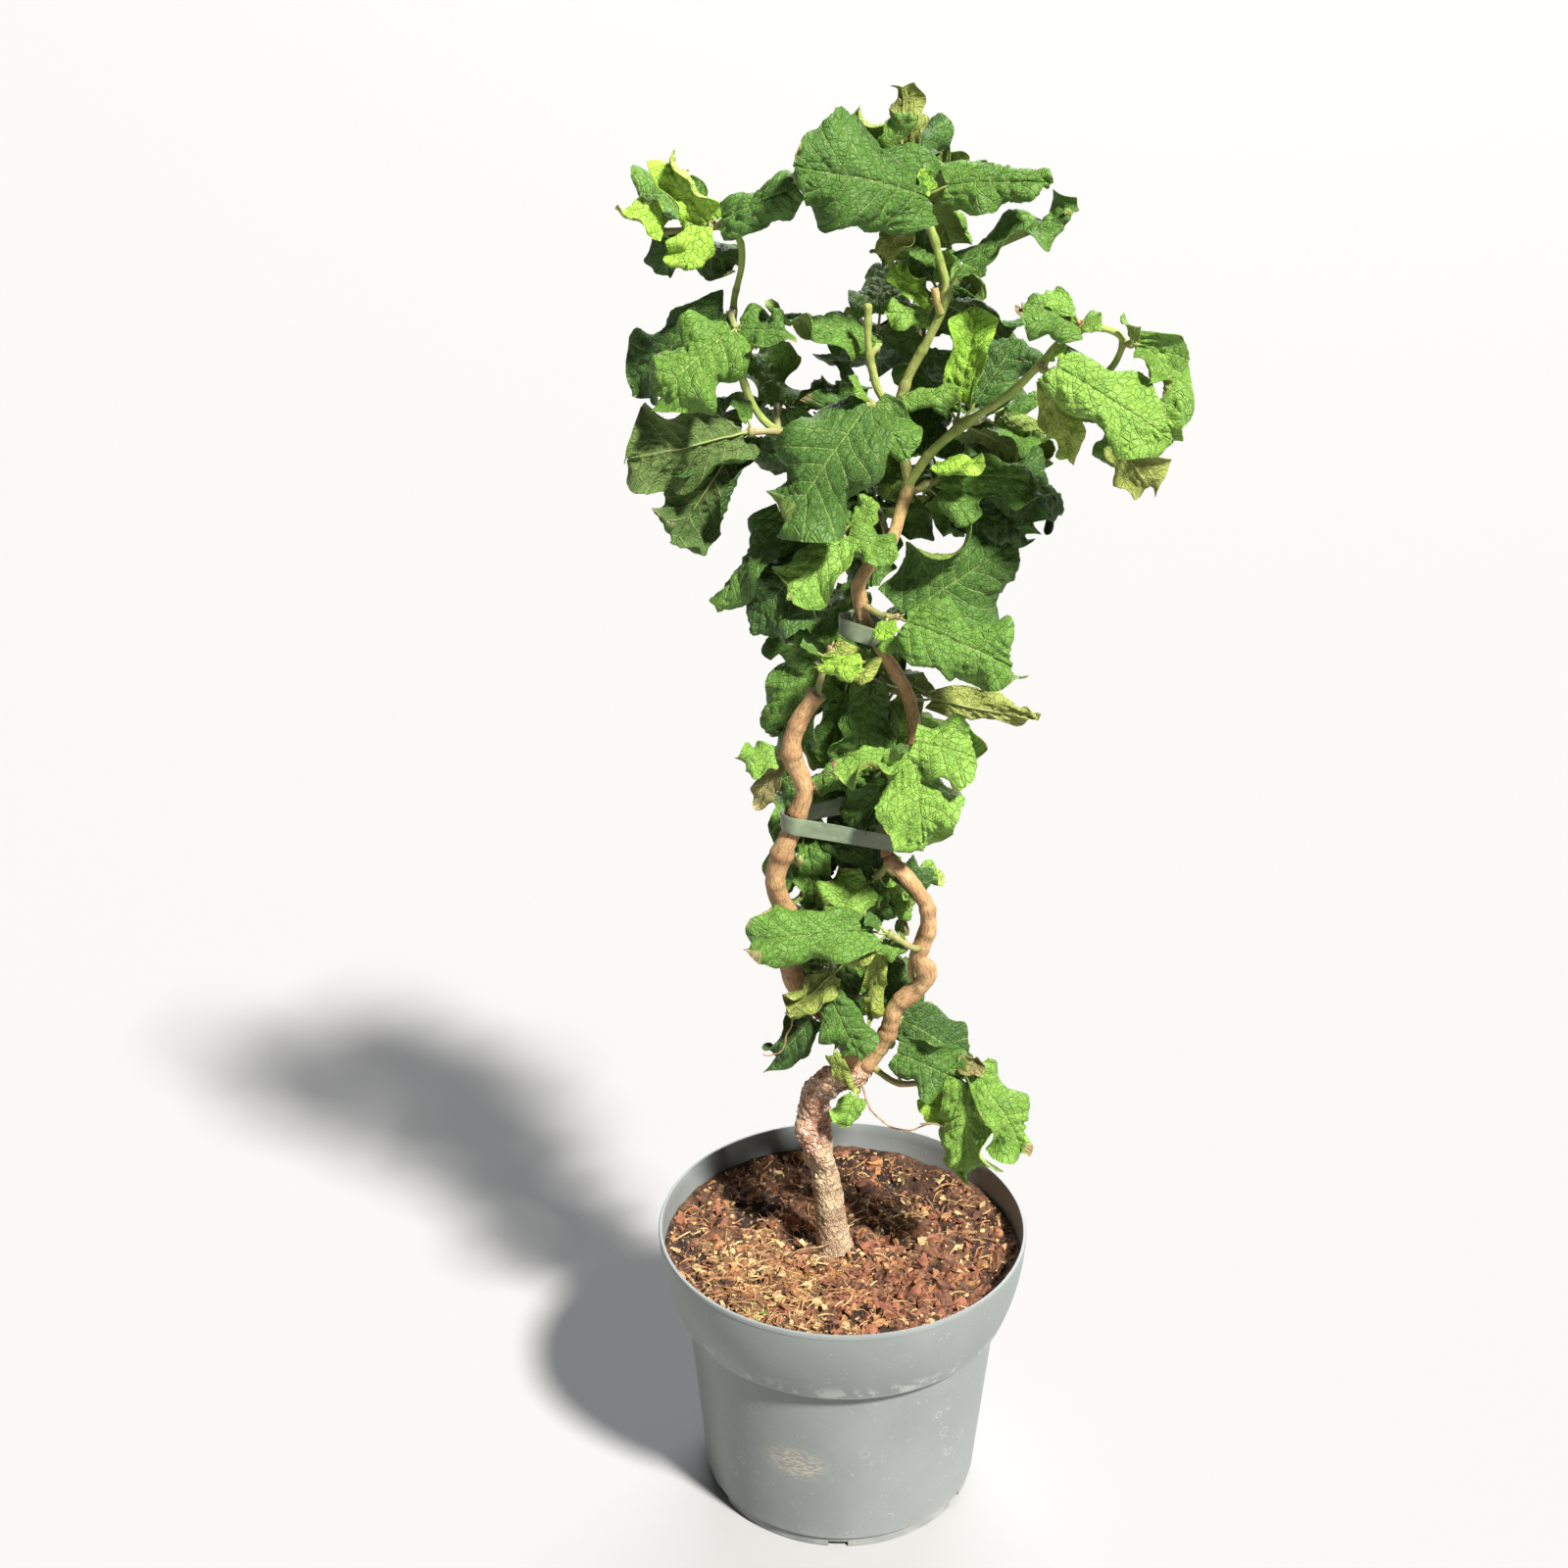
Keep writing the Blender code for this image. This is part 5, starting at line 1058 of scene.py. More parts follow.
def rings(path: Array, radii: Array, count: int) -> Pair:
    """Rings of points round a path, the last point of each on the first.

    Args:
        path: Middle line in metres.
        radii: Radius at each point, or rows of radii, one for each point of a ring.
        count: Points in a ring.

    Returns:
        The points, and the directions that they lie in from the middle line.
    """
    sides, others = frames_along(path)
    angle = np.linspace(0, TURN, count + 1)
    out = np.cos(angle)[:, None] * sides[:, None] - np.sin(angle)[:, None] * others[:, None]
    out[:, -1] = out[:, 0]
    radii = np.asarray(radii).reshape(len(path), -1, 1)
    return path[:, None] + out * radii, out


def facing(points: Array) -> Array:
    """Directions square to a sheet, towards its upper face."""
    normals = np.cross(np.gradient(points, axis=0), np.gradient(points, axis=1))
    return normals / np.maximum(np.linalg.norm(normals, axis=-1, keepdims=True), 1e-12)


def folded(points: Array, turn: Array, axis: int, middle: int) -> Array:
    """Tilts a sheet's steps towards its upper face, out from a middle line, and keeps their lengths.

    Args:
        points: Rows by columns of points.
        turn: Tilt at each point, in radians.
        axis: Axis that the steps run along.
        middle: Index of the line on that axis that stays put.

    Returns:
        The folded sheet.
    """
    normals = facing(points)
    if axis == 0:
        points, normals, turn = points.swapaxes(0, 1), normals.swapaxes(0, 1), turn.T
    made = points.copy()
    for way in (1, -1):
        at = middle
        while 0 <= at + way < points.shape[1]:
            step = points[:, at + way] - points[:, at]
            angle = ((turn[:, at] + turn[:, at + way]) / 2)[:, None]
            rise = normals[:, at] * np.linalg.norm(step, axis=1, keepdims=True)
            made[:, at + way] = made[:, at] + step * np.cos(angle) + rise * np.sin(angle)
            at += way
    return made.swapaxes(0, 1) if axis == 0 else made


def pinch(places: Array) -> Array:
    """Adds a point at each end of a tube, which closes it once doubles are merged.

    Args:
        places: The rings of a tube's points.

    Returns:
        The rings with one more at each end.
    """
    first = np.broadcast_to(places[0].mean(0), places[:1].shape)
    last = np.broadcast_to(places[-1].mean(0), places[-1:].shape)
    return np.concatenate([first, places, last])


def tube(name: str, path: Array, radii: Array, count: int) -> Piece:
    """A plain closed tube, with the noted direction and run that its finish reads.

    Args:
        name: Name of the piece.
        path: Middle line in metres.
        radii: Radius at each point.
        count: Sides.

    Returns:
        The tube, open only until its doubles are merged.
    """
    places, out = rings(path, radii, count)
    run = np.broadcast_to(run_along(path)[:, None, None], (*out.shape[:2], 1)) * 100
    turn = np.broadcast_to(np.linspace(0, TURN, count + 1)[None, :, None], (*out.shape[:2], 1))
    thick = np.asarray(radii).reshape(len(path), -1, 1) * 100
    lay = np.concatenate([np.cos(turn) * thick, np.sin(turn) * thick, run], axis=-1)
    thing = sheet_of(name, pinch(places))
    note(thing, "lay", np.concatenate([lay[:1], lay, lay[-1:]]))
    return thing


def join(name: str, pieces: list[Piece]) -> Piece:
    """Joins pieces into one object.

    Args:
        name: Name of the whole.
        pieces: The pieces.

    Returns:
        The whole.
    """
    take(pieces[0])
    for piece in pieces[1:]:
        piece.select_set(True)
    if len(pieces) > 1:
        bpy.ops.object.join()
    return named(name)


def weld(thing: Piece, reach: float = 1e-6) -> None:
    """Merges doubled points and turns all faces outwards.

    Args:
        thing: The piece.
        reach: Distance under which points are doubles.
    """
    take(thing)
    bpy.ops.object.mode_set(mode="EDIT")
    bpy.ops.mesh.select_all(action="SELECT")
    bpy.ops.mesh.remove_doubles(threshold=reach)
    bpy.ops.mesh.normals_make_consistent(inside=False)
    bpy.ops.object.mode_set(mode="OBJECT")


def applied(thing: Piece, kind: str, **settings: object) -> None:
    """Adds a modifier and makes it part of the mesh.

    Args:
        thing: The piece.
        kind: The modifier's type.
        settings: Its settings.
    """
    take(thing)
    modifier = thing.modifiers.new(kind.title(), kind)
    for name, value in settings.items():
        setattr(modifier, name, value)
    bpy.ops.object.modifier_apply(modifier=modifier.name)


def painted(thing: Piece, *finishes: Material) -> Piece:
    """Gives a piece its finishes.

    Args:
        thing: The piece.
        finishes: The finishes, in the order of its slots.

    Returns:
        The piece.
    """
    for finish in finishes:
        thing.data.materials.append(finish)
    return thing


def smooth(thing: Piece, angle: float) -> None:
    """Shades smooth, and leaves edges past the angle crisp."""
    take(thing)
    bpy.ops.object.shade_smooth_by_angle(angle=math.radians(angle))


def finished(thing: Piece, slot: str, *nodes: str) -> Piece:
    """Hands a piece over: it rides on the body and stands for its nodes.

    Args:
        thing: The piece.
        slot: The slot's name; not used.
        nodes: The nodes that it stands for.

    Returns:
        The piece.
    """
    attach(thing, BODY)
    if nodes:
        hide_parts(*nodes)
    LOG.info("%s: %d triangles, for %s", thing.name,
             sum(len(face.vertices) - 2 for face in thing.data.polygons), ", ".join(nodes) or "itself")
    return thing


class Recipe:
    """A material whose nodes are put together one by one."""

    def __init__(self, name: str, roughness: float, specular: float = 0.5) -> None:
        """Starts the material.

        Args:
            name: Name of the finish.
            roughness: Roughness where no pattern drives it.
            specular: How strongly it shines.
        """
        self.material = bpy.data.materials.new(name)
        self.material.use_nodes = True
        self.tree = self.material.node_tree
        self.shader = self.tree.nodes["Principled BSDF"]
        self.shader.inputs["Roughness"].default_value = roughness
        self.shader.inputs["Specular IOR Level"].default_value = specular

    def node(self, kind: str, sockets: dict[str | int, object], output: str | int = 0,
             **settings: object) -> "Signal":
        """Adds a node.

        Args:
            kind: The node's type.
            sockets: Its inputs, of which a signal is linked and anything else is set.
            output: The output that is wanted.
            settings: Its other settings.

        Returns:
            That output's signal.
        """
        made = self.tree.nodes.new(f"ShaderNode{kind}")
        for name, value in settings.items():
            setattr(made, name, value)
        for name, value in sockets.items():
            if isinstance(value, Signal):
                self.tree.links.new(value.socket, made.inputs[name])
            else:
                made.inputs[name].default_value = value
        return Signal(self, made.outputs[output])

    def place(self, scale: Triple = (1, 1, 1)) -> "Signal":
        """The point's place on the object, scaled."""
        return self.node("Mapping", {"Vector": self.node("TexCoord", {}, "Object"), "Scale": scale})

    def noted(self, name: str, scale: Triple = (1, 1, 1)) -> "Signal":
        """Three numbers that the piece stores at each point, scaled."""
        return self.node("Attribute", {}, "Vector", attribute_name=name).vector("MULTIPLY", scale)

    def noise(self, where: "Signal", scale: float, detail: float = 3.0, rough: float = 0.55) -> "Signal":
        """Cloudy noise from 0 to 1."""
        sockets = {"Vector": where, "Scale": scale, "Detail": detail, "Roughness": rough}
        return self.node("TexNoise", sockets, "Fac")

    def cells(self, where: "Signal", scale: float, feature: str = "DISTANCE_TO_EDGE") -> "Signal":
        """A pattern of cells."""
        return self.node("TexVoronoi", {"Vector": where, "Scale": scale}, "Distance", feature=feature)

    def blend(self, share: "Signal", under: object, over: object) -> "Signal":
        """One colour laid over another by a share.

        Args:
            share: Share of the upper colour.
            under: The lower colour.
            over: The upper colour.

        Returns:
            The blended colour.
        """
        sockets = {0: share}
        for index, colour in ((6, under), (7, over)):
            sockets[index] = (*colour, 1.0) if isinstance(colour, tuple) else colour
        return self.node("Mix", sockets, 2, data_type="RGBA")

    def done(self, colour: "Signal", gloss: "Signal | None", height: "Signal", bump: float,
             deep: float) -> Material:
        """Links the patterns to the shader.

        Args:
            colour: The base colour.
            gloss: The roughness, if a pattern drives it.
            height: The relief.
            bump: Strength of the relief.
            deep: Height of the relief in metres.

        Returns:
            The finished material.
        """
        relief = self.node("Bump", {"Height": height, "Strength": bump, "Distance": deep})
        for name, signal in (("Base Color", colour), ("Roughness", gloss), ("Normal", relief)):
            if signal is not None:
                self.tree.links.new(signal.socket, self.shader.inputs[name])
        return self.material


@dataclass(frozen=True)
class Signal:
    """What an output of a material's node gives, so that patterns combine as numbers do."""

    recipe: Recipe
    socket: bpy.types.NodeSocket

    def math(self, operation: str, other: object = 0.0) -> "Signal":
        """One sum, with a number or another signal."""
        return self.recipe.node("Math", {0: self, 1: other}, operation=operation)

    def __add__(self, other: object) -> "Signal":
        """The sum."""
        return self.math("ADD", other)

    def __sub__(self, other: object) -> "Signal":
        """The difference."""
        return self.math("SUBTRACT", other)

    def __mul__(self, other: object) -> "Signal":
        """The product."""
        return self.math("MULTIPLY", other)

    def vector(self, operation: str, other: Triple = (0, 0, 0), output: str | int = 0) -> "Signal":
        """One sum of vectors."""
        return self.recipe.node("VectorMath", {0: self, 1: other}, output, operation=operation)

    def parts(self) -> list["Signal"]:
        """The three numbers of a vector."""
        return [self.recipe.node("SeparateXYZ", {0: self}, axis) for axis in range(3)]

    def span(self, low: float, high: float, to_low: float = 0.0, to_high: float = 1.0) -> "Signal":
        """A smooth step from one range to another."""
        sockets = {0: self, 1: low, 2: high, 3: to_low, 4: to_high}
        return self.recipe.node("MapRange", sockets, interpolation_type="SMOOTHSTEP")


@dataclass(frozen=True)
class PotPlastic:
    """Grey moulded plastic: satin, dusty, scratched, with a few ring marks and a beige scuff."""

    grey: Colour = (0.185, 0.203, 0.198)
    pale: Colour = (0.222, 0.243, 0.236)
    dust: Colour = (0.36, 0.35, 0.31)
    chalk: Colour = (0.44, 0.45, 0.43)
    scuff: Colour = (0.44, 0.38, 0.29)
    scuff_place: Triple = (-0.031, -0.10, 0.077)
    scuff_size: Triple = (38.0, 20.0, 60.0)

    def material(self) -> Material:
        """Builds the finish.

        Returns:
            The material.
        """
        r = Recipe("moulded_grey_plastic", 0.42)
        where = r.place()
        up = where.parts()[2]
        clouds = r.noise(where, 14.0, 4.0)
        colour = r.blend(clouds.span(0.35, 0.7), self.grey, self.pale)
        colour = r.blend(clouds.span(0.3, 0.8) * 0.25, colour, self.grey)
        streaks = r.noise(r.place((9.0, 9.0, 160.0)), 6.0, 3.0)
        colour = r.blend(streaks.span(0.62, 0.69) * 0.40, colour, self.pale)
        spots = r.cells(where, 70.0, "F1")
        few = r.noise(where, 22.0, 1.0).span(0.60, 0.66)
        ring = spots.span(0.20, 0.24) * spots.span(0.30, 0.25) * few * up.span(0.14, 0.12)
        colour = r.blend(ring * 0.6, colour, self.dust)
        colour = r.blend(r.noise(where, 330.0, 1.0).span(0.70, 0.74) * 0.5, colour, self.dust)
        at_foot = up.span(0.022, 0.0) * r.noise(where, 45.0).span(0.35, 0.65) * 0.5
        under_band = up.span(0.140, 0.1475) * up.span(0.1485, 0.1470) * 0.5
        grime = at_foot.math("MAXIMUM", under_band)
        colour = r.blend(grime, colour, self.dust)
        worn = up.span(0.1466, 0.149) * up.span(0.163, 0.151)
        worn = worn * r.noise(where, 60.0, 4.0, 0.65).span(0.50, 0.58)
        colour = r.blend(worn * 0.6, colour, self.chalk)
        off = where.vector("SUBTRACT", self.scuff_place).vector("MULTIPLY", self.scuff_size)
        patch = off.vector("LENGTH", output="Value").span(1.1, 0.4)
        patch = patch * r.noise(r.place((70, 70, 260)), 3.0).span(0.45, 0.6)
        colour = r.blend(patch * 0.85, colour, self.scuff)
        gloss = clouds.span(0.2, 0.8, 0.34, 0.52) + grime * 0.3
        return r.done(colour, gloss, streaks * 0.5 + r.noise(where, 900.0, 2.0), bump=0.12, deep=0.0004)


@dataclass(frozen=True)
class Earth:
    """Moist bark compost: reddish crumbs, random dark patches, pale flecks, and painted shade in the
    hollows and towards the back.
    """

    light: Colour = (0.17, 0.088, 0.046)
    red: Colour = (0.085, 0.038, 0.021)
    # Colour of the random dark patches, and also of the painted shade in the hollows and towards the back
    dark: Colour = (0.020, 0.011, 0.008)
    fleck: Colour = (0.42, 0.31, 0.17)

    def material(self) -> Material:
        """Builds the finish.

        Returns:
            The material.
        """
        r = Recipe("compost_earth", 0.85, 0.25)
        where = r.place()
        grain = r.noise(where, 260.0, 4.0, 0.65)
        colour = r.blend(grain.span(0.35, 0.65), self.red, self.light)
        colour = r.blend(r.noise(where, 45.0, 3.0).span(0.58, 0.36), colour, self.dark)
        # Painted shade: darker in the crust's hollows and towards the back of the pot, as the crust's look
        # attribute stores it
        painted_hollow_shade = r.noted("look").parts()[0]
        colour = r.blend(painted_hollow_shade.span(0.0, 1.0, 0.0, 0.75), colour, self.dark)
        colour = r.blend(r.noise(where, 420.0, 2.0).span(0.63, 0.68) * 0.30, colour, self.fleck)
        return r.done(colour, None, grain + r.cells(where, 380.0, "F1") * -0.8, bump=0.6, deep=0.0015)


@dataclass(frozen=True)
class Fibre:
    """Dry fibre or chip of one colour, mottled along its length."""

    name: str
    light: Colour
    dark: Colour
    scale: float = 160.0

    def material(self) -> Material:
        """Builds the finish.

        Returns:
            The material.
        """
        r = Recipe(self.name, 0.8, 0.25)
        where = r.place()
        colour = r.blend(r.noise(where, self.scale, 3.0, 0.6).span(0.35, 0.68), self.dark, self.light)
        colour = r.blend(r.noise(where, 40.0, 2.0).span(0.5, 0.75, 0.0, 0.5), colour, self.dark)
        return r.done(colour, None, r.noise(where, 700.0, 3.0), bump=0.5, deep=0.0006)


@dataclass(frozen=True)
class BarkSkin:
    """Bark that runs with the limb: fine furrows, dots, scales on old wood and green on young."""

    bark: Bark
    light: Colour
    base: Colour
    dark: Colour
    green: Colour = (0.26, 0.37, 0.07)
    fresh: Colour = (0.41, 0.49, 0.13)
    dots: Colour = (0.46, 0.37, 0.22)
    ring: Colour = (0.16, 0.095, 0.06)
    red: Colour = (0.43, 0.205, 0.125)
    pink: Colour = (0.68, 0.49, 0.37)
    crack: Colour = (0.08, 0.04, 0.028)
    speck: Colour = (0.55, 0.43, 0.29)

    def material(self) -> Material:
        """Builds the finish.

        Returns:
            The material.
        """
        r = Recipe(self.bark.value, 0.7, 0.35)
        where = r.place()
        age, knuckle, _ = r.noted("look").parts()
        furrows = r.noise(r.noted("lay", (2.2, 2.2, 0.45)), 4.0, 4.0, 0.6)
        clouds = r.noise(where, 60.0, 3.0)
        fine = r.noise(where, 520.0, 3.0, 0.65)
        colour = r.blend(clouds.span(0.3, 0.7), self.base, self.light)
        colour = r.blend(furrows.span(0.56, 0.34, 0.0, 0.62), colour, self.dark)
        young = r.blend(clouds.span(0.35, 0.75), self.green, self.fresh)
        colour = r.blend(age * furrows.span(0.2, 0.5, 0.7, 1.0), colour, young)
        dots = r.cells(r.noted("lay", (1.0, 1.0, 0.8)), 7.0, "F1").span(0.16, 0.10)
        dots = dots * r.noise(r.noted("lay"), 3.0, 1.0).span(0.45, 0.55)
        colour = r.blend(dots * 0.6, colour, self.dots)
        colour = r.blend(knuckle * 0.4, colour, self.dark)
        height = furrows * 1.2 + fine * 0.5 + dots * 0.8
        if self.bark is Bark.OLD:
            colour, height = self.weathered(r, where, colour, height)
        return r.done(colour, fine.span(0.2, 0.8, 0.5, 0.8), height, bump=0.75, deep=0.0012)

    def weathered(self, r: Recipe, where: Signal, colour: Signal, height: Signal) -> tuple[Signal, Signal]:
        """Adds old wood's dark rings, its red scaly bend with cracks, and pale specks.

        Args:
            r: The recipe.
            where: Places on the wood.
            colour: The colour so far.
            height: The relief so far.

        Returns:
            The colour and the relief.
        """
        rings = r.noise(r.noted("lay", (0.5, 0.5, 2.4)), 1.7, 3.0)
        colour = r.blend(rings.span(0.50, 0.66, 0.0, 0.6), colour, self.ring)
        scaly = r.noise(where, 34.0, 3.0).span(0.36, 0.50) * where.parts()[2].span(0.256, 0.280)
        colour = r.blend(scaly * 0.85, colour, self.red)
        pink = r.noise(where, 120.0, 4.0, 0.6).span(0.52, 0.58) * scaly
        colour = r.blend(pink * 0.85, colour, self.pink)
        plates = r.cells(r.noted("lay", (1.0, 1.0, 0.6)), 5.0)
        colour = r.blend(plates.span(0.10, 0.0) * scaly * 0.7, colour, self.crack)
        colour = r.blend(r.noise(where, 230.0, 4.0, 0.7).span(0.56, 0.66) * 0.5, colour, self.speck)
        return colour, height + plates.span(0.0, 0.2) * 0.9 + pink * 0.7


@dataclass(frozen=True)
class StrapFinish:
    """Soft grey-green strap, smooth and a little glossy, with faint lengthwise ribs."""

    base: Colour = (0.115, 0.150, 0.092)
    worn: Colour = (0.19, 0.235, 0.145)
    dust: Colour = (0.36, 0.38, 0.27)

    def material(self) -> Material:
        """Builds the finish.

        Returns:
            The material.
        """
        r = Recipe("soft_strap", 0.38)
        where = r.place()
        clouds = r.noise(where, 55.0, 4.0)
        colour = r.blend(clouds.span(0.4, 0.75), self.base, self.worn)
        colour = r.blend(r.noise(where, 380.0, 2.0).span(0.64, 0.72, 0.0, 0.35), colour, self.dust)
        ribs = r.noise(r.place((4.0, 4.0, 260.0)), 4.0, 2.0)
        return r.done(colour, clouds.span(0.2, 0.8, 0.30, 0.5), ribs, bump=0.15, deep=0.0005)


@dataclass(frozen=True)
class LeafSkin:
    """One face of a leaf: its veins, the small net between them, mottling and dry edges."""

    tint: Tint
    side: Side
    base: Colour
    light: Colour
    vein: Colour
    dry: Colour = (0.33, 0.29, 0.12)
    crisp: Colour = (0.17, 0.09, 0.045)

    def material(self) -> Material:
        """Builds the finish, whose veins are sunk on the upper face and stand out on the lower.

        Returns:
            The material.
        """
        upper = self.side is Side.UPPER
        specular, rough, smooth_share, sign = (0.45, 0.64, 0.48, -1.0) if upper else (0.28, 0.74, 0.60, 1.0)
        net_shows, veins_show = (0.14, 0.66) if upper else (0.35, 0.70)
        r = Recipe(f"leaf_{self.tint.value}_{self.side.value}", 0.5, specular)
        lay = r.noted("lay")
        row, shade, wear = r.noted("look").parts()
        along, over, _ = r.node("UVMap", {}, uv_map="UVMap").parts()
        out = (over * 2.0 - 1.0).math("ABSOLUTE")
        away = (row.math("FRACT") - 0.5).math("ABSOLUTE") * 2.0
        lateral = away.span(0.86, 0.97) * out.span(1.1, 0.5, 0.35, 1.0)
        veins = lateral.math("MAXIMUM", out.span(0.045, 0.012))
        net, small = r.cells(lay, 2.4).span(0.07, 0.0), r.cells(lay, 6.0).span(0.10, 0.0)
        clouds, fine = r.noise(lay, 0.7, 3.0), r.noise(lay, 9.0, 3.0, 0.6)
        colour = r.blend((clouds + shade * 0.35).span(0.30, 0.80), self.base, self.light)
        colour = r.blend(fine.span(0.35, 0.65, 0.0, 0.25), colour, self.light)
        drift = r.noise(lay, 1.3, 3.0) * 3.0
        ladder = (lay.parts()[1] * 28.0 + drift * 6.28).math("SINE") * away.span(1.0, 0.6)
        # Painted shade: the colour darkens in the troughs of the fine cross wrinkles that the bump also
        # draws
        colour = r.blend(ladder.span(0.2, -0.9, 0.0, 0.22), colour, self.base)
        colour = r.blend(net * net_shows, colour, self.vein)
        colour = r.blend(veins * veins_show, colour, self.vein)
        patchy = (r.noise(lay, 0.5, 2.0) - 0.5) * 1.6
        edge = out + patchy + r.noise(lay, 2.4, 3.0) * 0.4 + along.span(0.75, 1.0) * 0.3 + wear * 0.32
        colour = r.blend(edge.span(1.52, 1.66) * 0.85, colour, self.dry)
        colour = r.blend(edge.span(1.66, 1.80, 0.0, 0.8), colour, self.crisp)
        height = veins * (0.7 * sign) + ladder * 0.11 + net * (0.9 * sign) + small * (0.25 * sign)
        roughness = fine.span(0.25, 0.75, smooth_share, rough)
        return r.done(colour, roughness, height + fine * 0.3, bump=0.8, deep=0.0014)


@dataclass(frozen=True)
class TwigSkin:
    """The skin of stalks, young twigs and buds."""

    name: str
    base: Colour
    blush: Colour

    def material(self) -> Material:
        """Builds the finish.

        Returns:
            The material.
        """
        r = Recipe(self.name, 0.55)
        where = r.place()
        colour = r.blend(r.noise(where, 120.0, 3.0).span(0.4, 0.7), self.base, self.blush)
        return r.done(colour, None, r.noise(where, 900.0, 2.0), bump=0.3, deep=0.0004)


# Each tint's base and light colours, of the upper face and then of the lower one. They are partly painted
# light: the bright FRESH and LIGHT greens stand in for the glow of leaves lit through, and DEEP, whose
# lower face is darkened most, is painted shade
LEAF_COLOURS: dict[Tint, tuple[Colour, Colour, Colour, Colour]] = {
    FRESH: ((0.18, 0.36, 0.024), (0.33, 0.56, 0.055), (0.29, 0.42, 0.06), (0.42, 0.53, 0.12)),
    LIGHT: ((0.086, 0.195, 0.018), (0.205, 0.385, 0.050), (0.20, 0.29, 0.045), (0.32, 0.40, 0.10)),
    MID: ((0.042, 0.112, 0.010), (0.110, 0.240, 0.028), (0.13, 0.20, 0.034), (0.22, 0.30, 0.07)),
    DEEP: ((0.024, 0.073, 0.007), (0.070, 0.172, 0.018), (0.048, 0.098, 0.018), (0.095, 0.155, 0.036)),
    OLIVE: ((0.15, 0.20, 0.025), (0.26, 0.32, 0.05), (0.22, 0.27, 0.05), (0.33, 0.37, 0.10)),
    DRY: ((0.22, 0.20, 0.065), (0.32, 0.28, 0.10), (0.27, 0.23, 0.09), (0.38, 0.32, 0.14)),
}
VEIN_GREEN, PALE_VEIN = (0.34, 0.42, 0.14), (0.36, 0.42, 0.17)


def mixed(first: Colour, second: Colour, share: float) -> Colour:
    """Two colours mixed, with that share of the second."""
    return tuple((1 - share) * a + share * b for a, b in zip(first, second))


class Finishes:
    """Every finish of the plant, each made once."""

    def __init__(self) -> None:
        """Makes the finishes."""
        self.leaves: dict[Tint, tuple[Material, Material]] = {}
        for tint, (base, light, under, under_light) in LEAF_COLOURS.items():
            upper = LeafSkin(tint, Side.UPPER, base, light, mixed(light, VEIN_GREEN, 0.4))
            lower = LeafSkin(tint, Side.UNDER, under, under_light, mixed(under_light, PALE_VEIN, 0.5))
            self.leaves[tint] = (upper.material(), lower.material())
        barks = (
            BarkSkin(Bark.OLD, (0.60, 0.46, 0.29), (0.44, 0.30, 0.18), (0.095, 0.056, 0.036)),
            BarkSkin(Bark.TAN, (0.50, 0.33, 0.155), (0.41, 0.225, 0.10), (0.16, 0.08, 0.036)),
            BarkSkin(Bark.GREEN, (0.36, 0.28, 0.11), (0.27, 0.21, 0.08), (0.13, 0.11, 0.04)),
        )
        self.bark = {skin.bark: skin.material() for skin in barks}
        self.wood = Fibre("cut_wood", (0.44, 0.34, 0.20), (0.30, 0.20, 0.10), 300.0).material()
        self.stalk = TwigSkin("leaf_stalk", (0.20, 0.27, 0.06), (0.34, 0.36, 0.13)).material()
        self.twig = TwigSkin("young_twig", (0.23, 0.26, 0.075), (0.31, 0.21, 0.10)).material()
        self.bud = TwigSkin("bud_scale", (0.28, 0.32, 0.10), (0.33, 0.17, 0.085)).material()
        self.thread = Fibre("dry_thread", (0.40, 0.28, 0.15), (0.22, 0.13, 0.06), 220.0).material()


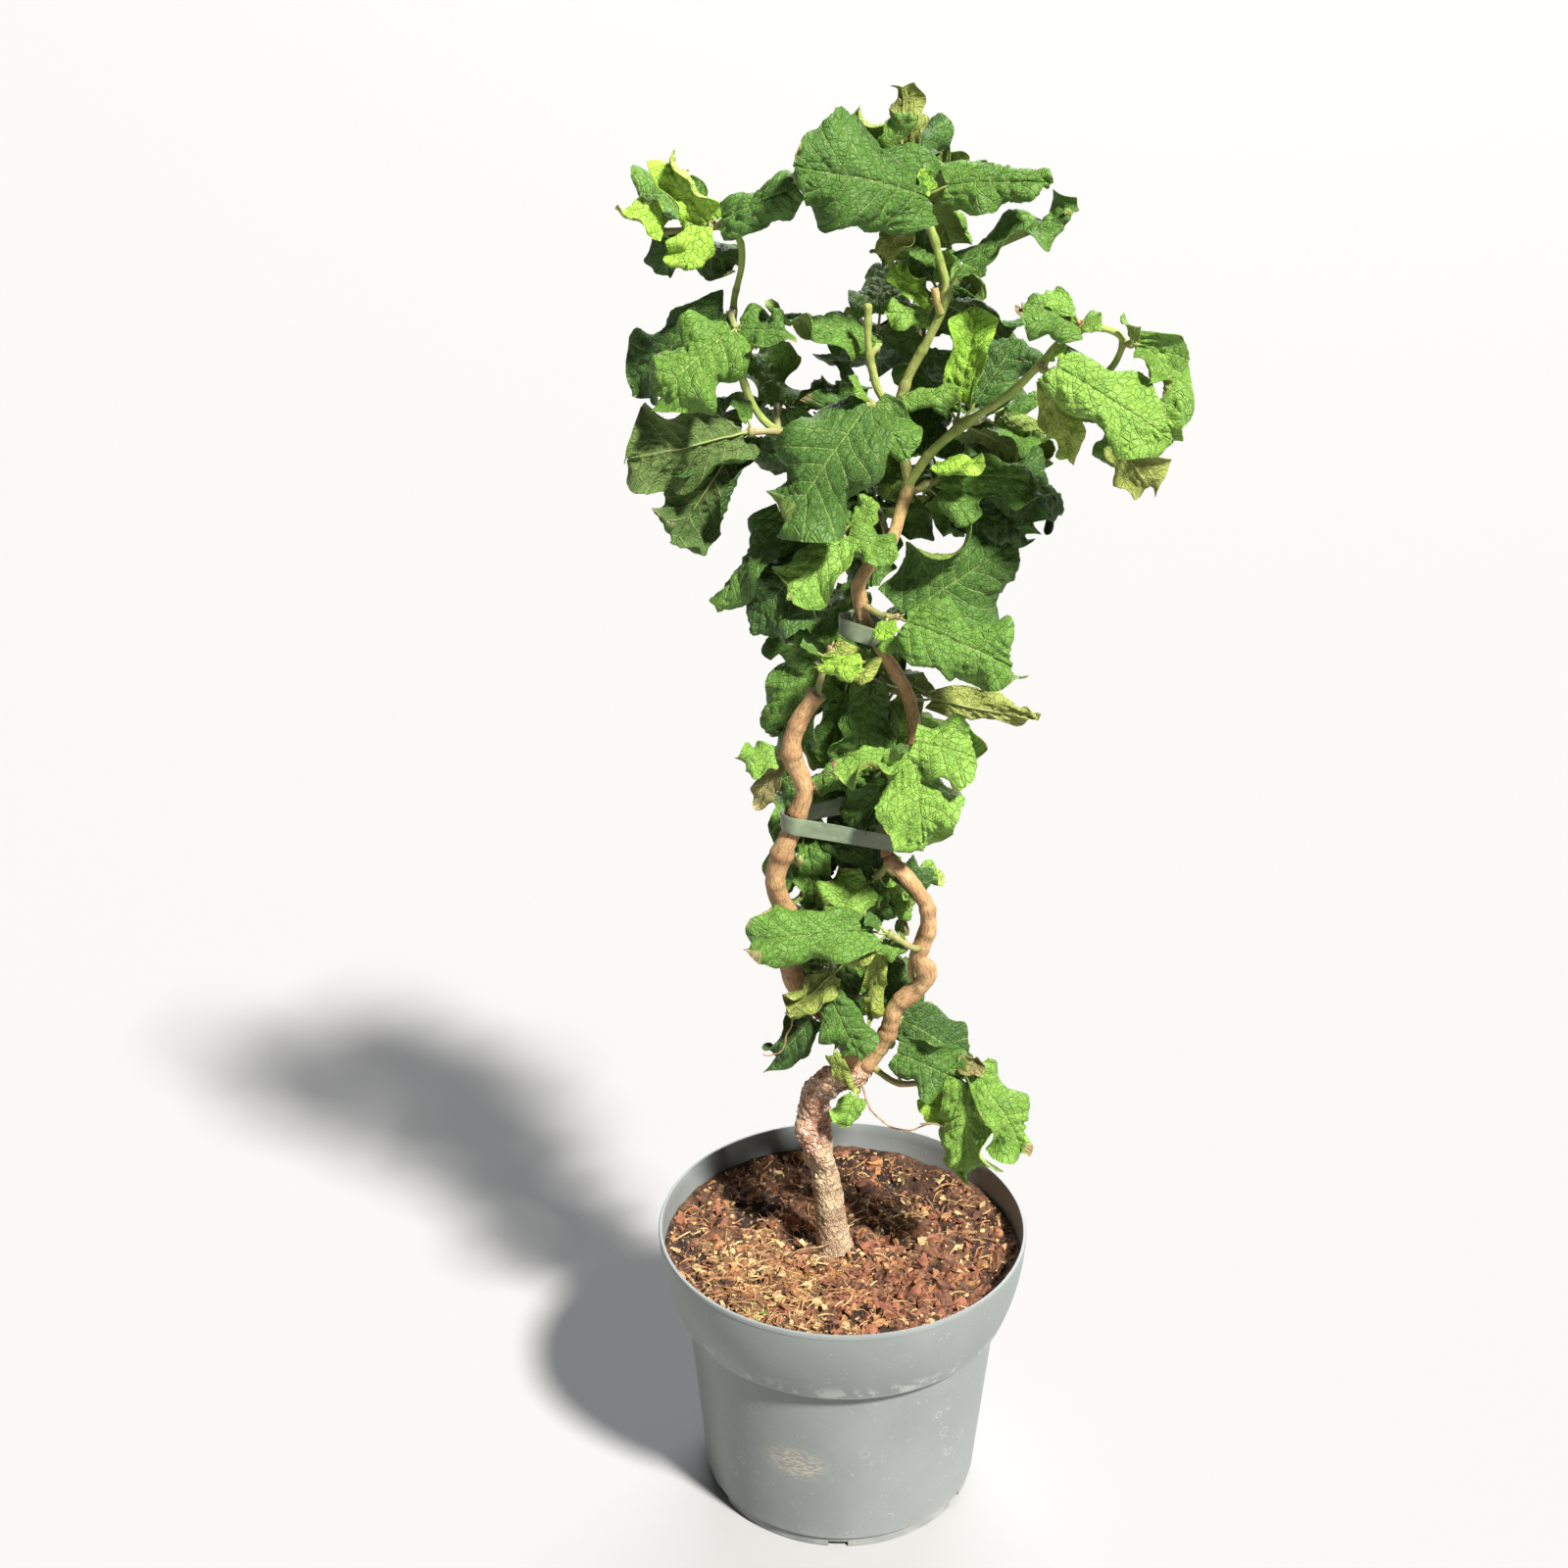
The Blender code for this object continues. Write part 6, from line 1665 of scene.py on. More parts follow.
@dataclass
class NurseryPot:
    """The banded pot: a turned shell with a soft lip, fine mould lines and drainage notches."""

    shape: PotShape
    segments: int = 144
    lip: float = 0.9
    notches: int = 6
    notch_size: Triple = (14.0, 6.0, 4.5)
    hub: float = 30.0

    def outside(self) -> list[tuple[float, float]]:
        """Radius and height up the outside, from the foot to the lip.

        Returns:
            The line's points in millimetres.
        """
        p = self.shape
        foot = p.base_radius - p.foot_inset
        line = [(foot, 0.8), (foot, p.foot_height - 0.5), (p.body(p.foot_height), p.foot_height)]
        for height in (40.0, 80.0, 120.0, p.neck - 0.4, p.neck + 0.2):
            line.append((p.body(height), height))
        line.append((p.band_foot_radius - 1.2, p.neck + 0.2))
        for depth in (p.band_height, p.band_height - 0.9, 52.0, 44.0, 36.0, 27.0, 18.0, 9.0, 4.2, 3.6):
            line.append((p.band(depth), p.height - depth))
        line += [(p.rim_radius + 0.25, p.height - 3.2), (p.rim_radius + 0.3, p.height - 1.2)]
        line += [(p.rim_radius - 0.1, p.height - 0.3), (p.rim_radius - self.lip, p.height)]
        return line

    def inside(self) -> list[tuple[float, float]]:
        """Radius and height down the inside, from the lip to the floor.

        Returns:
            The line's points in millimetres.
        """
        p = self.shape
        line = [(p.rim_radius - p.wall + 0.3, p.height), (p.rim_radius - p.wall - 0.1, p.height - 0.7)]
        for height in (200.0, 190.0, 178.0, 166.0, 152.0, p.neck, 60.0, p.floor):
            line.append((p.inner(height), height))
        return line

    def turn_up(self) -> Piece:
        """Draws the shell up from its base, ring by ring, and down again inside.

        Returns:
            The shell.
        """
        line = self.outside() + self.inside() + [(self.hub, self.shape.floor)]
        deselect()
        radius = line[0][0] - 0.8
        bpy.ops.mesh.primitive_circle_add(vertices=self.segments, radius=radius * MM, fill_type="NGON")
        pot = named("pot_shell")
        bpy.ops.object.mode_set(mode="EDIT")
        bpy.ops.mesh.select_all(action="SELECT")
        height = 0.0
        for wide, level in line:
            drop = (level - height) * MM
            bpy.ops.mesh.extrude_region_move(TRANSFORM_OT_translate={"value": (0, 0, drop)})
            share = wide / radius
            bpy.ops.transform.resize(value=(share, share, 1.0), center_override=(0, 0, level * MM))
            radius, height = wide, level
        bpy.ops.object.mode_set(mode="OBJECT")
        weld(pot)
        return pot

    def build(self) -> Piece:
        """Models the pot and cuts its notches.

        Returns:
            The piece, handed over.
        """
        pot = self.turn_up()
        long, deep, tall = (size * MM for size in self.notch_size)
        cutters = []
        for k in range(self.notches):
            angle = TURN * (k + 0.5) / self.notches
            out = self.shape.base_radius * MM
            place = (out * math.cos(angle), out * math.sin(angle), 0)
            deselect()
            bpy.ops.mesh.primitive_cube_add(
                size=1.0, location=place, rotation=(0, 0, angle), scale=(2 * deep, long, 2 * tall))
            bpy.ops.object.transform_apply(location=True, rotation=True, scale=True)
            cutters.append(named("notch"))
        cutter = join("notches", cutters)
        applied(pot, "BOOLEAN", object=cutter, operation="DIFFERENCE", solver="EXACT")
        bpy.data.objects.remove(cutter, do_unlink=True)
        smooth(pot, 32.0)
        return finished(painted(pot, PotPlastic().material()), "pot_plastic", "pot")


@dataclass(frozen=True)
class Litter:
    """Many copies of a few patterns that lie on the compost.

    numbers are the patterns' own. size is the smallest and the largest length in millimetres, sink
    the share of it that a copy sinks by, and tilt its largest tilt in radians. finishes are dealt out
    in turn. middle is the x, y and reach of a gathering, or none to cover all.
    """

    name: str
    pattern: Callable[[int], Piece]
    numbers: range
    count: int
    size: tuple[float, float]
    sink: float
    tilt: float
    finishes: tuple[Material, ...]
    middle: Triple | None = None


@dataclass
class Compost:
    """The bark compost: a lumpy crust, bark chips, crumbs, loose fibres and one small sprout."""

    shape: SoilShape
    pot: PotShape
    rows: int = 84
    columns: int = 216
    chips: int = 560
    crumbs: int = 2600
    fibres: int = 1700
    flakes: int = 420
    sprout: tuple[float, float] = (-58.0, -84.0)
    wall_room: float = 3.0
    trunk_room: float = 15.0
    hollow_level: float = -4.5
    hollow_bare: float = 0.7
    gathered: float = 0.6
    floor_gap: float = 0.3
    side_heights: tuple[float, ...] = (180.0, 166.0, 152.0, 146.6)
    hollows: tuple[Triple, ...] = (
        (-66, 42, 20), (-34, 6, 13), (34, 8, 14), (102, -38, 12), (50, 84, 24),
    )

    def lumps(self, x: Array, y: Array) -> Array:
        """Height of the lumps over the mounded surface, in millimetres.

        Args:
            x: Places to the right.
            y: Places to the back.

        Returns:
            The heights.
        """
        broad = Waves("broad lumps", 26.0).at(x, y)
        small = Waves("small lumps", 8.0, 14).at(x, y)
        grain = Waves("grain", 3.4, 14).at(x, y)
        edge = np.clip((self.pot.inner(190) - np.hypot(x, y)) / 12, 0.25, 1)
        high = (3.2 * broad + 2.2 * small + 0.8 * np.abs(grain)) * edge - 0.8
        for over, back, reach in self.hollows:
            high = high - 6.5 * np.exp(-(((x - over) ** 2 + (y - back) ** 2) / reach**2))
        return high

    def top(self, x: Array, y: Array) -> Array:
        """Height of the finished crust at a place."""
        return self.shape.top(x, y) + self.lumps(x, y)

    def crust(self) -> Piece:
        """The compost's body, closed under the surface.

        Returns:
            The crust.
        """
        reach = self.pot.inner(186.0) - 0.4
        share = np.linspace(0, 1, self.rows)[:, None] ** 0.8
        angle = np.linspace(0, TURN, self.columns + 1)[None, :]
        x, y = share * reach * np.cos(angle), share * reach * np.sin(angle)
        z = self.top(x, y)
        layers = [np.stack([x, y, z], axis=-1)]
        floor = self.pot.floor + self.floor_gap
        for height in (*self.side_heights, floor):
            radius = min(reach, self.pot.inner(height) - 0.5)
            ring = [radius * np.cos(angle), radius * np.sin(angle), np.full_like(angle, height)]
            layers.append(np.stack(ring, axis=-1))
        middle = np.zeros((1, self.columns + 1, 3))
        middle[..., 2] = floor
        places = np.concatenate([*layers, middle])
        places[0, :, :2] = 0.0
        places[:, -1] = places[:, 0]
        crust = sheet_of("compost_crust", places * MM)
        # Painted shade, stored in look: darker in the lumps' hollows and towards the back of the pot
        dark = np.clip(-self.lumps(places[..., 0], places[..., 1]) / 4.0, 0, 1)
        dark = np.maximum(dark, np.clip((places[..., 1] - 30) / 90, 0, 0.55))
        note(crust, "look", np.stack([dark, dark * 0, dark * 0], axis=-1))
        weld(crust)
        return crust

    def chip(self, number: int) -> Piece:
        """One broken bark chip, as a pattern to copy.

        Args:
            number: The pattern's number, which seeds it.

        Returns:
            The chip.
        """
        dice = random.Random(f"chip {number}")
        deselect()
        bpy.ops.mesh.primitive_cube_add(size=1.0)
        chip = named(f"chip_{number}")
        bpy.ops.object.mode_set(mode="EDIT")
        bpy.ops.mesh.select_all(action="SELECT")
        bpy.ops.transform.resize(value=(1.0, dice.uniform(0.5, 0.8), dice.uniform(0.22, 0.42)))
        bpy.ops.mesh.subdivide(number_cuts=1)
        bpy.ops.object.mode_set(mode="OBJECT")
        for corner in chip.data.vertices:
            corner.co += Vector(dice.uniform(-0.13, 0.13) for _ in range(3))
            corner.co.z += 0.12 * math.sin(4 * corner.co.x + number)
        return chip

    def crumb(self, number: int) -> Piece:
        """One crumb, as a pattern to copy.

        Args:
            number: The pattern's number, which seeds it.

        Returns:
            The crumb.
        """
        dice = random.Random(f"crumb {number}")
        deselect()
        bpy.ops.mesh.primitive_ico_sphere_add(subdivisions=1, radius=0.5)
        crumb = named(f"crumb_{number}")
        for corner in crumb.data.vertices:
            corner.co *= dice.uniform(0.65, 1.25)
            corner.co.z *= 0.6
        return crumb

    def strand(self, number: int) -> Piece:
        """One bent fibre of unit length, as a pattern to copy.

        Args:
            number: The pattern's number, which seeds it.

        Returns:
            The fibre.
        """
        dice = random.Random(f"strand {number}")
        t = np.linspace(0, 1, 6)
        bow, wave = dice.uniform(-0.22, 0.22), dice.uniform(-0.08, 0.08)
        path = np.stack([t - 0.5, bow * t * (1 - t) * 2 + wave * np.sin(5 * t),
                         0.14 * np.sin(math.pi * t) * dice.uniform(0.2, 1)], axis=-1)
        width = 0.016 if number % 3 else 0.045
        places, _ = rings(path, width * (1 - 0.5 * np.abs(2 * t - 1)), 3)
        strand = sheet_of(f"strand_{number}", pinch(places))
        weld(strand)
        return strand

    def spread(self, litter: Litter) -> Piece:
        """Scatters copies of patterns over the crust, each with a mesh of its own.

        Args:
            litter: What to scatter.

        Returns:
            The joined copies.
        """
        patterns = [litter.pattern(number) for number in litter.numbers]
        finishes, middle, tilt = litter.finishes, litter.middle, litter.tilt
        dice = random.Random(litter.name)
        limit = self.pot.inner(195.0) - self.wall_room
        copies = []
        while len(copies) < litter.count:
            if middle and dice.random() < self.gathered:
                x, y = dice.gauss(middle[0], middle[2]), dice.gauss(middle[1], middle[2])
            else:
                angle, out = dice.uniform(0, TURN), limit * math.sqrt(dice.random())
                x, y = out * math.cos(angle), out * math.sin(angle)
            long = dice.uniform(*litter.size) * (0.6 + 0.4 * dice.random())
            from_trunk = math.hypot(x - self.shape.trunk[0], y - self.shape.trunk[1])
            near_trunk = from_trunk < self.trunk_room + long * 0.4
            deep = float(self.lumps(np.array(x), np.array(y))) < self.hollow_level
            outside = math.hypot(x, y) + long * 0.5 > limit
            if outside or near_trunk or (deep and dice.random() < self.hollow_bare):
                continue
            level = float(self.top(np.array(x), np.array(y)))
            turn = Matrix.Rotation(dice.uniform(0, TURN), 4, "Z")
            lean = Matrix.Rotation(dice.uniform(-tilt, tilt), 4, "X")
            lean = lean @ Matrix.Rotation(dice.uniform(-tilt, tilt), 4, "Y")
            spot = Matrix.Translation(Vector((x, y, level - litter.sink * long)) * MM)
            copy = dice.choice(patterns).copy()
            copy.data = copy.data.copy()
            copy.data.transform(spot @ turn @ lean @ Matrix.Scale(long * MM, 4))
            bpy.context.scene.collection.objects.link(copy)
            copies.append(painted(copy, finishes[len(copies) % len(finishes)]))
        for pattern in patterns:
            bpy.data.objects.remove(pattern, do_unlink=True)
        return join(litter.name, copies)

    def young_sprout(self, finishes: Finishes) -> Piece:
        """A seedling of a few small rounded leaves.

        Args:
            finishes: The finishes.

        Returns:
            The seedling.
        """
        x, y = self.sprout
        foot = np.array([x, y, float(self.top(np.array(x), np.array(y))) - 1.0]) * MM
        pieces = []
        for k in range(7):
            angle, lift = 2.4 * k, 0.4 + 0.12 * k
            heading = np.array([math.cos(angle), math.sin(angle), lift])
            tip = foot + unit(heading) * (3.0 + 0.6 * k) * MM
            stalk = tube("sprout_stalk", np.linspace(foot, tip, 4), np.full(4, 0.35 * MM), 5)
            s, t = np.meshgrid(np.linspace(0, 1, 7), np.linspace(-1, 1, 7), indexing="ij")
            wide = np.sin(math.pi * np.clip(s * 0.94 + 0.03, 0, 1)) ** 0.7
            side = unit(np.cross(heading, (0, 0, 1)))
            up = unit(np.cross(side, heading))
            blade = tip + (s[..., None] * unit(heading) * 5.5 + (t * wide)[..., None] * side * 2.2
                           + ((t**2) * 0.8 - 1.2 * s**2)[..., None] * up) * MM
            leaf = painted(sheet_of("sprout_leaf", blade), finishes.leaves[LIGHT][0])
            applied(leaf, "SOLIDIFY", thickness=0.3 * MM, offset=0.0)
            pieces += [painted(stalk, finishes.stalk), leaf]
        return join("sprout", pieces)

    def build(self, finishes: Finishes) -> None:
        """Models and dresses all of the compost.

        Args:
            finishes: The finishes.
        """
        crust = painted(self.crust(), Earth().material())
        smooth(crust, 60.0)
        finished(crust, "compost", "soil")
        red = Fibre("bark_chip_red", (0.31, 0.132, 0.070), (0.15, 0.055, 0.030)).material()
        brown = Fibre("bark_chip_brown", (0.21, 0.092, 0.048), (0.055, 0.024, 0.015)).material()
        straw = Fibre("straw", (0.60, 0.45, 0.22), (0.38, 0.24, 0.11), 300.0).material()
        coir = Fibre("coir", (0.42, 0.22, 0.095), (0.22, 0.10, 0.042), 300.0).material()
        litters = (
            Litter("bark_chips", self.chip, range(7), self.chips, (4, 14), 0.02, 0.8,
                   (red, brown, red, coir, brown), (48.0, -58.0, 36.0)),
            Litter("crumbs", self.crumb, range(5), self.crumbs, (1.8, 5.5), 0.0, 1.5,
                   (red, brown, coir, red, straw)),
            Litter("fibres", self.strand, range(9), self.fibres, (8, 20), -0.05, 0.35,
                   (straw, coir, straw, coir, coir), (-48.0, -58.0, 36.0)),
            Litter("straw_flakes", self.chip, range(9, 13), self.flakes, (3, 8), -0.02, 0.5,
                   (straw, straw, coir), (-52.0, -55.0, 36.0)),
        )
        for litter in litters:
            piece = self.spread(litter)
            smooth(piece, 35.0)
            finished(piece, "compost")
        finished(self.young_sprout(finishes), "foliage")


# Knobs and hollows on the limbs, each its middle x, y and z, its height and its reach
MARKS: dict[str, tuple[tuple[float, ...], ...]] = {
    "trunk": ((-16, -13, 300, 1.6, 7), (-12, -12, 283, -1.8, 4), (-11, -13, 277, -1.6, 3.5),
              (-30, -6, 292, 1.5, 6), (-24, -9, 318, 1.6, 6), (-4, -12, 334, 1.8, 6),
              (-16, -10, 248, 1.1, 5), (-2, -10, 226, 0.8, 5), (-27, -2, 268, -1.2, 5),
              (2, -18, 345, 3.0, 9), (-8, -14, 338, 1.6, 6)),
    "stem_left": ((4, -14, 356, 3.4, 9), (-6, -10, 368, 2.2, 7), (-12, -4, 378, 1.5, 5),
                  (-42, -18, 474, 1.1, 4), (-30, -14, 545, 0.8, 4)),
    "stem_right": ((33, -20, 385, 1.2, 4), (50, -24, 409, 1.7, 5), (55, -22, 424, 1.0, 4)),
    "leader": ((9, -11, 690, 0.9, 4),),
    "leader_top": ((52, -9, 858, 0.9, 4), (30, 0, 800, 0.6, 4)),
}
# Thin dried strings at the fork and on the compost, each from the wood that carries it
THREADS: dict[str, tuple[Triple, ...]] = {
    "thread_left": ((-9, -19, 402), (-20, -24, 392), (-33, -25, 388), (-39, -24, 371),
                    (-43, -24, 360), (-50, -24, 357), (-55, -23, 358)),
    "thread_front": ((11, -14, 336), (15, -20, 322), (22, -24, 311), (33, -27, 304),
                     (44, -29, 303), (53, -30, 307), (60, -31, 309)),
    "thread_curl": ((74, -35, 352), (72, -37, 340), (79, -38, 332), (84, -37, 323),
                    (79, -36, 314), (70, -36, 311), (61, -34, 312), (52, -32, 310)),
    "soil_root": ((-3, -12, 201), (-12, -19, 200), (-22, -23, 201), (-31, -25, 200), (-36, -29, 198)),
}


@dataclass
class Wood:
    """The trunk and boughs: round skins with furrows, knuckles, knobs, scars and cut ends."""

    growth: Growth
    finishes: Finishes
    step: float = 1.4
    old_step: float = 1.0
    old_sides: int = 64
    sunk: float = 5.0

    def relief(self, limb: Limb, path: Array, out: Array, radii: Array) -> Array:
        """Height of the bark over its even skin, in millimetres, at every point of every ring.

        Args:
            limb: The limb.
            path: Its middle line.
            out: Outward direction of each point.
            radii: Its radii.

        Returns:
            The heights.
        """
        run = run_along(path)[:, None] / MM
        a, b = out[..., 0] * radii[:, None] / MM, out[..., 1] * radii[:, None] / MM
        c = out[..., 2] * radii[:, None] / MM + run
        if limb.bark is Bark.OLD:
            gnarl = 0.8 + 1.0 * np.clip((run - 55) / 45, 0, 1)
            ridges = 1 - np.abs(Waves("ridges", 7.0).at(a, b, c * 0.3))
            high = 1.25 * gnarl * Waves("gnarls", 15.0).at(a, b, c * 0.6)
            high = high + 0.75 * gnarl * ridges + 0.42 * gnarl * Waves("scales", 3.4, 14).at(a, b, c * 0.8)
            return high - 0.4
        strength = 0.55 if limb.bark is Bark.TAN else 0.22
        high = strength * Waves(limb.name, 13.0).at(a, b, c * 0.5)
        return high + 0.3 * strength * Waves(limb.name + " furrows", 3.2, 12).at(a * 1.4, b * 1.4, c * 0.25)

    def knuckles(self, limb: Limb, path: Array) -> Array:
        """How close each ring is to where a twig leaves, and to an old bud scar, from 0 to 1.

        Args:
            limb: The limb.
            path: Its middle line.

        Returns:
            The closeness of each ring.
        """
        near = np.zeros(len(path))
        for spray in SPRAYS:
            if spray.bough == limb.name:
                foot = self.growth.stems[spray.name][0][0]
                near = np.maximum(near, np.exp(-((np.linalg.norm(path - foot, axis=1) / (3.2 * MM)) ** 2)))
        dice = random.Random(limb.name + " scars")
        run = run_along(path) / MM
        scar = dice.uniform(12, 24)
        while scar < run[-1] - 6 and limb.bark is not Bark.OLD:
            near = np.maximum(near, 0.55 * np.exp(-(((run - scar) / 1.8) ** 2)))
            scar += dice.uniform(20, 38)
        return near

    def limb(self, limb: Limb) -> Piece:
        """One limb with its bark.

        Args:
            limb: The limb.

        Returns:
            The piece, handed over.
        """
        line = curve_through(limb.bends, 16)
        radii = limb_radii(limb, line)
        old = limb.bark is Bark.OLD
        path, radii = dense(line, radii, (self.old_step if old else self.step) * MM)
        if old:
            path = np.vstack([path[:1] - (0, 0, self.sunk * MM), path])
            radii = np.concatenate([radii[:1] * 1.05, radii])
        count = self.old_sides if old else max(18, int(radii.mean() / MM * 5))
        knuckle = self.knuckles(limb, path)
        radii = radii * (1 + (0.16 if limb.bark is Bark.TAN else 0.26) * knuckle)
        even, out = rings(path, radii, count)
        high = self.relief(limb, path, out, radii)
        for *middle, rise, wide in MARKS.get(limb.name, ()):
            apart = np.linalg.norm(even - np.array(middle) * MM, axis=-1) / (wide * MM)
            high = high + rise * np.exp(-(apart**2))
        high[:, -1] = high[:, 0]
        taper = np.clip(np.arange(len(path))[::-1] / 4, 0, 1)[:, None]
        places = even + out * (high * taper)[..., None] * MM
        if not limb.cut:
            places[-1] = path[-1] + (places[-1] - path[-1]) * 0.55
        share = run_along(path) / run_along(path)[-1]
        green = limb.green[0] + (limb.green[1] - limb.green[0]) * share
        look = np.stack([np.broadcast_to(green[:, None], out.shape[:2]),
                         np.broadcast_to(knuckle[:, None], out.shape[:2]), out[..., 0] * 0], axis=-1)
        run = np.broadcast_to(run_along(path)[:, None, None], (*out.shape[:2], 1)) * 100
        turned = out[..., :2] * radii[:, None, None] * 100
        lay = np.concatenate([turned, run + 10 * len(limb.name)], axis=-1)
        skin = painted(sheet_of(limb.name + "_bark", pinch(places)),
                       self.finishes.bark[limb.bark], self.finishes.wood)
        note(skin, "look", np.concatenate([look[:1], look, look[-1:]]))
        note(skin, "lay", np.concatenate([lay[:1], lay, lay[-1:]]))
        if limb.cut:
            rows = len(path) + 1
            index = np.where(np.arange(rows * count) % rows == rows - 1, 1, 0)
            skin.data.polygons.foreach_set("material_index", index.astype(np.int32))
        weld(skin)
        smooth(skin, 55.0)
        return finished(skin, limb.bark.value, limb.name)

    def threads(self) -> None:
        """Models the dried strings."""
        pieces = []
        for name, bends in THREADS.items():
            line = curve_through(bends, 8)
            path, radii = dense(line, np.linspace(0.75, 0.5, len(line)) * MM, 1.5 * MM)
            wobble = Waves(name, 16.0)
            run = run_along(path) / MM
            radii = radii * (1 + 0.22 * Waves(name + " width", 7.0).at(run))
            path = path + np.stack([wobble.at(run + shift) for shift in (0, 40, 90)], axis=-1) * 0.5 * MM
            pieces.append(painted(tube(name, path, radii, 7), self.finishes.thread))
        threads = join("dry_threads", pieces)
        weld(threads)
        smooth(threads, 80.0)
        finished(threads, "tan_bark")

    def build(self) -> None:
        """Models and dresses every limb."""
        for limb in LIMBS:
            self.limb(limb)
        self.threads()


@dataclass
class Straps:
    """The two soft straps, each a band with rounded edges and a lapped end."""

    finish: Material
    corners: int = 72
    step: float = 1.6
    thinner: float = 0.8
    lapped: tuple[int, int] = (-5, 7)

    def strap(self, tie: Tie) -> Piece:
        """One strap: the band, and the free end that laps over it at the back.

        Args:
            tie: The tie.

        Returns:
            The piece, handed over.
        """
        loop = tie.loop(self.corners)
        loop, _ = dense(np.vstack([loop, loop[:1]]), np.zeros(len(loop) + 1), self.step)
        loop[-1] = loop[0]
        ahead = np.roll(loop[:-1], -1, axis=0) - np.roll(loop[:-1], 1, axis=0)
        out = np.array([unit((y, -x, 0)) for x, y, _ in np.vstack([ahead, ahead[:1]])])
        run = run_along(loop)[:, None]
        over = np.linspace(-1, 1, 11)[None, :]
        ripple = 0.28 * np.sin(TURN * 3 * run / run[-1] + 1.5 * over) * np.abs(over)
        rise = 0.45 * np.sin(TURN * 2 * run / run[-1])
        crown = 0.22 * (1 - over**2) + ripple
        places = (loop[:, None] + out[:, None] * crown[..., None]
                  + np.array((0, 0, 1.0)) * (over * tie.wide / 2 + rise)[..., None])
        band = sheet_of(tie.name + "_strap", places * MM)
        weld(band, 1e-5)
        flat = tie.thick * self.thinner * MM
        applied(band, "SOLIDIFY", thickness=flat, offset=0.0)
        back = loop[:-1, 1].argmax()
        lap = (back + np.arange(*self.lapped)) % (len(loop) - 1)
        lift = np.linspace(0.9, 1.25, len(lap))[:, None, None]
        end = loop[lap][:, None] + out[lap][:, None] * lift + np.array((0, 0, 1.0)) * (
            over * tie.wide / 2 * 0.96 + rise[lap] + 0.5)[..., None]
        tail = sheet_of("tail", end * MM)
        applied(tail, "SOLIDIFY", thickness=flat, offset=0.0)
        strap = join(tie.name + "_strap", [band, tail])
        weld(strap)
        applied(strap, "BEVEL", width=0.25 * MM, segments=2, limit_method="ANGLE",
                angle_limit=math.radians(50))
        smooth(strap, 40.0)
        return finished(painted(strap, self.finish), "strap", tie.name)


# How many shaded leaves each spray of a region tries to grow inside
INNER_LEAVES = {Region.SHOULDER: 5, Region.COLUMN: 8, Region.WAIST: 8, Region.BASE: 3}


